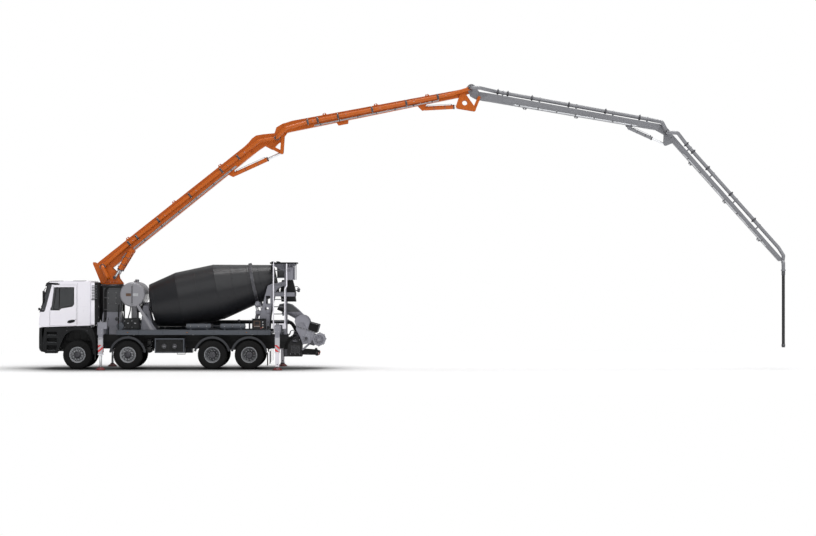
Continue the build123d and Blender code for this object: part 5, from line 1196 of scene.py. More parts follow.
            clear.lathe([(0.008, 0.061), (0.012, 0.055), (0.015, 0.03), (0.016, 0.0)], fog, AHEAD,
                28)
        dark.done("chassis", "dark_plastic")
        clear.done("chassis", "glass")

    def steps(self):
        """Ribbed treads in the step wells, the blank plate and the tow socket's rim."""
        piece = Piece("cab_steps", "tread", "trim", "dark_steel")
        for hand in (-1, 1):
            y0, y1 = sorted((hand * 1.05, hand * 1.236))
            for z in (0.701, 1.001, 1.271):
                piece.use("tread").block((-13.585, y0, z), (-13.235, y1, z + 0.014), 0.003)
                for k in range(11):
                    a = -13.575 + k * 0.031
                    piece.use("dark_steel").block((a, y0 + 0.02, z + 0.012),
                        (a + 0.01, y1 - 0.006, z + 0.021), 0.002)
        piece.use("trim").block((-13.8898, -0.26, 0.835), (-13.884, 0.26, 0.895), 0.003)
        piece.lathe([(0, 0.052), (0.012, 0.05), (0.018, 0.04), (0.012, 0.026)],
            (-13.872, -0.62, 0.76), AHEAD, 28)
        piece.done("chassis", "dark_plastic")

    def roof(self):
        """Roof joints and a flat hatch."""
        piece = Piece("roof_fittings", "trim", "white").use("white")
        for y in (-1.05, 1.05):
            piece.block((-13.2, y - 0.012, 3.258), (-12.05, y + 0.012, 3.272), 0.006)
        piece.use("trim").block((-12.75, -0.28, 3.258), (-12.3, 0.28, 3.285), 0.02)
        piece.done("cab", "dark_plastic", 0.004)

    def back_panel(self):
        """Air intake louvres and clips on the fairings behind the cab, hoses down the back wall."""
        piece = Piece("intake_louvres", "trim", "dark_steel", "rubber")
        for hand in (-1, 1):
            y = hand * 1.221
            for k in range(9):
                z = 2.62 + k * 0.058
                piece.use("dark_steel").block((-11.93, y, z), (-11.73, y + hand * 0.012, z + 0.026),
                    0.006)
            piece.use("trim").block((-11.945, y, 2.57), (-11.715, y + hand * 0.008, 2.6))
            for z in (1.9, 2.3):
                piece.use("steel").block((-11.7, y - hand * 0.1 - 0.03, z),
                    (-11.684, y - hand * 0.1 + 0.03, z + 0.06))
        piece.use("rubber")
        for k, y in enumerate((-0.3, -0.22, 0.2, 0.28)):
            piece.tube([(-11.95, y, 1.78), (-11.9, y, 1.7), (-11.9, y, 1.6 - 0.03 * k),
                (-11.935, y, 1.575)], 0.014, 0.05)
        piece.done("cab", "dark_plastic")

    def mirrors(self, hand):
        """Mirror heads on tubular arms with their silvered faces."""
        piece = Piece("mirror_" + ("left" if hand < 0 else "right"), "trim", "mirror")
        y = hand * 1.305
        z0, z1 = 2.49, 2.91
        middle = (z0 + z1) / 2
        back = [(-13.735, z0), (-13.665, z0 + 0.02), (-13.655, middle), (-13.665, z1 - 0.02),
            (-13.735, z1)]
        piece.use("trim").prism(back, y - 0.069, y + 0.069, 0.012)
        piece.use("mirror").grid([[(-13.6515, y - 0.055, z), (-13.6515, y + 0.055, z)]
            for z in (z0 + 0.04, middle, z1 - 0.04)], loop=False, cap=False)
        piece.use("trim")
        piece.tube([(-13.8, hand * 1.252, 2.33), (-13.74, hand * 1.3, 2.4), (-13.71, y, 2.5)],
            0.013, 0.05)
        piece.tube([(-13.62, hand * 1.252, 3.03), (-13.66, hand * 1.3, 2.98), (-13.7, y, 2.9)],
            0.013, 0.05)
        piece.done("cab", "dark_plastic")

    def door(self, hand):
        """Window rubber, quarter pillar, handle and a small round boss of one door."""
        side_name = "left" if hand < 0 else "right"
        body = "door_" + side_name
        window = [(-13.35, 2.21), (-13.35, 2.28), (-13.25, 3.04), (-12.59, 3.04), (-12.59, 2.42),
            (-12.66, 2.34), (-13.06, 2.28), (-13.14, 2.21)]
        seal = Piece("window_seal_" + side_name, "rubber", "glass")
        mid = Vector((-12.97, 2.65))
        rows = []
        for grow, out in ((0.006, 1.236), (0.01, 1.2415), (-0.01, 1.2435), (-0.016, 1.236),
                (-0.016, 1.224)):
            rows.append([(p[0] + (grow if p[0] > mid.x else -grow), hand * out,
                p[1] + (grow if p[1] > mid.y else -grow)) for p in window])
        seal.grid(rows, cap=False)
        # Quarter pillar in front of the wind-down pane.
        seal.use("rubber").prism([(-13.155, 2.25), (-13.125, 2.25), (-13.105, 3.03),
            (-13.135, 3.03)], hand * 1.216, hand * 1.2405)
        seal.done(body, "rubber")
        handle = Piece("door_handle_" + side_name, "trim", "dark_steel")
        cx, cz = -12.69, 1.79
        outline = [(cx + 0.148 * cos(a) + 0.012 * sin(a),
            cz - 0.01 + 0.06 * sin(a) + 0.024 * cos(a))
            for a in [2 * pi * k / 28 for k in range(28)]]
        inner = [(cx + (px - cx) * 0.8, cz + (pz - cz) * 0.66) for px, pz in outline]
        handle.grid([upright(outline, hand * CAB_SIDE), upright(outline, hand * 1.2475),
            upright(inner, hand * 1.2475), upright(inner, hand * 1.2405)], cap=False)
        handle.flat(upright(inner, hand * 1.2405))
        handle.tube([(cx - 0.115, hand * 1.24, cz + 0.004), (cx - 0.085, hand * 1.256, cz + 0.006),
            (cx + 0.085, hand * 1.256, cz + 0.02), (cx + 0.115, hand * 1.24, cz + 0.022)], 0.012,
            0.03, 10)
        handle.use("dark_steel").lathe([(0, 0.014), (0.004, 0.014), (0.006, 0.01)],
            (cx + 0.17, hand * 1.24, cz + 0.06), (0, hand, 0), 16)
        handle.done(body, "dark_plastic")


class LegMaker(bpy.types.Operator):
    """Make the outriggers' jacks and feet, and the fittings on their legs"""
    bl_idname = "pump_truck.legs"
    bl_label = "Outriggers"

    def execute(self, context):
        for name, x, y in LEGS:
            front = name.startswith("front")
            self.jack(name, x, y, front)
            self.fittings(name, x, y, front)
        return {"FINISHED"}

    def jack(self, name, x, y, front):
        """The sliding jack on its swivelling foot."""
        piece = Piece("jack_" + name, "chrome", "red", "white", "dark_steel")
        if front:
            piece.lathe([(0.1, 0.04), (0.11, 0.0449), (0.97, 0.0449), (0.98, 0.04)], (x, y, 0), UP,
                36)
        else:
            piece.use("white").block((x - 0.069, y - 0.069, 0.105), (x + 0.069, y + 0.069, 1.03),
                0.008)
            for side in (-1, 1):
                piece.use("dark_steel").lathe([(0, 0.02), (0.004, 0.02), (0.006, 0.012)],
                    (x, y + side * 0.069, 0.22), (0, side, 0), 16)
        neck = 0.062 if front else 0.085
        piece.use("dark_steel").lathe([(0.1, neck), (0.118, neck + 0.008), (0.132, neck + 0.004),
            (0.142, neck - 0.018)], (x, y, 0), UP, 32)
        piece.use("red").lathe([(0.0, 0.166), (0.006, 0.1748), (0.03, 0.1748), (0.04, 0.168),
            (0.041, 0.135), (0.06, 0.112), (0.09, 0.088), (0.108, 0.084), (0.112, 0.06)], (x, y, 0),
            UP, 44)
        for k in range(8):
            a = pi * k / 4 + pi / 8
            way = Vector((cos(a), sin(a), 0))
            side = Vector((-way.y, way.x, 0)) * 0.006
            low = [(0.08, 0.036), (0.16, 0.036), (0.16, 0.05), (0.088, 0.096), (0.08, 0.096)]
            piece.grid([[Vector((x, y, z)) + way * r + s for r, z in low] for s in (-side, side)])
        hand = 1 if y > 0 else -1
        piece.use("dark_steel").tube([(x - 0.05, y + hand * 0.155, 0.036),
            (x - 0.05, y + hand * 0.165, 0.075), (x + 0.05, y + hand * 0.165, 0.075),
            (x + 0.05, y + hand * 0.155, 0.036)], 0.006, 0.02)
        piece.done("outrigger_leg_" + name, "orange_paint", replaces=("outrigger_leg_" + name,))

    def fittings(self, name, x, y, front):
        """Collars with bolts, a bolted cover and hoses on the leg's head."""
        piece = Piece("leg_fittings_" + name, "stand", "steel", "rubber", "white")
        hand = 1 if y > 0 else -1
        foot = 0.56 if front else 0.64
        head = 1.44 if front else 1.5
        half = 0.085
        ring = half + 0.012
        outline = [(-ring, -ring), (ring, -ring), (ring, ring), (-ring, ring)]
        for z, high in ((foot + 0.001, 0.034), (head - 0.3, 0.03)):
            piece.use("stand" if z > 1 else "white")
            rows = [[(x + a * k, y + b * k, z + h) for a, b in outline]
                for k, h in ((0.88, 0.0), (1.0, 0.004), (1.0, high - 0.004), (0.88, high))]
            piece.grid(rows, cap=False)
            piece.use("steel")
            for a in (-0.06, 0.06):
                piece.nut((x + a, y + hand * ring, z + high / 2), (0, hand, 0), 0.009, 0.007)
                piece.nut((x - ring, y + a, z + high / 2), AHEAD, 0.009, 0.007)
        # Bolted cover where the beam meets the leg's head.
        piece.use("stand").block((x - 0.075, y + hand * 0.11, head - 0.09),
            (x + 0.075, y + hand * 0.118, head + 0.09), 0.004)
        piece.use("steel")
        for a in (-0.055, 0.055):
            for b in (-0.068, 0.068):
                piece.nut((x + a, y + hand * 0.118, head + b), (0, hand, 0), 0.01, 0.008)
        top = head + (0.32 if front else 0.15)
        piece.use("stand").block((x + (0.02 if front else 0.0) - 0.06, y - 0.05, top),
            (x + 0.07, y + 0.05, top + 0.03), 0.006)
        piece.use("steel").lathe([(0, 0.018), (0.02, 0.018), (0.024, 0.012), (0.05, 0.012)],
            (x, y, top + 0.028), UP, 12)
        # Two hydraulic hoses from the head down to the beam.
        piece.use("rubber")
        for k in (-1, 1):
            a = x + k * 0.03
            inner = y - hand * 0.115
            piece.tube([(a, y - hand * 0.05, top + 0.02), (a, y - hand * 0.05, top + 0.1),
                (a, inner, top + 0.1), (a, inner, head + 0.1)], 0.011, 0.06)
        piece.done("outrigger_beam_" + name, "grey_paint")


class InteriorMaker(bpy.types.Operator):
    """Make the seats, dashboard, steering wheel and floor of the cab"""
    bl_idname = "pump_truck.interior"
    bl_label = "Cab interior"

    def execute(self, context):
        given = context.scene.truck_cab
        self.dashboard()
        self.wheel()
        for label, y in (("left", -0.62), ("right", 0.62)):
            self.frame(label, y)
            self.cushion("cushion_" + label, (-12.815, y, 2.0), (0.235, given.seat_width / 2, 0.05),
                0.0, 3)
            self.cushion("backrest_" + label, (-12.475, y, 2.4),
                (0.295, given.seat_width / 2 - 0.01, 0.05), radians(-72), 4)
            self.cushion("headrest_" + label, (-12.375, y, 2.735), (0.065, 0.13, 0.038),
                radians(-76), 1)
        return {"FINISHED"}

    def dashboard(self):
        """The moulded dashboard, its display and vents, and the floor mat."""
        x = CAB_X0
        piece = Piece("dashboard", "dash", "trim", "glass", "cloth", "steel", "rubber")
        outline = [(0.078, 1.608), (0.26, 1.608), (0.285, 1.75), (0.325, 1.98), (0.418, 2.075),
            (0.42, 2.1), (0.39, 2.16), (0.374, 2.192), (0.35, 2.196), (0.25, 2.17), (0.135, 2.147),
            (0.09, 1.98), (0.078, 1.8)]
        piece.prism([(x + a, z) for a, z in outline], -1.158, 1.158, 0.008)
        piece.use("trim").prism([(x + a, z) for a, z in ((0.3, 2.19), (0.4, 2.178), (0.405, 2.21),
            (0.36, 2.255), (0.29, 2.25), (0.26, 2.2))], -0.86, -0.38, 0.008)
        for y in (-0.72, -0.52):
            piece.use("glass").lathe([(0, 0.052), (0.004, 0.05), (0.005, 0.0)],
                (x + 0.4075, y, 2.19), (1, 0, 0.3), 28)
        piece.use("trim").block((x + 0.4, -0.16, 2.1), (x + 0.43, 0.16, 2.19), 0.006)
        piece.use("glass").block((x + 0.43, -0.14, 2.108), (x + 0.433, 0.14, 2.182), 0.001)
        for y in (-1.06, -0.28, 0.28, 0.7, 1.06):
            for k in range(4):
                z = 2.02 + 0.014 * k
                piece.use("trim").block((x + 0.355 + k * 0.012, y - 0.07, z),
                    (x + 0.375 + k * 0.012, y + 0.07, z + 0.006), 0.001)
        piece.use("rubber").block((x + 0.262, -0.8, 1.606), (CAB_X1 - 0.102, 0.8, 1.626), 0.006)
        for k in range(14):
            a = x + 0.34 + k * 0.095
            piece.block((a, -0.76, 1.625), (a + 0.03, 0.76, 1.629), 0.001)
        for y, size in ((-0.76, 0.035), (-0.62, 0.045), (-0.48, 0.03)):
            piece.use("steel").rod((x + 0.29, y, 1.83), (x + 0.4, y, 1.71), 0.008)
            piece.use("rubber").block((x + 0.385, y - size, 1.665), (x + 0.405, y + size, 1.735),
                0.004)
        piece.use("dash").block((-13.02, -0.2, 1.626), (-12.45, 0.2, 1.86), 0.03)
        piece.use("trim").rod((-13.0, -0.28, 1.64), (-13.04, -0.3, 2.02), 0.01)
        piece.lathe([(0, 0.01), (0.01, 0.024), (0.05, 0.026), (0.06, 0.0)], (-13.04, -0.3, 2.0),
            (-0.1, 0, 1), 16)
        piece.done("cab", "interior", replaces=("cab_interior",))

    def wheel(self):
        piece = Piece("steering_wheel", "trim", "dark_steel", "dash")
        middle = Vector((CAB_X0 + 0.53, -0.62, 2.185))
        piece.matrix = Matrix.Translation(middle) @ Matrix.Rotation(radians(55), 4, "Y")
        rows = []
        for k in range(48):
            a = 2 * pi * k / 48
            rows.append([((0.21 + 0.0145 * cos(b)) * cos(a), (0.21 + 0.0145 * cos(b)) * sin(a),
                0.0145 * sin(b)) for b in [2 * pi * j / 10 for j in range(10)]])
        piece.grid(rows, ends=True)
        for a in (0.0, 180.0, 90.0, -90.0):
            way = Vector((cos(radians(a)), sin(radians(a)), 0))
            piece.use("trim").tube([way * 0.03 + Vector((0, 0, -0.02)),
                way * 0.12 + Vector((0, 0, -0.018)), way * 0.208], 0.011, 0.05)
        piece.use("dash").lathe([(-0.03, 0.05), (-0.022, 0.07), (0.0, 0.072), (0.012, 0.055),
            (0.014, 0.0)], ORIGIN, UP, 28)
        piece.use("dash").lathe([(-0.03, 0.045), (-0.06, 0.048), (-0.3, 0.062), (-0.31, 0.04)],
            ORIGIN, UP, 20)
        for side in (-1, 1):
            piece.use("trim").rod((0.0, side * 0.04, -0.07), (-0.02, side * 0.17, -0.05), 0.007)
        piece.done("cab", "interior")

    def frame(self, label, y):
        """Sprung base, side levers, belt and the shell behind the cushions."""
        piece = Piece("chair_frame_" + label, "dash", "trim", "steel", "cloth")
        piece.use("trim").block((-12.9, y - 0.19, 1.627), (-12.52, y + 0.19, 1.68), 0.012)
        for k in range(4):
            z = 1.685 + k * 0.045
            piece.use("trim").block((-12.885 + 0.005 * (k % 2), y - 0.175, z),
                (-12.535, y + 0.175, z + 0.035), 0.014)
        piece.use("dash").prism([(-13.0, 1.935), (-12.96, 1.885), (-12.56, 1.875), (-12.5, 1.9),
            (-12.49, 1.96), (-12.98, 1.95)], y - 0.235, y + 0.235, 0.012)
        piece.prism([(-12.5, 1.93), (-12.44, 1.95), (-12.335, 2.66), (-12.36, 2.7), (-12.395, 2.69),
            (-12.46, 2.1)], y - 0.215, y + 0.215, 0.012)
        for side in (-1, 1):
            piece.use("steel").rod((-12.392, y + side * 0.05, 2.66),
                (-12.378, y + side * 0.05, 2.72), 0.006)
            piece.use("trim").tube([(-12.47, y + side * 0.222, 2.15),
                (-12.72, y + side * 0.225, 2.2), (-12.8, y + side * 0.225, 2.195)], 0.02, 0.05, 10)
        piece.use("trim").block((-12.62, y + 0.236, 1.96), (-12.59, y + 0.25, 2.06), 0.004)
        # Belt over the backrest's shoulder.
        belt = [(-12.395, 2.7), (-12.425, 2.705), (-12.46, 2.66), (-12.545, 2.35), (-12.6, 2.12),
            (-12.6, 2.06)]
        piece.use("cloth")
        rows = []
        for k, (px, pz) in enumerate(belt):
            shift = 0.15 - 0.33 * (k / 5) ** 1.5
            rows.append([(px - 0.012, y + shift - 0.024, pz), (px - 0.012, y + shift + 0.024, pz),
                (px - 0.009, y + shift + 0.024, pz + 0.001),
                (px - 0.009, y + shift - 0.024, pz + 0.001)])
        piece.grid(rows)
        piece.done("cab", "interior")

    def cushion(self, name, middle, half, lean, channels):
        """A crowned pad: a closed form swollen by a cloth simulation, then sewn channels."""
        mesh = bmesh.new()
        bmesh.ops.create_cube(mesh, size=2.0)
        bmesh.ops.subdivide_edges(mesh, edges=mesh.edges[:], cuts=7, use_grid_fill=True)
        for vert in mesh.verts:
            u, v, w = vert.co
            round_off = 1.0 - 0.1 * (u * u * v * v)
            crown = 1.0 - 0.55 * max(abs(u), abs(v)) ** 5
            vert.co = Vector((u * half[0] * 0.95 * round_off, v * half[1] * 0.95 * round_off,
                w * half[2] * 0.82 * crown))
        data = bpy.data.meshes.new(name)
        mesh.to_mesh(data)
        mesh.free()
        made = bpy.data.objects.new(name, data)
        bpy.context.scene.collection.objects.link(made)
        self.swell(made, 0.012)
        smooth = made.modifiers.new("smooth", "SUBSURF")
        smooth.levels = smooth.render_levels = 2
        self.apply(made)
        data = made.data
        for vert in data.vertices:
            u = vert.co.x / half[0]
            if channels > 1:
                near = abs(((u + 1) / 2 * channels) % 1.0 - 0.5) * 2
                groove = max(0.0, (near - 0.86) / 0.14) if 0.08 < (u + 1) / 2 < 0.92 else 0.0
                if vert.co.z > 0:
                    vert.co.z -= 0.01 * groove * groove
            v = vert.co.y / half[1]
            piping = max(0.0, 1 - abs(abs(v) - 0.7) / 0.05)
            if vert.co.z > 0:
                vert.co.z -= 0.006 * piping
            for axis in range(3):
                vert.co[axis] = max(-half[axis] * 1.04, min(half[axis] * 1.04, vert.co[axis]))
        for poly in data.polygons:
            poly.use_smooth = True
        made.matrix_world = Matrix.Translation(middle) @ Matrix.Rotation(lean, 4, "Y")
        data.materials.append(FINISHES["cloth"])
        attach(made, "cab")

    def apply(self, made):
        graph = bpy.context.evaluated_depsgraph_get()
        shaped = bpy.data.meshes.new_from_object(made.evaluated_get(graph))
        made.modifiers.clear()
        old, made.data = made.data, shaped
        bpy.data.meshes.remove(old)

    def swell(self, made, cap):
        """Cloth with pressure for 20 frames; no point moves further than the cap."""
        start = [v.co.copy() for v in made.data.vertices]
        cloth_sim = made.modifiers.new("cloth", "CLOTH")
        cloth_sim.settings.use_pressure = True
        cloth_sim.settings.uniform_pressure_force = 4.0
        cloth_sim.settings.effector_weights.gravity = 0.0
        cloth_sim.settings.quality = 6
        cloth_sim.collision_settings.use_collision = False
        scene = bpy.context.scene
        for step in range(1, 21):
            scene.frame_set(step)
        self.apply(made)
        for vert, old in zip(made.data.vertices, start):
            move = vert.co - old
            if move.length > cap:
                vert.co = old + move.normalized() * cap
        scene.frame_set(1)


class BumperMaker(bpy.types.Operator):
    """Make the bumper with its arches, step wells and lining, and the cab's dark side pieces"""
    bl_idname = "pump_truck.bumper"
    bl_label = "Bumper and arches"

    ARCH_IN = [(-13.235, 0.6), (-13.13, 0.8), (-13.055, 1.0), (-12.92, 1.28), (-12.72, 1.43),
        (-12.46, 1.475), (-12.2, 1.43), (-12.03, 1.28), (-11.92, 1.03), (-11.885, 0.78),
        (-11.885, 0.56)]
    SKIN = [(-11.77, 0.56), (-11.775, 0.9), (-11.79, 1.12), (-11.84, 1.38), (-11.93, 1.545),
        (-13.875, 1.545), (-13.882, 1.2), (-13.882, 0.8), (-13.85, 0.7), (-13.68, 0.665),
        (-13.655, 0.6)]
    WELLS = ((0.7, 0.9), (1.0, 1.17), (1.27, 1.4))

    def execute(self, context):
        piece = Piece("bumper", "trim", "dark_steel", "steel")
        for hand in (-1, 1):
            self.side(piece, hand)
        self.front(piece)
        piece.done("chassis", "dark_plastic", replaces=("front_bumper",))
        self.cab_sides()
        return {"FINISHED"}

    def side(self, piece, hand):
        """One flank: the skin with its arch and step wells, the rolled lip and the lining."""
        outer, inner = hand * 1.2385, hand * 1.206
        wells = [rounded(-13.6, low, -13.22, high, 0.03, 3) for low, high in self.WELLS]
        piece.use("trim").plate(self.SKIN + self.ARCH_IN, wells, inner, outer)
        for well in wells:
            deep = hand * 1.03
            piece.grid([upright(well, inner), upright(well, deep)], cap=False)
            piece.flat(upright(well, deep))
        lip = [(0.0, 1.238), (0.0, 1.242), (0.02, 1.2436), (0.075, 1.2436), (0.092, 1.242),
            (0.095, 1.238)]
        rows = []
        spots = [Vector(p) for p in self.ARCH_IN]
        for k, spot in enumerate(spots):
            way = (spots[min(k + 1, len(spots) - 1)] - spots[max(k - 1, 0)]).normalized()
            out = Vector((-way.y, way.x))
            rows.append([(spot.x + out.x * a, hand * y, spot.y + out.y * a) for a, y in lip])
        piece.grid(rows)
        # The lining curves over the tyre and closes the arch toward the frame.
        rows = [[(p.x, hand * 1.235, p.y) for p in spots], [(p.x, hand * 0.84, p.y) for p in spots]]
        piece.grid(rows, loop=False, cap=False)
        piece.grid([[(p.x, hand * 0.84, p.y) for p in spots],
            [(p.x, hand * 0.84, 1.545) for p in spots]], loop=False, cap=False)
        piece.grid([upright(self.SKIN[5:], hand * 1.205), upright(self.SKIN[5:], hand * 0.84)],
            loop=False, cap=False)
        for x, z in ((-13.02, 0.72), (-12.85, 1.44), (-12.1, 1.44), (-11.83, 0.72)):
            piece.use("dark_steel").nut((x, hand * 1.2436, z), (0, hand, 0), 0.009, 0.006)
        # Mud flap behind the wheel.
        piece.use("trim").block((-11.84, hand * 0.88, 0.36), (-11.825, hand * 1.19, 0.8), 0.004)

    def front(self, piece):
        """The nose: a swept band with a deep lower lip, two cooling slots and the corner curves."""
        profile = [(-13.8, 1.545), (-13.878, 1.545), (-13.8895, 1.5), (-13.8895, 1.22),
            (-13.872, 1.19), (-13.872, 0.93), (-13.8895, 0.9), (-13.8895, 0.82), (-13.865, 0.72),
            (-13.82, 0.66), (-13.7, 0.64), (-13.7, 0.68), (-13.79, 0.7), (-13.8, 0.9)]
        ys = [(-1.2385, 0.12), (-1.225, 0.05), (-1.19, 0.012), (-1.12, 0.0), (-0.6, 0.0),
            (0.0, 0.0), (0.6, 0.0), (1.12, 0.0), (1.19, 0.012), (1.225, 0.05), (1.2385, 0.12)]
        piece.use("trim").grid([[(x + back * (1 if k < 10 else 0.3), y, z)
            for k, (x, z) in enumerate(profile)] for y, back in ys])
        for z in (0.97, 1.04, 1.11):
            piece.use("dark_steel").prism([(-13.88, z), (-13.868, z - 0.012), (-13.862, z + 0.012),
                (-13.874, z + 0.024)], -0.6, 0.6, 0.003)
        for z in (1.26, 1.36, 1.46):
            piece.use("trim").block((-13.8899, -1.02, z), (-13.885, 1.02, z + 0.012), 0.002)
        piece.use("steel").block((-13.8, -0.5, 1.33), (-13.74, 0.5, 1.39), 0.01)

    def cab_sides(self):
        """Dark wrap of the windscreen, pillar cover, corner pane and slope under the cab."""
        piece = Piece("screen_wrap", "glass", "trim", "white")
        for hand in (-1, 1):
            y0, y1 = hand * CAB_SIDE, hand * 1.2445
            piece.use("glass").prism([(-13.828, 2.205), (-13.655, 2.205), (-13.625, 2.32),
                (-13.405, 3.12), (-13.425, 3.15), (-13.572, 3.15)], y0, y1, 0.003)
            piece.use("trim").prism([(-13.845, 2.135), (-13.7, 2.135), (-13.65, 2.2),
                (-13.832, 2.2)], y0, y1, 0.002)
            piece.prism([(-13.6, 3.14), (-13.16, 3.14), (-13.1, 3.17), (-13.2, 3.205),
                (-13.56, 3.225)], y0, hand * 1.2435, 0.003)
            piece.prism([(-13.885, 1.5605), (-11.961, 1.5605), (-11.961, 1.632), (-12.485, 1.609),
                (-13.7, 1.575)], y0, hand * 1.2425, 0.002)
            # Seam down the rear panel and its pressed line.
            piece.prism([(-12.452, 1.64), (-12.446, 1.64), (-12.446, 3.2), (-12.452, 3.2)],
                hand * CAB_SIDE, hand * 1.2402, 0.001)
            piece.use("white").prism([(-12.44, 2.314), (-11.975, 2.306), (-11.975, 2.318),
                (-12.44, 2.328)], hand * 1.2385, hand * 1.2425, 0.002)
        piece.done("cab", "dark_plastic")
        for hand, side in ((-1, "left"), (1, "right")):
            corner = Piece("corner_pane_" + side, "glass", "rubber")
            corner.prism([(-13.462, 2.205), (-13.352, 2.205), (-13.352, 2.28), (-13.255, 3.045),
                (-13.318, 3.05), (-13.405, 2.36), (-13.462, 2.26)], hand * CAB_SIDE, hand * 1.2425,
                0.003)
            corner.use("rubber").prism([(-13.46, 2.19), (-13.12, 2.19), (-13.05, 2.262),
                (-12.66, 2.322), (-12.62, 2.35), (-12.63, 2.358), (-12.665, 2.336),
                (-13.055, 2.276), (-13.128, 2.207), (-13.46, 2.207)], hand * CAB_SIDE,
                hand * 1.2435, 0.002)
            corner.done("door_" + side, "dark_plastic")


class BoomMaker(bpy.types.Operator):
    """Make the couplings, hydraulic lines, seams, pin covers and brackets of the boom"""
    bl_idname = "pump_truck.boom"
    bl_label = "Boom fittings"

    # Girder outlines in each section's own frame: two top and two bottom corners, half the width.
    GIRDERS = (((0.009, 0.25), (7.0, 0.48), (0.0, -0.25), (7.0, 0.04), 0.19),
        ((0.7, 0.49), (6.95, 0.06), (0.32, 0.11), (6.95, -0.22), 0.165),
        ((0.9, -0.02), (7.15, 0.256), (0.3, -0.37), (7.15, 0.008), 0.13),
        ((0.24, 0.11), (6.37, 0.085), (0.24, -0.11), (6.37, -0.085), 0.1))
    PIPES = (((1.3, 0.12), (6.9, 0.3), -0.275, (1.5, 3.0, 4.5, 6.0, 6.8)),
        ((1.25, 0.29), (6.7, -0.04), -0.288, (1.45, 2.7, 4.0, 5.3, 6.5)),
        ((0.9, 0.09), (6.8, 0.35), 0.0, (1.2, 2.6, 4.0, 5.4, 6.7)),
        ((0.8, 0.262), (6.0, 0.262), 0.0, (1.0, 2.3, 3.6, 4.9)))

    def execute(self, context):
        given = context.scene.truck_boom
        for index in range(4):
            self.couplings(index, given)
            self.lines(index, given)
            self.seams(index)
        self.pins()
        self.elbows()
        self.ram_fittings()
        return {"FINISHED"}

    def couplings(self, index, given):
        """Clamp couplings with their bolts, and the saddles that hold the pipe."""
        start, end, y, places = self.PIPES[index]
        paint_name = "orange" if index < 2 else "silver"
        piece = Piece(f"couplings_{index + 1}", "dark_steel", "steel", paint_name,
            frame_matrix=section(index))
        a, b = Vector((start[0], y, start[1])), Vector((end[0], y, end[1]))
        way = (b - a).normalized()
        up = Vector((-way.z, 0, way.x))
        w = given.coupling_width
        for k, x in enumerate(places):
            spot = a + way * ((x - a.x) / way.x)
            for shift in (-0.3,) if k else (0.18, -0.2):
                mid = spot + way * shift
                piece.use("dark_steel").lathe([(-w / 2, 0.069), (-w / 2 + 0.004, 0.088),
                    (-w * 0.3, 0.09), (-w * 0.2, 0.096), (w * 0.2, 0.096), (w * 0.3, 0.09),
                    (w / 2 - 0.004, 0.088), (w / 2, 0.069)], mid, way, 28)
                for side in (-1, 1):
                    ear = mid + up * side * 0.102
                    piece.use("dark_steel").lathe([(-0.034, 0.012), (-0.028, 0.018), (0.028, 0.018),
                        (0.034, 0.012)], ear, RIGHT, 12)
                    piece.use("steel").nut(ear + Vector((0, -0.034, 0)), LEFT, 0.011, 0.01)
            # Strap over the pipe with its two nuts.
            piece.use(paint_name)
            piece.band(0.022, 0.069, 0.0765, spot, way, 28)
            piece.use("steel")
            for side in (-1, 1):
                out = Vector((0, -0.082, 0)) if y else up * 0.082
                piece.nut(spot + out * 0.95 + way * side * 0.014, out, 0.008, 0.008)
        piece.done(f"boom_{index + 1}", "grey_paint")

    def lines(self, index, given):
        """Hydraulic lines along the girder in clips, with block manifolds at the ends."""
        (tx0, tz0), (tx1, tz1), (bx0, bz0), (bx1, bz1), half = self.GIRDERS[index]
        piece = Piece(f"hydraulics_{index + 1}", "steel", "dark_steel", "rubber",
            "orange" if index < 2 else "silver", frame_matrix=section(index))
        r = given.line_radius
        x0, x1 = max(tx0, bx0) + 0.75, min(tx1, bx1) - 0.75
        count_of = 4 - index if index < 3 else 2

        def at(x, share):
            low = bz0 + (bz1 - bz0) * (x - bx0) / (bx1 - bx0)
            high = tz0 + (tz1 - tz0) * (x - tx0) / (tx1 - tx0)
            return low + (high - low) * share

        for side in (-1, 1):
            y = side * (half + r + 0.006)
            for k in range(count_of):
                share = 0.8 - 0.085 * k if side > 0 else 0.1 + 0.075 * k
                if side < 0 and k > 1:
                    continue
                piece.use("steel").tube([(x0, side * (half - 0.01), at(x0, share)),
                    (x0 + 0.06, y, at(x0 + 0.06, share)), (x1 - 0.06, y, at(x1 - 0.06, share)),
                    (x1, side * (half - 0.01), at(x1, share))], r, 0.05, 8, 3)
            for k in range(7):
                x = x0 + 0.25 + (x1 - x0 - 0.5) * k / 6
                low, high = (at(x, 0.8 - 0.085 * (count_of - 1)),
                    at(x, 0.8)) if side > 0 else (at(x, 0.1), at(x, 0.175))
                inner, outer = side * (half + 0.0005), side * (half + 2 * r + 0.01)
                piece.use("dark_steel").block((x - 0.022, inner, low - 0.026),
                    (x + 0.022, outer, high + 0.026), 0.005)
                piece.use("steel").nut((x, outer, low - 0.012), (0, side, 0), 0.007, 0.006, False)
                piece.nut((x, outer, high + 0.012), (0, side, 0), 0.007, 0.006, False)
        # Valve block under the girder with its ports.
        x = x0 + 0.42
        z = at(x, 0.48)
        piece.use("dark_steel").block((x - 0.11, half + 0.0005, z - 0.06),
            (x + 0.11, half + 0.075, z + 0.05), 0.008)
        for k in range(3):
            piece.use("steel").lathe([(0, 0.02), (0.018, 0.02), (0.022, 0.014), (0.045, 0.014)],
                (x - 0.07 + 0.07 * k, half + 0.04, z + 0.05), UP, 6)
        piece.done(f"boom_{index + 1}", "chrome")

    def seams(self, index):
        """Weld seams, doubler plates, ribs and lifting lugs."""
        (tx0, tz0), (tx1, tz1), (bx0, bz0), (bx1, bz1), half = self.GIRDERS[index]
        paint_name = "orange" if index < 2 else "silver"
        piece = Piece(f"seams_{index + 1}", paint_name, frame_matrix=section(index))

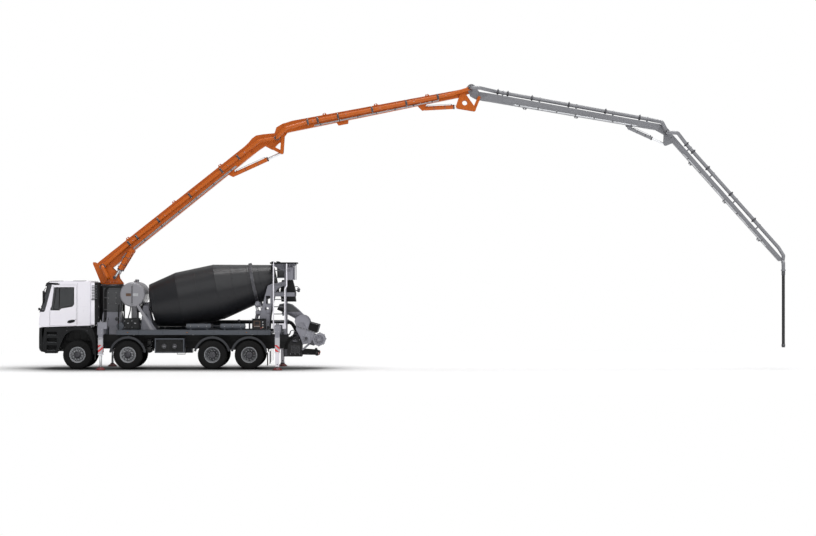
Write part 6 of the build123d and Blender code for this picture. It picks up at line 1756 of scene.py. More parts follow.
        def edge(x, top):
            if top:
                return tz0 + (tz1 - tz0) * (x - tx0) / (tx1 - tx0)
            return bz0 + (bz1 - bz0) * (x - bx0) / (bx1 - bx0)

        x0, x1 = max(tx0, bx0) + 0.3, min(tx1, bx1) - 0.2
        slope = 0.016
        for side in (-1, 1):
            y = side * half
            for top, into in ((True, -1), (False, 1)):
                za, zb = edge(x0, top) + into * slope, edge(x1, top) + into * slope
                piece.rod((x0, y, za), (x1, y, zb), 0.006, 6)
            # Two doubler plates with slanted ends at each end of the girder.
            for a, b in ((x0 + 0.02, x0 + 0.55), (x1 - 0.6, x1 - 0.02)):
                outline = []
                for x, share in ((a, 0.2), (b, 0.34), (b, 0.66), (a, 0.8)):
                    low, high = edge(x, False), edge(x, True)
                    outline.append((x, low + (high - low) * share))
                piece.prism(outline, y, y + side * 0.006, 0.003)
            for k in (0.32, 0.64):
                x = x0 + (x1 - x0) * k
                low, high = edge(x, False), edge(x, True)
                piece.rod((x, y, low + 0.02), (x, y, high - 0.02), 0.005, 6)
        for k in (0.16, 0.5, 0.84):
            x = x0 + (x1 - x0) * k
            z = edge(x, True)
            if index < 2:
                piece.plate([(x - 0.09, z - 0.004), (x + 0.09, z - 0.004), (x + 0.05, z + 0.075),
                    (x - 0.05, z + 0.075)], [circle(0.022, (x, z + 0.042), 14)], 0.05, 0.062)
            else:
                z = edge(x, False)
                piece.plate([(x - 0.09, z + 0.004), (x - 0.05, z - 0.06), (x + 0.05, z - 0.06),
                    (x + 0.09, z + 0.004)], [circle(0.018, (x, z - 0.032), 14)], 0.05, 0.062)
        piece.done(f"boom_{index + 1}", "orange_paint" if index < 2 else "silver_paint")

    def cap(self, piece, place, axis, radius):
        piece.use("dark_steel").lathe([(0, radius), (0.008, radius), (0.014, radius * 0.86),
            (0.014, radius * 0.5), (0.01, radius * 0.44), (0.01, 0.0)], place, axis, 30)
        piece.use("steel").nuts(Vector(place) + Vector(axis) * 0.013, axis, radius * 0.68, 6,
            radius * 0.11, 0.009)
        piece.lathe([(0.009, radius * 0.13), (0.026, radius * 0.13), (0.03, radius * 0.08)], place,
            axis, 8)

    def pins(self):
        """Bolted covers with grease nipples on the fold pins."""
        spots = (("turret", PINS[0], 0.236, 0.085), ("boom_1", PINS[1], None, 0.08),
            ("boom_2", PINS[2], None, 0.078), ("boom_3", PINS[3], None, 0.066))
        for number, (body, spot, half, radius) in enumerate(spots):
            piece = Piece(f"pin_covers_{number}", "dark_steel", "steel", "chrome")
            reach = half or self.side_of(body, spot)
            for side in (-1, 1):
                self.cap(piece, spot + Vector((0, side * reach, 0)), (0, side, 0), radius)
            piece.done(body, "chrome")

    def side_of(self, body, spot):
        """How far out the packed body reaches around a pin."""
        data = frame["nodes"][body].data
        near = [abs(v.co.y) for v in data.vertices
            if (Vector((v.co.x, 0, v.co.z)) - Vector((spot.x, 0, spot.z))).length < 0.12]
        return max(near) if near else 0.2

    def elbows(self):
        """Clamps on the pipe's swivels at each fold and on the riser."""
        swivels = (("turret", -0.44), ("boom_1", -0.388), ("boom_2", -0.375), ("boom_3", -0.288))
        for number, (body, y) in enumerate(swivels):
            x, z = PINS[number].x, PINS[number].z
            piece = Piece(f"swivel_clamp_{number}", "dark_steel", "steel")
            piece.lathe([(-0.03, 0.07), (-0.028, 0.09), (-0.014, 0.099), (0.014, 0.099),
                (0.028, 0.09), (0.03, 0.07)], (x, y, z), RIGHT, 30)
            for side in (-1, 1):
                ear = Vector((x + side * 0.104, y, z))
                piece.use("dark_steel").cube(ear, (0.018, 0.02, 0.026), 0.006)
                piece.use("steel").nut(ear + Vector((0, 0, 0.026)), UP, 0.012, 0.012)
            piece.done(body, "cast_iron")

    def ram_fittings(self):
        """Gland nuts, ports and feed lines on the cylinders."""
        for name, index, hinge, eye, length_of, radius, places, body in (("lift", 0, (1.2, -0.15),
                None, 0.846, 0.09, (-0.37, 0.37), "lift_cylinder"),
                ("fold_2", 0, (5.95, -0.115), (7.916, -0.532), 1.45, 0.078, (0.0,),
                "fold_2_cylinder"), ("fold_3", 1, (5.553, -0.28), (6.8327, -0.536), 1.19, 0.078,
                (0.0,), "fold_3_cylinder"), ("fold_4", 2, (6.107, -0.14), None, 0.95, 0.062, (0.0,),
                "fold_4_cylinder")):
            start = section(index) @ Vector((hinge[0], 0, hinge[1]))
            if name == "lift":
                end = LIFT_PIN
            elif name == "fold_4":
                end = section(3) @ Vector((0.272, 0, -0.343))
            else:
                end = section(index) @ Vector((eye[0], 0, eye[1]))
            way = (end - start).normalized()
            up = Vector((-way.z, 0, way.x))
            if up.z < 0:
                up = -up
            piece = Piece(name + "_ram_fittings", "orange" if index < 2 else "silver", "steel",
                "dark_steel")
            for y in places:
                foot = start + Vector((0, y, 0))
                head = foot + way * length_of
                piece.use("dark_steel").lathe([(-0.05, radius + 0.001), (-0.046, radius + 0.01),
                    (-0.006, radius + 0.01), (-0.001, radius * 0.8)], head, way, 30)
                for k in range(4):
                    a = pi / 4 + pi / 2 * k
                    side = Vector((0, cos(a), 0)) + up * sin(a)
                    piece.use("steel").block(head + side * (radius + 0.006)
                        - Vector((0.008, 0.008, 0.008)),
                        head + side * (radius + 0.006) + Vector((0.008, 0.008, 0.008)) - way * 0.02,
                        0.002)
                for at in (0.16, length_of - 0.1):
                    port = foot + way * at + up * (radius - 0.004)
                    piece.use("dark_steel").lathe([(0, 0.022), (0.026, 0.022), (0.03, 0.016)], port,
                        up, 6)
                piece.use("steel").tube([foot + way * (length_of - 0.1) + up * (radius + 0.026),
                    foot + way * (length_of - 0.16) + up * (radius + 0.034),
                    foot + way * 0.28 + up * (radius + 0.034),
                    foot + way * 0.16 + up * (radius + 0.028)], 0.009, 0.03, 8, 3)
                for at in (0.35, 0.7):
                    piece.use("dark_steel").band(0.01, radius + 0.001, radius + 0.004,
                        foot + way * length_of * at, way, 30)
            piece.done(body, "chrome")


class DrumMaker(bpy.types.Operator):
    """Make the drum's seams, running ring, mouth and hatch, and the fittings of its stands"""
    bl_idname = "pump_truck.drum"
    bl_label = "Drum fittings"

    def execute(self, context):
        piece = Piece("drum_fittings", "drum", "steel", "concrete", "dark_steel")
        start, axis = DRUM_MID, DRUM_AXIS

        def radius(at):
            if at < -1.45:
                return DRUM_RADIUS - (-1.45 - at) * (0.23 / 1.05)
            return DRUM_RADIUS if at < 0 else DRUM_RADIUS - at * (0.48 / 2.2)

        for at in (-2.38, -1.45, -0.72, 0.0, 0.62, 1.2, 1.62, 2.05):
            r = radius(at)
            piece.use("drum").lathe([(-0.008, r - 0.002), (-0.005, r + 0.003), (0.0, r + 0.0045),
                (0.005, r + 0.003), (0.008, r - 0.002)], start + axis * at, axis, 96)
        # Running ring between two dark shoulders.
        piece.use("dark_steel").band(0.047, 0.8052, 0.8065, start + axis * DRUM_RING_AT, axis, 96)
        piece.use("dark_steel")
        for at in (1.302, 1.408):
            piece.band(0.004, 0.7402, 0.8005, start + axis * at, axis, 96)
        piece.use("concrete").lathe([(2.196, 0.556), (2.203, 0.56), (2.206, 0.585), (2.203, 0.593),
            (2.196, 0.595)], start, axis, 72)
        # Front flange with its ring of bolts.
        piece.use("dark_steel").lathe([(-2.606, 0.3), (-2.606, 0.178), (-2.6, 0.172),
            (-2.585, 0.172)], start, axis, 48)
        piece.use("steel").nuts(start - axis * 2.606, -axis, 0.24, 16, 0.016, 0.016)
        # Mixing spiral inside the mouth: two blades that wind down the cone's wall.
        piece.use("concrete")
        side = axis.orthogonal().normalized()
        other = axis.cross(side)
        for first in (0.0, pi):
            rows = []
            for k in range(49):
                t = k / 48
                at = 2.17 - 3.2 * t
                turn = first + 2 * pi * 1.4 * t
                way = side * cos(turn) + other * sin(turn)
                r = radius(at) - 0.012
                tall = 0.14 + 0.2 * min(t * 3, 1)
                rows.append([start + axis * at + way * r, start + axis * (at + 0.006) + way * r,
                    start + axis * (at + 0.006) + way * (r - tall),
                    start + axis * at + way * (r - tall)])
            piece.grid(rows)
        # Oval hatch on the far side of the cylindrical course, with clamps.
        side = Vector((0, 1, 0))
        across = axis.cross(side)
        middle = start - axis * 0.72
        rows = []
        for shift, size in ((-0.004, 1.0), (0.014, 1.0), (0.02, 0.94), (0.02, 0.0)):
            row = []
            for k in range(40):
                a = 2 * pi * k / 40
                u, v = 0.26 * cos(a) * size, 0.2 * sin(a) * size
                lean = v / DRUM_RADIUS
                row.append(middle + axis * u + (side * cos(lean) + across * sin(lean))
                    * (DRUM_RADIUS + shift))
            rows.append(row)
        piece.use("drum").grid(rows, cap=False)
        for k in range(6):
            a = 2 * pi * k / 6 + 0.3
            lean = 0.165 * sin(a) / DRUM_RADIUS
            out = side * cos(lean) + across * sin(lean)
            piece.use("steel").nut(middle + axis * 0.215 * cos(a) + out * 1.06, out, 0.016, 0.014)
        piece.done("mixer_drum", "charcoal_paint")
        self.stands()
        self.tank()
        return {"FINISHED"}

    def stands(self):
        """Gearbox ribs and motor, roller covers, spray guard and the hoses to the drum's drive."""
        piece = Piece("drive_fittings", "stand", "dark_steel", "steel", "rubber")
        start, axis = DRUM_MID, DRUM_AXIS
        gear = start - axis * 2.86
        # Gusset plates on both sides of the front stand.
        for y in (-0.705, 0.705):
            piece.use("stand").prism([(-10.17, DECK_TOP), (-9.56, DECK_TOP), (-9.6, 1.5),
                (-10.02, 2.08), (-10.08, 2.08)], y - 0.006, y + 0.006, 0.002)
        for k in range(4):
            piece.use("stand").band(0.006, 0.171, 0.186, gear + axis * (0.03 + 0.045 * k), axis, 36)
        piece.nuts(gear, -axis, 0.145, 10, 0.014, 0.014)
        piece.use("dark_steel").lathe([(0, 0.115), (-0.02, 0.118), (-0.1, 0.11), (-0.12, 0.088),
            (-0.2, 0.084), (-0.21, 0.05)], gear, axis, 32)
        for k, y in enumerate((-0.05, 0.05)):
            piece.use("rubber").tube([gear - axis * 0.17 + Vector((0, y, 0.08)),
                gear - axis * 0.2 + Vector((0, y * 2, 0.2)),
                gear - axis * 0.02 + Vector((0, y * 7, 0.24)), (gear.x + 0.12, y * 7, 1.9),
                (gear.x + 0.12, y * 7, 1.3)], 0.018, 0.12)
        ring = start + axis * DRUM_RING_AT
        for side in (-1, 1):
            spot = ring + Vector((0, side * 0.5304, 0)) - Vector((-axis.z, 0, axis.x)) * 0.7575
            for end in (-0.112, 0.112):
                out = 1 if end > 0 else -1
                piece.use("dark_steel").lathe([(-out * 0.006, 0.052), (out * 0.006, 0.052),
                    (out * 0.01, 0.03)], spot + axis * end, axis, 20)
            for end in (-0.062, 0.062):
                piece.use("steel").lathe([(-0.002, 0.06), (0.002, 0.06), (0.003, 0.115),
                    (-0.003, 0.115)], spot + axis * end, axis, 32)
        for x in (-10.17, -9.76, -5.98, -5.6):
            for y in (-0.385, 0.385):
                piece.use("steel").nut((x, y + 0.045, 1.281), UP, 0.018, 0.018)
                piece.nut((x, y - 0.045, 1.281), UP, 0.018, 0.018)
        piece.done("chassis", "grey_paint")

    def tank(self):
        """Straps, end rings, sight tube, bare plates, fill cap, valves and pipes of the tank."""
        x, z, r = -10.445, 2.775, 0.455
        piece = Piece("tank_fittings", "tank", "dark_steel", "steel", "rubber", "copper")
        for y in (-0.7, 0.0, 0.7):
            piece.use("tank").band(0.035, r, r + 0.005, (x, y, z), RIGHT, 72)
        for y in (-1.045, 1.045):
            piece.lathe([(-0.005, r - 0.001), (-0.003, r + 0.003), (0.003, r + 0.003),
                (0.005, r - 0.001)], (x, y, z), RIGHT, 72)
        # Sight tube with its two elbows, over a bare plate.
        piece.use("dark_steel").rod((x - 0.005, -1.122, z - 0.345), (x - 0.005, -1.122, z + 0.345),
            0.012, 12)
        for k in (-0.345, 0.345):
            piece.lathe([(0, 0.026), (0.024, 0.026), (0.028, 0.018)], (x - 0.005, -1.098, z + k),
                LEFT, 16)
            piece.use("steel").lathe([(-0.022, 0.02), (0.022, 0.02)], (x - 0.005, -1.122, z + k),
                UP, 6)
            piece.use("dark_steel")
        for k in (-0.12, 0.12):
            piece.block((x - 0.025, -1.13, z + k - 0.01), (x + 0.015, -1.099, z + k + 0.01), 0.003)
        piece.use("copper").block((x - 0.235, -1.106, z - 0.062), (x - 0.04, -1.0995, z + 0.048),
            0.002)
        piece.use("steel").block((x + 0.03, -1.106, z - 0.062), (x + 0.225, -1.0995, z + 0.048),
            0.002)
        # Fill cap with a lever.
        piece.use("dark_steel").lathe([(0, 0.078), (0.012, 0.08), (0.022, 0.07), (0.026, 0.03),
            (0.027, 0.0)], (x, 0.7, z + r + 0.06), UP, 32)
        piece.use("steel").tube([(x - 0.07, 0.7, z + r + 0.09), (x, 0.7, z + r + 0.105),
            (x + 0.07, 0.7, z + r + 0.09)], 0.007, 0.03)
        piece.use("steel").lathe([(0, 0.035), (0.03, 0.035), (0.034, 0.02), (0.055, 0.02),
            (0.058, 0.0)], (x + 0.02, -0.45, z + r - 0.004), UP, 16)
        # Drain and pump pipe below the tank.
        piece.use("dark_steel").tube([(x, -0.18, z - r + 0.01), (x, -0.18, z - r - 0.16),
            (x + 0.3, -0.18, z - r - 0.2), (x + 0.3, -0.18, 1.5)], 0.03, 0.08, 12)
        piece.lathe([(-0.03, 0.045), (0.03, 0.045)], (x, -0.18, z - r - 0.08), UP, 8)
        piece.use("rubber").tube([(x - 0.18, 0.12, z - r + 0.03), (x - 0.2, 0.12, z - r - 0.18),
            (x - 0.28, 0.14, 1.9), (x - 0.28, 0.16, 1.5)], 0.02, 0.12)
        piece.done("chassis", "grey_paint")


class RearMaker(bpy.types.Operator):
    """Make the rear stand with its ladder and funnel, the chute, the pump hopper and the pump"""
    bl_idname = "pump_truck.rear"
    bl_label = "Rear end"

    def execute(self, context):
        self.stand()
        self.ladder(context.scene.truck_deck)
        self.chute()
        self.hopper()
        self.pump()
        self.underrun()
        return {"FINISHED"}

    def trough(self, piece, rings):
        """A sheet funnel from rings of (x0, x1, half width, z, corner), with an inner skin."""
        rows = []
        for inset in (0.0, 0.006):
            part = []
            for x0, x1, half, z, corner in rings:
                loop = rounded(x0 + inset, -half + inset, x1 - inset, half - inset,
                    max(corner - inset, 0.005), 4)
                part.append([(x, y, z) for x, y in loop])
            rows += part if inset == 0.0 else part[::-1]
        piece.grid(rows, ends=True)

    def stand(self):
        piece = Piece("rear_stand", "stand", "tread", "dark_steel", "steel", "column", "trim")
        for side in (-1, 1):
            piece.use("stand").block((-4.835, side * 0.385 - 0.04, 1.281),
                (-4.745, side * 0.385 + 0.04, 3.9), 0.008)
            piece.block((-4.85, side * 0.385 - 0.09, 1.281), (-4.73, side * 0.385 + 0.09, 1.295),
                0.003)
            for x in (-4.822, -4.758):
                piece.use("steel").nut((x, side * 0.45, 1.295), UP, 0.013, 0.012)
            # Brackets under the platform.
            piece.use("stand").prism([(-5.32, 3.918), (-5.32, 3.88), (-4.86, 3.64), (-4.79, 3.64),
                (-4.4, 3.88), (-4.4, 3.918)], side * 0.385 - 0.01, side * 0.385 + 0.01, 0.002)
            # Leaning plate beside the drum's mouth, with two windows, on a foot over the walkway.
            outline = [(-5.76, 1.462), (-5.4, 1.462), (-5.37, 1.95), (-5.29, 2.42), (-5.205, 2.82),
                (-5.05, 3.02), (-4.8, 3.13), (-4.8, 3.25), (-5.3, 3.15), (-5.43, 3.08),
                (-5.58, 2.52), (-5.72, 1.95)]
            piece.plate(outline, [rounded(-5.5, 2.42, -5.34, 2.72, 0.02),
                rounded(-5.55, 2.2, -5.4, 2.29, 0.02)], side * 0.705, side * 0.715)
            piece.bead(outline + outline[:1], side * 0.71, 0.016)
            piece.block((-5.78, side * 0.76 - 0.07, DECK_TOP), (-5.38, side * 0.76 + 0.07, 1.474),
                0.002)
            for x in (-5.72, -5.44):
                piece.use("steel").nut((x, side * 0.79, 1.474), UP, 0.014, 0.012)
            piece.use("stand").block((-5.47, side * 0.735 - 0.018, 2.08),
                (-5.36, side * 0.735 + 0.018, 2.19), 0.006)
            # Post and side bars that carry the collector.
            piece.block((-4.45, side * 0.6 - 0.01, 3.31), (-4.42, side * 0.6 + 0.01, PLATFORM[0]),
                0.003)
            piece.block((-5.28, side * 0.72 - 0.012, 2.7), (-4.43, side * 0.72 + 0.012, 2.85),
                0.004)
            piece.block((-4.83, side * 0.42, 2.735), (-4.75, side * 0.72, 2.815), 0.006)
            piece.block((-5.24, side * 0.6 - 0.25, 3.885), (-5.18, side * 0.6 + 0.25, 3.922), 0.004)
            # Panel with louvres at the side of the charging funnel.
            piece.block((-4.775, side * 0.6 - 0.018, 3.315), (-4.495, side * 0.6 + 0.018, 3.8),
                0.01)
            for k in range(4):
                piece.use("dark_steel").block((-4.735, side * 0.6185 - 0.001, 3.62 + 0.03 * k),
                    (-4.6, side * 0.6185 + 0.001, 3.632 + 0.03 * k), 0.0005)
            piece.use("stand").block((-4.66, side * 0.6 - 0.016, 3.8),
                (-4.6, side * 0.6 + 0.016, PLATFORM[0]), 0.004)
        # Platform of tread plate round the funnel, with an upright lip.
        for low, high in (((-5.34, -0.85, PLATFORM[0]), (-5.15, 0.85, PLATFORM[1])),
                ((-4.47, -0.85, PLATFORM[0]), (-4.37, 0.85, PLATFORM[1])),
                ((-5.15, -0.85, PLATFORM[0]), (-4.47, -0.345, PLATFORM[1])),
                ((-5.15, 0.345, PLATFORM[0]), (-4.47, 0.85, PLATFORM[1]))):
            piece.use("tread").block(low, high, 0.003)
        for low, high in (((-5.345, -0.855, 3.912), (-5.335, 0.855, 3.972)),
                ((-4.375, -0.855, 3.912), (-4.365, 0.855, 3.972)),
                ((-5.345, -0.855, 3.912), (-4.365, -0.845, 3.972)),
                ((-5.345, 0.845, 3.912), (-4.365, 0.855, 3.972))):
            piece.use("trim").block(low, high, 0.002)
        # Folded guard rail on the platform.
        piece.use("trim").tube([(-5.28, -0.78, 3.96), (-5.28, -0.78, 3.99), (-5.28, 0.78, 3.99),
            (-5.28, 0.78, 3.96)], 0.017, 0.06)
        piece.tube([(-5.02, -0.78, 3.96), (-5.1, -0.78, 3.995), (-5.1, 0.78, 3.995),
            (-5.02, 0.78, 3.96)], 0.017, 0.06)
        # Charging funnel above, with a rolled rim, and the dark collector below the mouth.
        piece.use("column")
        self.trough(piece, ((-5.125, -4.49, 0.33, 3.953, 0.06), (-5.115, -4.5, 0.325, 3.9, 0.06),
            (-5.11, -4.8, 0.2, 3.38, 0.05)))
        piece.use("trim")
        self.trough(piece, ((-4.93, -4.53, 0.335, 3.31, 0.08), (-4.99, -4.42, 0.335, 2.9, 0.08),
            (-4.975, -4.43, 0.32, 2.69, 0.08), (-4.95, -4.4, 0.24, 2.5, 0.07)))
        # Work lamp on an arm.
        piece.use("dark_steel").tube([(-4.44, -0.58, 3.05), (-4.36, -0.58, 3.08),
            (-4.28, -0.58, 3.03)], 0.012, 0.03)
        piece.block((-4.34, -0.64, 2.86), (-4.24, -0.52, 3.02), 0.02)
        piece.block((-4.43, -0.6, 2.9), (-4.33, -0.56, 2.94), 0.006)
        piece.use("lamp").lathe([(0, 0.044), (0.006, 0.046), (0.012, 0.038), (0.013, 0.0)],
            (-4.24, -0.58, 2.94), (1, 0, -0.3), 20)
        # Bearing of the chute.
        piece.use("stand").block((-4.91, -0.35, 1.975), (-4.755, 0.35, 2.036), 0.005)
        piece.band((-0.074, 0.07), 0.047, 0.075, (CHUTE_PIN_X, 0, 2.11), UP, 32)
        piece.done("chassis", "grey_paint", replaces=("rear_platform",))

    def ladder(self, given):
        piece = Piece("rear_ladder", "white", "tread", "steel")
        piece.prism([(-5.235, 1.7), (-5.19, 1.7), (-5.19, 3.92), (-5.235, 3.92)], -0.922, -0.878,
            0.004)
        piece.prism([(-4.812, 1.7), (-4.768, 1.7), (-4.768, 2.98), (-4.7, 3.08), (-4.7, 3.92),
            (-4.744, 3.92), (-4.744, 3.09), (-4.812, 2.99)], -0.922, -0.878, 0.004)
        z = 1.78
        while z < 3.84:
            x1 = -4.745 if z > 3.08 else -4.812
            piece.use("tread").block((-5.19, -0.94, z - 0.016), (x1, -0.86, z + 0.016), 0.004)
            for k in range(5):
                x = -5.15 + (x1 + 5.11) * k / 4
                piece.use("white").block((x - 0.006, -0.944, z + 0.016),
                    (x + 0.006, -0.856, z + 0.021), 0.002)
            z += given.rung_gap
        # Wide first step over the housing of the rear outriggers.
        piece.use("white").block((-5.245, -1.02, 1.638), (-4.755, -0.78, 1.7), 0.006)
        piece.block((-5.245, -1.02, 1.5), (-5.145, -0.78, 1.638), 0.006)
        piece.block((-4.875, -1.02, 1.5), (-4.755, -0.78, 1.638), 0.006)
        for z in (1.78, 2.78, 3.7):
            x = -4.79 if z < 3 else -4.722
            piece.use("white").block((x - 0.018, -0.878, z - 0.018), (x + 0.018, -0.71, z + 0.018),
                0.004)
            piece.use("steel").nut((x, -0.922, z), LEFT, 0.012, 0.01)
        piece.use("white").tube([(-5.21, -0.9, 3.9), (-5.21, -0.9, 3.99), (-5.21, -0.82, 4.02)],
            0.014, 0.04)
        piece.done("chassis", "grey_paint")

    def chute(self):
        """An open trough with rolled rims that turns on a pin under the collector."""
        piece = Piece("concrete_chute", "column", "stand", "steel", "concrete")
        line = [(-5.04, 2.345), (-4.86, 2.27), (-4.66, 2.185), (-4.46, 2.07), (-4.3, 1.965),
            (-4.16, 1.865)]

        def ring(x, z, size, radius):
            side = [(-radius, size)]
            side += [(-radius * cos(pi * k / 12), -radius * 0.75 * sin(pi * k / 12))
                for k in range(13)]
            side += [(radius, size)]
            return [(x + 0.1 * (up / 0.2), y, z + up) for y, up in side]

        skins = []
        for inset in (0.0, 0.008):
            part = []
            for k, (x, z) in enumerate(line):
                size = (0.05, 0.17, 0.2, 0.17, 0.14, 0.11)[k]
                part.append(ring(x, z, size, 0.205 - inset))
            skins.append(part)
        for finish, skin in zip(("column", "concrete"), skins):
            piece.use(finish).grid(skin, loop=False, cap=False)
        for k in (0, -1):
            piece.use("column").grid([skins[0][k], skins[1][k]], loop=False, cap=False)
        for end in (0, -1):
            piece.use("stand").tube([ring_points[end] for ring_points in skins[0]], 0.013, 0.03)
        for k in (1, 3, 5):
            piece.use("column").tube(skins[0][k][1:-1], 0.011, 0.02, 6, 2)
        # Closed back, strengthening rail and turning pin.
        piece.use("column").grid([skins[0][0],
            [(x - 0.001, y, z + 0.02) for x, y, z in skins[0][0]]], loop=False, cap=False)
        piece.use("column").rod((CHUTE_PIN_X, 0, 2.04), (CHUTE_PIN_X, 0, 2.112), 0.04, 24)
        piece.lathe([(0.041, 0.045), (0.055, 0.09), (0.075, 0.09), (0.075, 0.02)],
            (CHUTE_PIN_X, 0, 2.0), UP, 24)
        for side in (-1, 1):
            piece.use("stand").tube([(CHUTE_PIN_X, side * 0.04, 2.09), (-4.7, side * 0.17, 2.02),
                (-4.34, side * 0.19, 1.84)], 0.014, 0.05)
        piece.use("stand").tube([(-4.4, -0.214, 2.1), (-4.4, -0.26, 2.06), (-4.26, -0.26, 1.97),
            (-4.26, -0.214, 2.01)], 0.01, 0.03)
        piece.done("discharge_chute", "grey_paint", replaces=("discharge_chute",))

    def hopper(self):
        piece = Piece("hopper", "hopper", "column", "rubber", "steel", "dark_steel", "concrete")
        body = [(-4.375, 1.6), (-3.7, 1.365), (-3.735, 1.2), (-3.86, 0.96), (-4.13, 0.925),
            (-4.225, 1.205), (-4.385, 1.48)]
        inner = [(-4.365, 1.64), (-3.7, 1.4), (-3.743, 1.203), (-3.866, 0.968), (-4.124, 0.934),
            (-4.217, 1.208), (-4.377, 1.482)]
        for side in (-1, 1):
            piece.use("hopper").plate(body, [circle(0.1, (SHAFT_X, SHAFT_Z), 20)], side * 0.65,
                side * 0.641)
            piece.bead(body[1:], side * 0.648, 0.012)
            # Stiffening ribs on the side sheet.
            for rib in (((-4.24, 1.22), (-4.2, 1.53)), ((-4.02, 0.95), (-3.99, 1.455)),
                    ((-3.83, 1.03), (-3.8, 1.39))):
                piece.bead(rib, side * 0.656, 0.013, 0.15)
            # Arched cheek with a window and a braced lug.
            arch = [(-4.375, 1.6), (-4.425, 1.78), (-4.395, 1.868), (-4.33, 1.935), (-4.24, 1.978),
                (-4.145, 1.99), (-4.05, 1.97), (-3.965, 1.91), (-3.905, 1.82), (-3.88, 1.735),
                (-3.96, 1.455)]
            window = [(-4.33, 1.615), (-4.11, 1.54), (-4.06, 1.59), (-4.085, 1.7), (-4.19, 1.735),
                (-4.3, 1.7)]
            piece.use("hopper").plate(arch, [window], side * 0.652, side * 0.642)
            piece.bead(arch, side * 0.65, 0.014)
            piece.rod((-4.085, side * 0.655, 1.735), (-3.955, side * 0.655, 1.47), 0.024, 10)
            # A dark sheet fills the window: painted shade standing in for the dim inside seen
            # through it.
            piece.use("column").plate(window, [], side * 0.6445, side * 0.6425)
            # Sloping flange along the rim.
            piece.use("dark_steel").prism([(-4.395, 1.59), (-3.69, 1.345), (-3.684, 1.366),
                (-4.389, 1.612)], side * 0.652, side * 0.676, 0.002)
            for k in range(7):
                t = 0.06 + 0.147 * k
                spot = Vector((-4.395 + 0.705 * t, side * 0.676, 1.6 - 0.245 * t))
                piece.use("steel").nut(spot, (0, side, 0), 0.01, 0.009)
            # Agitator bearing with its motor.
            piece.use("hopper").lathe([(0, 0.15), (0.016, 0.15), (0.02, 0.12), (0.05, 0.095),
                (0.07, 0.09)], (SHAFT_X, side * 0.65, SHAFT_Z), (0, side, 0), 36)
            piece.use("steel").nuts((SHAFT_X, side * 0.666, SHAFT_Z), (0, side, 0), 0.132, 8, 0.011,
                0.01)
            piece.use("dark_steel").lathe([(0, 0.06), (0.07, 0.06), (0.08, 0.05), (0.08, 0.0)],
                (SHAFT_X, side * 0.718, SHAFT_Z), (0, side, 0), 24)
            # Ribbed outlet housing: a drum with spokes, a rim and a hub.
            centre = Vector((OUTLET_X, side * 0.52, OUTLET_Z))
            piece.use("hopper").lathe([(0, 0.15), (0, 0.205), (0.02, 0.222), (0.12, 0.226),
                (0.14, 0.218), (0.145, 0.18), (0.125, 0.172), (0.085, 0.165), (0.085, 0.075),
                (0.11, 0.068), (0.15, 0.062), (0.152, 0.0)], centre, (0, side, 0), 48)
            for k in range(10):
                a = 2 * pi * k / 10 + 0.2
                way = Vector((cos(a), 0, sin(a)))
                up = Vector((-sin(a), 0, cos(a)))
                piece.grid([[centre + way * r + up * w + Vector((0, side * d, 0))
                    for w, d in ((-0.012, 0.086), (0.012, 0.086), (0.012, deep), (-0.012, deep))]
                    for r, deep in ((0.064, 0.138), (0.176, 0.128))])
            piece.use("steel").nuts(centre + Vector((0, side * 0.152, 0)), (0, side, 0), 0.04, 5,
                0.009, 0.008)
            for k in range(8):
                a = 2 * pi * k / 8
                way = Vector((cos(a), 0, sin(a)))
                piece.use("hopper").lathe([(0.0, 0.022), (0.12, 0.022), (0.13, 0.012)],
                    centre + way * 0.232 + Vector((0, side * 0.01, 0)), (0, side, 0), 10)
            # Swing arm between the hopper and the housing, and a slanting stay.
            piece.use("dark_steel").prism([(-3.9, 1.2), (-3.74, 1.28), (-3.58, 1.24), (-3.58, 0.96),
                (-3.72, 0.86), (-3.86, 0.9)], side * 0.53, side * 0.6, 0.006)
            piece.use("hopper").rod((-4.16, side * 0.56, 0.7), (-3.83, side * 0.56, 0.985), 0.034,
                14)
        # Floor, front and rear sheets of the trough, with concrete stains inside.
        for (xa, za), (xb, zb), (xc, zc), (xd, zd) in zip(body[2:6], body[3:7], inner[2:6],
                inner[3:7]):
            piece.use("hopper").grid([[(xa, -0.645, za), (xa, 0.645, za)],
                [(xb, -0.645, zb), (xb, 0.645, zb)]], loop=False, cap=False)
            piece.use("concrete").grid([[(xc, -0.641, zc), (xc, 0.641, zc)],
                [(xd, -0.641, zd), (xd, 0.641, zd)]], loop=False, cap=False)
        piece.use("hopper").prism([(-4.392, 1.478), (-4.372, 1.615), (-4.364, 1.612),
            (-4.384, 1.478)], -0.645, 0.645, 0.001)
        piece.prism([(-3.737, 1.2), (-3.702, 1.38), (-3.692, 1.378), (-3.727, 1.198)], -0.645,
            0.645, 0.001)
        # Grate of bars under the chute.
        for k in range(15):
            y = -0.58 + 1.16 * k / 14
            piece.use("steel").rod((-4.355, y, 1.575), (-3.725, y, 1.36), 0.011, 8)
        for t in (0.15, 0.5, 0.85):
            piece.rod((-4.355 + 0.63 * t, -0.63, 1.592 - 0.215 * t),
                (-4.355 + 0.63 * t, 0.63, 1.592 - 0.215 * t), 0.014, 8)
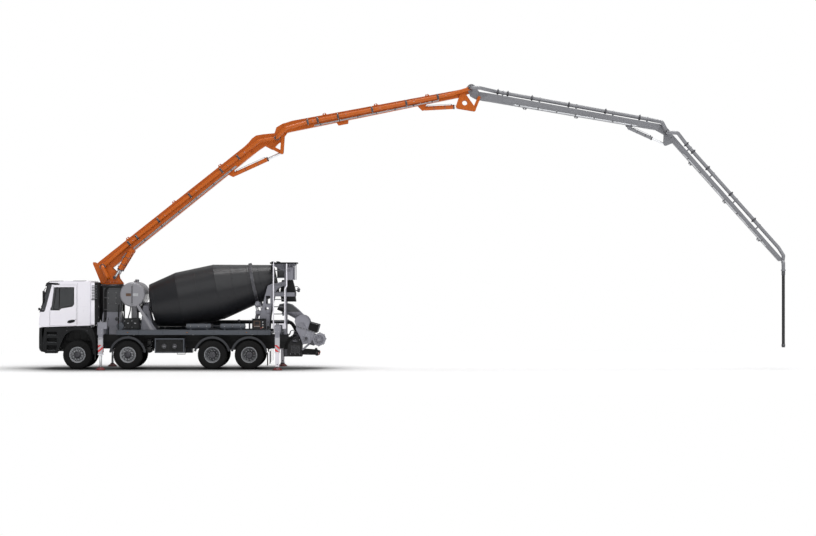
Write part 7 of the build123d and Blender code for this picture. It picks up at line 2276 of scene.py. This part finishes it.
        # Rubber splash apron in a frame over the rear edge.
        apron = [(-3.975, 1.76), (-3.52, 1.635), (-3.61, 1.345), (-3.7, 1.372), (-3.925, 1.45)]
        for side in (-1, 1):
            piece.use("rubber").plate(apron, [], side * 0.634, side * 0.622)
            piece.use("dark_steel").bead(apron + apron[:1], side * 0.632, 0.011)
        piece.use("rubber").prism([(-3.532, 1.64), (-3.512, 1.634), (-3.602, 1.344),
            (-3.622, 1.35)], -0.63, 0.63, 0.003)
        piece.prism([(-3.7, 1.69), (-3.52, 1.64), (-3.523, 1.63), (-3.703, 1.68)], -0.63, 0.63,
            0.002)
        for k in range(7):
            y = -0.54 + 0.18 * k
            piece.use("dark_steel").rod((-3.512, y, 1.625), (-3.595, y, 1.35), 0.008, 6)
        # Paddle shaft inside.
        piece.use("concrete").rod((SHAFT_X, -0.64, SHAFT_Z), (SHAFT_X, 0.64, SHAFT_Z), 0.035, 16)
        for k in range(4):
            y, a = -0.45 + 0.3 * k, 0.6 + 1.6 * k
            tip = Vector((SHAFT_X + 0.15 * cos(a), y, SHAFT_Z + 0.15 * sin(a)))
            piece.rod((SHAFT_X, y, SHAFT_Z), tip, 0.014, 8)
            piece.cube(tip, (0.012, 0.09, 0.03), 0.004)
        # Twin feed pipes and the outlet bend.
        for y in (-0.16, 0.16):
            piece.use("dark_steel").lathe([(0, 0.118), (0.09, 0.118)], (-4.225, y, 1.05), BACK, 28)
        piece.use("hopper").tube([(-3.6, -0.4, OUTLET_Z), (-3.6, 0.4, OUTLET_Z)], 0.13, 0.1, 24)
        piece.done("chassis", "grey_paint", replaces=("pump_hopper",))

    def pump(self):
        piece = Piece("pump", "pump", "dark_steel", "steel", "rubber", "stand")
        piece.use("pump").prism([(-4.86, 0.45), (-4.17, 0.45), (-4.17, 1.18), (-4.7, 1.18),
            (-4.7, 0.748), (-4.86, 0.748)], -0.4, 0.4, 0.01)
        for side in (-1, 1):
            # Cover with ribs and bolts, a cooler and a filter on each side.
            piece.use("pump").block((-4.62, side * 0.4, 0.53), (-4.24, side * 0.418, 1.1), 0.006)
            for k in range(8):
                x = -4.58 + 0.043 * k
                piece.use("dark_steel").block((x, side * 0.418, 0.58),
                    (x + 0.016, side * 0.428, 0.86), 0.002)
            for x in (-4.6, -4.43, -4.26):
                for z in (0.55, 1.08):
                    piece.use("steel").nut((x, side * 0.418, z), (0, side, 0), 0.01, 0.009)
            piece.use("dark_steel").lathe([(0, 0.052), (0.02, 0.055), (0.16, 0.055), (0.18, 0.04)],
                (-4.35, side * 0.43, 1.02), AHEAD, 20)
            piece.use("dark_steel").block((-4.84, side * 0.4, 0.48), (-4.72, side * 0.46, 0.73),
                0.012)
            for k in range(3):
                piece.use("rubber").tube([(-4.8 + 0.04 * k, side * 0.43, 0.73),
                    (-4.79 + 0.04 * k, side * 0.47, 0.95), (-4.6 + 0.06 * k, side * 0.44, 1.2),
                    (-4.48 + 0.06 * k, side * 0.3, 1.26)], 0.014, 0.1)
            piece.use("dark_steel").tube([(-4.2, side * 0.3, 1.18), (-4.2, side * 0.3, 1.34),
                (-4.34, side * 0.3, 1.38), (-4.46, side * 0.26, 1.3)], 0.024, 0.06, 10)
        # Valve group on top with its solenoids and caps.
        piece.use("dark_steel").block((-4.52, -0.28, 1.18), (-4.22, 0.28, 1.3), 0.012)
        for k in range(5):
            y = -0.22 + 0.11 * k
            piece.use("dark_steel").block((-4.49, y - 0.038, 1.3), (-4.41, y + 0.038, 1.395), 0.01)
            piece.lathe([(0, 0.024), (0.05, 0.024), (0.056, 0.014)], (-4.35, y, 1.3), UP, 14)
            piece.use("steel").lathe([(0, 0.016), (0.02, 0.016), (0.026, 0.008)], (-4.27, y, 1.3),
                UP, 6)
            piece.use("rubber").tube([(-4.45, y, 1.395), (-4.45, y, 1.43), (-4.6, y * 1.2, 1.42),
                (-4.66, y * 1.3, 1.25)], 0.012, 0.05)
        # Pipe ends towards the hopper.
        for y in (-0.16, 0.16):
            piece.use("pump").lathe([(0, 0.15), (0.02, 0.15), (0.022, 0.12), (0.048, 0.12)],
                (-4.17, y, 1.03), BACK, 28)
            piece.use("steel").nuts((-4.15, y, 1.03), BACK, 0.135, 6, 0.01, 0.009)
        # Delivery line forward along the right side, with clamps and saddles.
        line = [(OUTLET_X, 0.655, OUTLET_Z), (OUTLET_X, 0.99, OUTLET_Z), (-4.3, 0.99, 1.15),
            (-4.62, LINE_Y, LINE_Z), (SLEW_X, LINE_Y, LINE_Z), (SLEW_X, 0.426, LINE_Z)]
        piece.use("pump").tube(line, 0.068, 0.16, 20, 6)
        straight = [((x, LINE_Y, LINE_Z), BACK) for x in (-4.75, -6.6, -8.6, -10.4)]
        for spot, way in (*straight, ((-3.8, 0.99, 1.107), (-1, 0, 0.085)),
                ((OUTLET_X, 0.73, OUTLET_Z), RIGHT), ((SLEW_X, 0.52, LINE_Z), LEFT)):
            piece.use("dark_steel").lathe([(-0.05, 0.069), (-0.046, 0.086), (-0.018, 0.092),
                (0.018, 0.092), (0.046, 0.086), (0.05, 0.069)], spot, way, 28)
        for x in (-5.01, -6.2, -7.6, -9.4, -10.9):
            low = 1.632 if x == -5.01 else 1.462
            piece.use("stand").block((x - 0.03, 0.7, low), (x + 0.03, 0.82, 1.656), 0.005)
            piece.use("dark_steel").band(0.02, 0.0685, 0.074, (x, LINE_Y, LINE_Z), BACK, 24)
        piece.done("chassis", "frame_paint", replaces=("concrete_pump",))

    def underrun(self):
        """Low rear bar on two arms, with lamp groups, a bare plate and a tow coupling."""
        piece = Piece("rear_bar", "frame", "dark_steel", "red_lamp", "amber", "steel", "rubber",
            "trim")
        for side in (-1, 1):
            piece.use("frame").prism([(-4.17, 0.735), (-3.62, 0.7), (-3.52, 0.64), (-3.52, 0.505),
                (-4.17, 0.52)], side * 0.3 - 0.035, side * 0.3 + 0.035, 0.006)
            piece.use("trim").block((-3.64, side * 0.7, 0.505), (-3.54, side * 1.05, 0.645), 0.012)
            for k, finish in enumerate(("red_lamp", "amber", "red_lamp")):
                y = side * (0.77 + 0.1 * k)
                piece.use(finish).lathe([(0, 0.042), (0.008, 0.044), (0.016, 0.036), (0.018, 0.0)],
                    (-3.54, y, 0.575), BACK, 20)
        piece.use("frame").block((-3.65, -1.08, 0.52), (-3.56, 1.08, 0.625), 0.008)
        piece.use("trim").block((-3.556, -0.26, 0.515), (-3.55, 0.26, 0.635), 0.002)
        piece.use("dark_steel").lathe([(0, 0.06), (0.03, 0.06), (0.06, 0.045), (0.1, 0.045),
            (0.105, 0.0)], (-3.655, 0, 0.66), UP, 20)
        piece.done("chassis", "frame_paint")


class DeckMaker(bpy.types.Operator):
    """Make the boxes, stores, tanks, rails, guards and lamps along the deck"""
    bl_idname = "pump_truck.deck"
    bl_label = "Deck fittings"

    def execute(self, context):
        self.edges()
        self.stores()
        self.control_box()
        self.tool_box()
        self.battery_box()
        self.fuel_tank()
        self.guards()
        self.rails(context.scene.truck_deck)
        return {"FINISHED"}

    def edges(self):
        """Lips, joints, lamps and hooks along both deck edges, and the arch walls."""
        piece = Piece("deck_edges", "deck_plain", "steel", "amber", "trim", "box", "tread")
        for side in (-1, 1):
            y = side * 1.2105
            for z in (1.288, 1.452):
                piece.use("deck_plain").rod((-11.0, y, z), (-5.32, y, z), 0.01, 8)
            for x in (-10.2, -9.3, -8.4, -7.4, -6.5, -5.8):
                piece.use("box").block((x - 0.004, y, 1.298), (x + 0.004, y + side * 0.002, 1.442),
                    0.0008)
            for x in (-10.6, -8.4, -6.2):
                piece.use("trim").block((x - 0.03, y, 1.36), (x + 0.03, y + side * 0.01, 1.38),
                    0.005)
                piece.use("amber").block((x - 0.022, y, 1.364),
                    (x + 0.022, y + side * 0.014, 1.376), 0.004)
                piece.use("steel").tube([(x + 0.2, y, 1.3), (x + 0.2, y + side * 0.03, 1.285),
                    (x + 0.26, y + side * 0.03, 1.285), (x + 0.26, y, 1.3)], 0.006, 0.02, 6, 3)
            for x0, x1 in ((-10.98, -10.75), (-10.15, -8.45), (-7.5, -7.2), (-6.22, -6.0),
                    (-5.48, -5.32)):
                piece.use("tread").block((x0, side * 0.8, 1.4605), (x1, side * 1.2, 1.4665), 0.002)
        piece.done("chassis", "grey_paint")
        wall = Piece("arch_walls", "box", "rubber")
        for side in (-1, 1):
            wall.use("box").block((-13.14, side * 0.475 - 0.012, 1.04),
                (-11.83, side * 0.475 + 0.012, 1.53), 0.006)
            for k in range(5):
                x = -13.0 + 0.27 * k
                wall.block((x - 0.02, side * 0.492 - 0.008, 1.08),
                    (x + 0.02, side * 0.492 + 0.008, 1.5), 0.004)
            wall.block((-11.8, side * 0.62 - 0.17, 0.7), (-11.77, side * 0.62 + 0.17, 1.1), 0.006)
        wall.done("chassis", "frame_paint")

    def stores(self):
        """Bands, caps, latches and cradles on the pipe stores."""
        piece = Piece("store_fittings", "steel", "deck_plain", "dark_steel")
        y, z = -0.985, 1.59
        for x in (-7.98, -6.72):
            for at in (x - 0.3, x, x + 0.3):
                piece.use("dark_steel").band(0.014, 0.1055, 0.1085, (at, y, z), BACK, 40)
                piece.block((at - 0.016, y - 0.125, 1.575), (at + 0.016, y - 0.104, 1.605), 0.003)
                piece.use("steel").nut((at, y - 0.125, z), LEFT, 0.007, 0.008)
            for end in (-1, 1):
                at = x + end * 0.4405
                piece.use("dark_steel").lathe([(0, 0.108), (0.012, 0.111), (0.026, 0.104),
                    (0.032, 0.07), (0.034, 0.0)], (at, y, z), (end, 0, 0), 36)
                piece.use("steel").tube([(at + end * 0.036, y - 0.05, z), (at + end * 0.062, y, z),
                    (at + end * 0.036, y + 0.05, z)], 0.006, 0.02, 6, 3)
        # Spare delivery pipes on the far side of the stores.
        for y, z in ((0.9, 1.53), (1.03, 1.53), (0.965, 1.64)):
            piece.use("deck_plain").tube([(-9.6, y, z), (-6.4, y, z)], 0.062, 0.1, 20)
            for x in (-9.6, -6.4):
                piece.use("dark_steel").lathe([(-0.02, 0.064), (-0.018, 0.074), (0.018, 0.074),
                    (0.02, 0.064)], (x, y, z), BACK, 24)
        for x in (-9.2, -8.0, -6.8):
            piece.use("dark_steel").block((x - 0.02, 0.825, 1.461), (x + 0.02, 1.105, 1.469), 0.002)
            for y in (0.826, 1.096):
                piece.block((x - 0.02, y, 1.461), (x + 0.02, y + 0.01, 1.7), 0.002)
            piece.block((x - 0.02, 0.826, 1.7), (x + 0.02, 1.106, 1.71), 0.002)
        piece.done("chassis", "grey_paint")

    def control_box(self):
        """Pump control box with a tinted display, keys and knobs, under a dark hood."""
        piece = Piece("control_box", "box", "steel", "dash", "red", "amber", "copper", "rubber")
        piece.use("box").block((-5.985, -1.175, 1.468), (-5.495, -0.735, 1.862), 0.014)
        piece.prism([(-6.005, 1.862), (-5.475, 1.862), (-5.475, 1.878), (-6.005, 1.878)], -1.2,
            -0.72, 0.004)
        for x in (-6.0, -5.492):
            piece.block((x, -1.198, 1.49), (x + 0.012, -1.172, 1.864), 0.003)
        piece.use("copper").block((-5.93, -1.183, 1.57), (-5.69, -1.174, 1.8), 0.005)
        piece.use("dash").block((-5.905, -1.187, 1.655), (-5.715, -1.182, 1.78), 0.004)
        for k in range(5):
            for j in range(2):
                piece.use("dash" if j else "steel").block((-5.905 + 0.04 * k, -1.189,
                    1.585 + 0.034 * j), (-5.879 + 0.04 * k, -1.182, 1.607 + 0.034 * j), 0.003)
        for k, finish in enumerate(("steel", "steel", "amber")):
            z = 1.755 - 0.095 * k
            piece.use("steel").lathe([(0, 0.024), (0.004, 0.024), (0.006, 0.02)],
                (-5.595, -1.175, z), LEFT, 20)
            piece.use(finish).lathe([(0.004, 0.016), (0.018, 0.015), (0.02, 0.01), (0.02, 0.0)],
                (-5.595, -1.175, z), LEFT, 18)
        piece.use("red").lathe([(0.0, 0.012), (0.01, 0.012), (0.012, 0.024), (0.022, 0.024),
            (0.026, 0.016), (0.026, 0.0)], (-5.665, -1.175, 1.53), LEFT, 22)
        for k in range(4):
            piece.use("rubber").tube([(-5.9 + 0.1 * k, -0.8, 1.47), (-5.9 + 0.1 * k, -0.74, 1.465),
                (-5.88 + 0.1 * k, -0.62, 1.455)], 0.01, 0.03, 6)
        # Lever group beside it on a bracket.
        piece.use("box").block((-5.44, -1.12, 1.462), (-5.345, -0.84, 1.6), 0.008)
        for k in range(4):
            y = -1.08 + 0.07 * k
            piece.use("steel").rod((-5.392, y, 1.6), (-5.405, y, 1.74), 0.007, 8)
            piece.use("dash").lathe([(0, 0.008), (0.012, 0.017), (0.026, 0.017), (0.034, 0.0)],
                (-5.404, y, 1.732), UP, 14)
        piece.done("chassis", "dark_plastic")

    def tool_box(self):
        """Locker below the water tank, with doors, handles and hinges, and a hose reel beside it.
        """
        piece = Piece("tool_locker", "box", "steel", "rubber", "deck_plain")
        piece.use("box").block((-10.748, -1.048, DECK_TOP), (-10.192, -0.47, 1.892), 0.012)
        for x0, x1 in ((-10.728, -10.478), (-10.462, -10.212)):
            piece.block((x0, -1.062, 1.5), (x1, -1.046, 1.868), 0.01)
            piece.block((x0 + 0.03, -1.068, 1.53), (x1 - 0.03, -1.06, 1.838), 0.008)
            piece.use("steel").block(((x0 + x1) / 2 - 0.035, -1.08, 1.7),
                ((x0 + x1) / 2 + 0.035, -1.066, 1.726), 0.004)
            for z in (1.56, 1.8):
                piece.lathe([(-0.022, 0.009), (0.022, 0.009)], (x0 + 0.004, -1.066, z), UP, 10)
            piece.use("box")
        # High pressure cleaner's reel next to the locker.
        piece.use("rubber")
        for k in range(6):
            piece.lathe([(-0.01, 0.115), (-0.004, 0.126), (0.004, 0.126), (0.01, 0.115)],
                (-10.9, -0.98 + 0.022 * k, 1.6), RIGHT, 32)
        piece.use("deck_plain")
        for y in (-0.995, -0.855):
            piece.band(0.004, 0.05, 0.136, (-10.9, y, 1.6), RIGHT, 32)
        piece.lathe([(0, 0.055), (0.15, 0.055)], (-10.9, -1.0, 1.6), RIGHT, 20)
        piece.done("chassis", "grey_paint")

    def battery_box(self):
        """Framed ribbed cover with two round caps and two air tanks beside it."""
        piece = Piece("battery_cover", "deck_plain", "box", "steel", "rubber", "dark_steel")
        x0, x1, y, z0, z1 = -9.59, -8.51, -1.198, 0.62, 1.14
        piece.use("box").block((x0 + 0.03, y - 0.004, z0 + 0.03), (x1 - 0.03, y + 0.006, z1 - 0.03),
            0.003)
        for k in range(17):
            x = x0 + 0.075 + k * 0.0575
            piece.block((x, y - 0.018, z0 + 0.05), (x + 0.028, y - 0.002, z1 - 0.05), 0.006)
        for low, high in (((x0 - 0.01, y - 0.026, z0 - 0.01), (x1 + 0.01, y + 0.01, z0 + 0.034)),
                ((x0 - 0.01, y - 0.026, z1 - 0.034), (x1 + 0.01, y + 0.01, z1 + 0.012)),
                ((x0 - 0.008, y - 0.0245, z0 + 0.002), (x0 + 0.034, y + 0.01, z1 - 0.002)),
                ((x1 - 0.034, y - 0.0245, z0 + 0.002), (x1 + 0.008, y + 0.01, z1 - 0.002))):
            piece.use("deck_plain").block(low, high, 0.006)
        for x in (-9.25, -8.86):
            piece.use("dark_steel").lathe([(0, 0.088), (0.012, 0.092), (0.024, 0.084),
                (0.026, 0.06), (0.02, 0.054), (0.02, 0.0)], (x, y - 0.016, 0.86), LEFT, 32)
            piece.use("steel").block((x - 0.045, y - 0.046, 0.853), (x + 0.045, y - 0.036, 0.867),
                0.003)
        for x in (-9.5, -8.6):
            piece.use("rubber").block((x - 0.03, y - 0.034, 1.02), (x + 0.03, y - 0.024, 1.1),
                0.006)
        # Air tanks in front of the box, one above the other, with straps.
        for x, z in ((-9.83, 0.98), (-9.83, 0.72)):
            piece.use("box").lathe([(-0.24, 0.0), (-0.238, 0.05), (-0.215, 0.098), (-0.18, 0.115),
                (0.18, 0.115), (0.215, 0.098), (0.238, 0.05), (0.24, 0.0)], (x, -0.72, z), RIGHT,
                32)
            for shift in (-0.12, 0.12):
                piece.use("steel").band(0.012, 0.1155, 0.118, (x, -0.72 + shift, z), RIGHT, 32)
        piece.done("chassis", "grey_paint")

    def fuel_tank(self):
        """Straps, cap, sender, steps and end seams of the fuel tank, and the silencer behind it."""
        piece = Piece("fuel_tank_fittings", "steel", "dark_steel", "tread", "rubber", "iron")
        for x in (-9.45, -9.02, -8.6):
            piece.use("steel").block((x - 0.025, 1.1105, 0.565), (x + 0.025, 1.1165, 1.115), 0.003)
            piece.block((x - 0.025, 0.46, 1.1205), (x + 0.025, 1.112, 1.127), 0.003)
            piece.block((x - 0.025, 0.46, 0.553), (x + 0.025, 1.112, 0.5595), 0.003)
            piece.use("rubber").block((x - 0.034, 1.1102, 0.57), (x + 0.034, 1.1135, 1.11), 0.002)
            piece.use("steel").nut((x, 1.1165, 1.05), RIGHT, 0.012, 0.016)
        piece.use("dark_steel").lathe([(0, 0.06), (0.02, 0.062), (0.045, 0.06), (0.052, 0.05),
            (0.054, 0.0)], (-9.24, 0.98, 1.12), UP, 28)
        piece.block((-9.3, 0.972, 1.176), (-9.18, 0.988, 1.188), 0.004)
        for z in (0.5, 0.8):
            piece.use("tread").block((-8.98, 1.118, z - 0.02), (-8.66, 1.2, z + 0.004), 0.004)
            for x in (-8.97, -8.67):
                piece.use("dark_steel").tube([(x, 1.118, z + 0.12), (x, 1.19, z + 0.1),
                    (x, 1.19, z)], 0.01, 0.03, 6, 3)
        # Silencer with an elbow and a heat shield.
        piece.use("iron").lathe([(-0.3, 0.0), (-0.298, 0.14), (-0.28, 0.165), (0.28, 0.165),
            (0.298, 0.14), (0.3, 0.0)], (SILENCER_X, 0.78, 0.86), RIGHT, 40)
        piece.tube([(SILENCER_X, 0.5, 0.98), (SILENCER_X, 0.4, 1.02), (SILENCER_X, 0.38, 1.25)],
            0.05, 0.06, 16)
        piece.tube([(SILENCER_X, 1.07, 0.8), (SILENCER_X, 1.12, 0.78), (SILENCER_X, 1.13, 0.62)],
            0.048, 0.05, 16)
        piece.done("chassis", "chrome")

    def guards(self):
        """Mudguard rims in a paler grey that is a painted highlight, with stays and rubber flaps.
        """
        piece = Piece("guard_rims", "guard", "trim", "dark_steel", "rubber")
        for axle, x in enumerate(AXLE_X[1:]):
            for side in (-1, 1):
                rows = []
                first, last = (12, 168) if axle else (8, 172)
                for k in range(33):
                    a = radians(first + (last - first) * k / 32)
                    way = Vector((cos(a), 0, sin(a)))
                    spot = Vector((x, 0, AXLE_Z))
                    rows.append([spot + way * r + Vector((0, side * d, 0))
                        for r, d in ((0.606, 1.215), (0.606, 1.238), (0.612, 1.243), (0.684, 1.243),
                        (0.69, 1.238), (0.69, 1.215))])
                # Paler rim along the arch: a painted highlight.
                piece.use("guard").grid(rows)
                for a in (40, 140):
                    way = Vector((cos(radians(a)), 0, sin(radians(a))))
                    spot = Vector((x, 0, AXLE_Z)) + way * 0.628
                    piece.use("dark_steel").tube([spot + Vector((0, side * 0.5, 0)),
                        spot + Vector((0, side * 1.2, 0))], 0.016, 0.05)
        # Flaps behind the last axle and ahead of the third.
        for side in (-1, 1):
            for x, z1 in ((-5.43, 0.62), (-5.31, 0.9)):
                low, high = (0.62, 1.21) if x < -5.4 else (0.66, 0.74)
                piece.use("rubber").block((x - 0.006, side * low, 0.14 if x < -5.4 else 0.26),
                    (x + 0.006, side * high, z1), 0.003)
        piece.done("chassis", "dark_plastic")

    def rails(self, given):
        """Hand rails at the front of the deck, with a middle bar and round feet."""
        piece = Piece("hand_rails", "box", "dark_steel", "steel")
        low = DECK_TOP - 0.0005
        high = low + given.rail_height
        for side in (-1, 1):
            y = side * 1.1
            piece.use("box").tube([(RAIL_X, y, low), (RAIL_X, y, high), (-10.93, y, high + 0.03),
                (-10.93, side * 0.86, high + 0.03), (RAIL_X, side * 0.83, high),
                (RAIL_X, side * 0.83, low)], 0.016, 0.06)
            piece.tube([(RAIL_X, y, low + 0.45), (RAIL_X, side * 0.83, low + 0.45)], 0.013, 0.05)
            for foot in (1.1, 0.83):
                piece.use("dark_steel").lathe([(0, 0.04), (0.006, 0.04), (0.008, 0.018)],
                    (RAIL_X, side * foot, low), UP, 16)
        piece.done("chassis", "frame_paint")


class ColumnMaker(bpy.types.Operator):
    """Make the bolts, hatches, pipes and covers of the column and the turret"""
    bl_idname = "pump_truck.column"
    bl_label = "Column and turret fittings"

    def execute(self, context):
        x, z = SLEW_X, 3.09
        piece = Piece("column_fittings", "column", "steel", "dark_steel", "stand", "rubber", "box")
        piece.use("box").block((-11.622, -0.422, 3.02), (-10.898, 0.422, 3.082), 0.01)
        piece.use("dark_steel").lathe([(-0.012, 0.2), (-0.012, 0.432), (0.0, 0.44), (0.028, 0.44),
            (0.034, 0.42), (0.034, 0.395)], (x, 0, z), UP, 72)
        piece.use("steel").nuts((x, 0, z + 0.034), UP, 0.415, 36, 0.011, 0.014)
        for side in (-1, 1):
            y = side * 0.402
            # Inspection hatch, seams and a side pipe run on the column's wall.
            piece.use("column").block((-11.42, y, 2.42), (-11.1, y + side * 0.01, 2.86), 0.006)
            for px in (-11.4, -11.12):
                for pz in (2.44, 2.64, 2.84):
                    piece.use("steel").nut((px, y + side * 0.01, pz), (0, side, 0), 0.009, 0.008)
            for pz in (2.16, 2.98):
                piece.use("column").block((-11.6, y, pz - 0.02),
                    (-10.92, y + side * 0.012, pz + 0.02), 0.004)
            for px in (-11.58, -10.94):
                piece.block((px - 0.02, y, 2.14), (px + 0.02, y + side * 0.012, 3.02), 0.004)
            # Pale trapezium at the column's foot with its pins.
            piece.use("stand").prism([(-11.62, 1.6), (-10.9, 1.6), (-10.97, 2.1), (-11.58, 2.1)],
                side * 0.4065, side * 0.418, 0.003)
            for px in (-11.46, -11.08):
                piece.use("dark_steel").lathe([(0, 0.075), (0.014, 0.075), (0.02, 0.06),
                    (0.02, 0.0)], (px, side * 0.418, 1.86), (0, side, 0), 28)
                piece.use("steel").nuts((px, side * 0.432, 1.86), (0, side, 0), 0.055, 5, 0.007,
                    0.007)
            for k in range(3):
                px = -11.545 + 0.035 * k
                piece.use("rubber").tube([(px, side * 0.455, 1.6), (px, side * 0.455, 2.9),
                    (px + 0.05, side * 0.43, 3.0), (px + 0.1, side * 0.36, 3.02)], 0.012, 0.08, 8,
                    4)
            for pz in (1.75, 2.2, 2.65):
                piece.use("dark_steel").block((-11.565, side * 0.415, pz - 0.015),
                    (-11.455, side * 0.475, pz + 0.015), 0.004)
        # Slewing motors with their gear housings at the column's back.
        px = -10.89
        for side in (-1, 1):
            piece.use("dark_steel").lathe([(0, 0.085), (0.02, 0.092), (0.12, 0.092), (0.14, 0.07),
                (0.22, 0.066), (0.24, 0.05), (0.245, 0.0)], (px, 0.2 * side, 3.08), DOWN, 28)
            piece.use("steel").nuts((px, 0.2 * side, 2.94), DOWN, 0.078, 6, 0.008, 0.02)
            piece.use("rubber").tube([(px, 0.2 * side, 2.84), (px, 0.2 * side, 2.7),
                (px, 0.1 * side, 2.4), (px, 0.1 * side, 2.14)], 0.014, 0.08)
        piece.done("chassis", "grey_paint")
        self.turret(x)
        return {"FINISHED"}

    def turret(self, x):
        piece = Piece("turret_fittings", "orange", "steel", "dark_steel", "rubber", "box")
        piece.use("dark_steel").lathe([(-0.006, 0.392), (-0.004, 0.402), (0.014, 0.402),
            (0.02, 0.392)], (x, 0, 3.14), UP, 72)
        piece.use("steel").nuts((x, 0, 3.161), UP, 0.36, 30, 0.011, 0.014)
        outline = [(-11.66, 3.2), (-11.95, 3.9), (-11.76, 3.85), (-11.66, 3.94), (-11.5, 3.94),
            (-11.31, 3.72), (-11.09, 3.53), (-11.06, 3.38), (-10.93, 3.2)]
        for side in (-1, 1):
            y = side * 0.2355
            piece.use("orange").bead(outline[:6], y, 0.009)
            piece.plate([(-11.72, 3.3), (-11.52, 3.68), (-11.3, 3.58), (-11.16, 3.34)],
                [circle(0.055, (-11.46, 3.44), 24)], y, y + side * 0.01)
            piece.prism([(-11.7, 3.21), (-10.9, 3.21), (-10.95, 3.25), (-11.66, 3.25)], y,
                y + side * 0.03, 0.003)
            for k in range(6):
                piece.use("steel").nut((-11.62 + 0.13 * k, side * 0.262, 3.232), (0, side, 0), 0.01,
                    0.009)
        # Lift pin covers, hose bundle over the turret and a small valve block.
        for side in (-1, 1):
            piece.use("dark_steel").lathe([(0, 0.062), (0.01, 0.062), (0.016, 0.05), (0.016, 0.0)],
                LIFT_PIN + Vector((0, side * 0.442, 0)), (0, side, 0), 26)
        piece.use("box").block((-11.6, -0.18, 3.3), (-11.4, 0.18, 3.44), 0.01)
        for k in range(5):
            y = -0.14 + 0.07 * k
            piece.use("rubber").tube([(-11.5, y, 3.42), (-11.5, y, 3.56), (-11.6, y, 3.66),
                (-11.66, y, 3.6), (-11.6, y, 3.45)], 0.012, 0.06)
            piece.use("steel").lathe([(0, 0.014), (0.02, 0.014)], (-11.5, y, 3.44), UP, 6)
        piece.done("turret", "orange_paint")


class TruckPanel(bpy.types.Panel):
    """Lists the truck's makers and their sizes"""
    bl_idname = "VIEW3D_PT_pump_truck"
    bl_label = "Pump Truck"
    bl_space_type = "VIEW_3D"
    bl_region_type = "UI"
    bl_category = "Pump Truck"

    def draw(self, context):
        for name, group in GROUPS.items():
            box = self.layout.box()
            box.label(text=group.__doc__)
            for key in group.__annotations__:
                box.prop(getattr(context.scene, name), key)
        for maker in MAKERS:
            self.layout.operator(maker.bl_idname)


GROUPS = {"truck_paint": TruckPaint, "truck_wheels": TruckWheels, "truck_cab": TruckCab,
    "truck_boom": TruckBoom, "truck_deck": TruckDeck, "truck_stage": TruckStage}
MAKERS = (FinishMaker, StageMaker, HoseMaker, WheelMaker, CabMaker, LegMaker, InteriorMaker,
    BumperMaker, BoomMaker, DrumMaker, RearMaker, DeckMaker, ColumnMaker)


def register():
    for group in (*GROUPS.values(), *MAKERS, TruckPanel):
        bpy.utils.register_class(group)
    for name, group in GROUPS.items():
        setattr(bpy.types.Scene, name, PointerProperty(type=group))


def unregister():
    for name in GROUPS:
        delattr(bpy.types.Scene, name)
    for group in (TruckPanel, *reversed(MAKERS), *GROUPS.values()):
        bpy.utils.unregister_class(group)


def main():
    register()
    for maker in MAKERS:
        getattr(bpy.ops.pump_truck, maker.bl_idname.split(".")[1])()


if __name__ == "__main__":
    main()
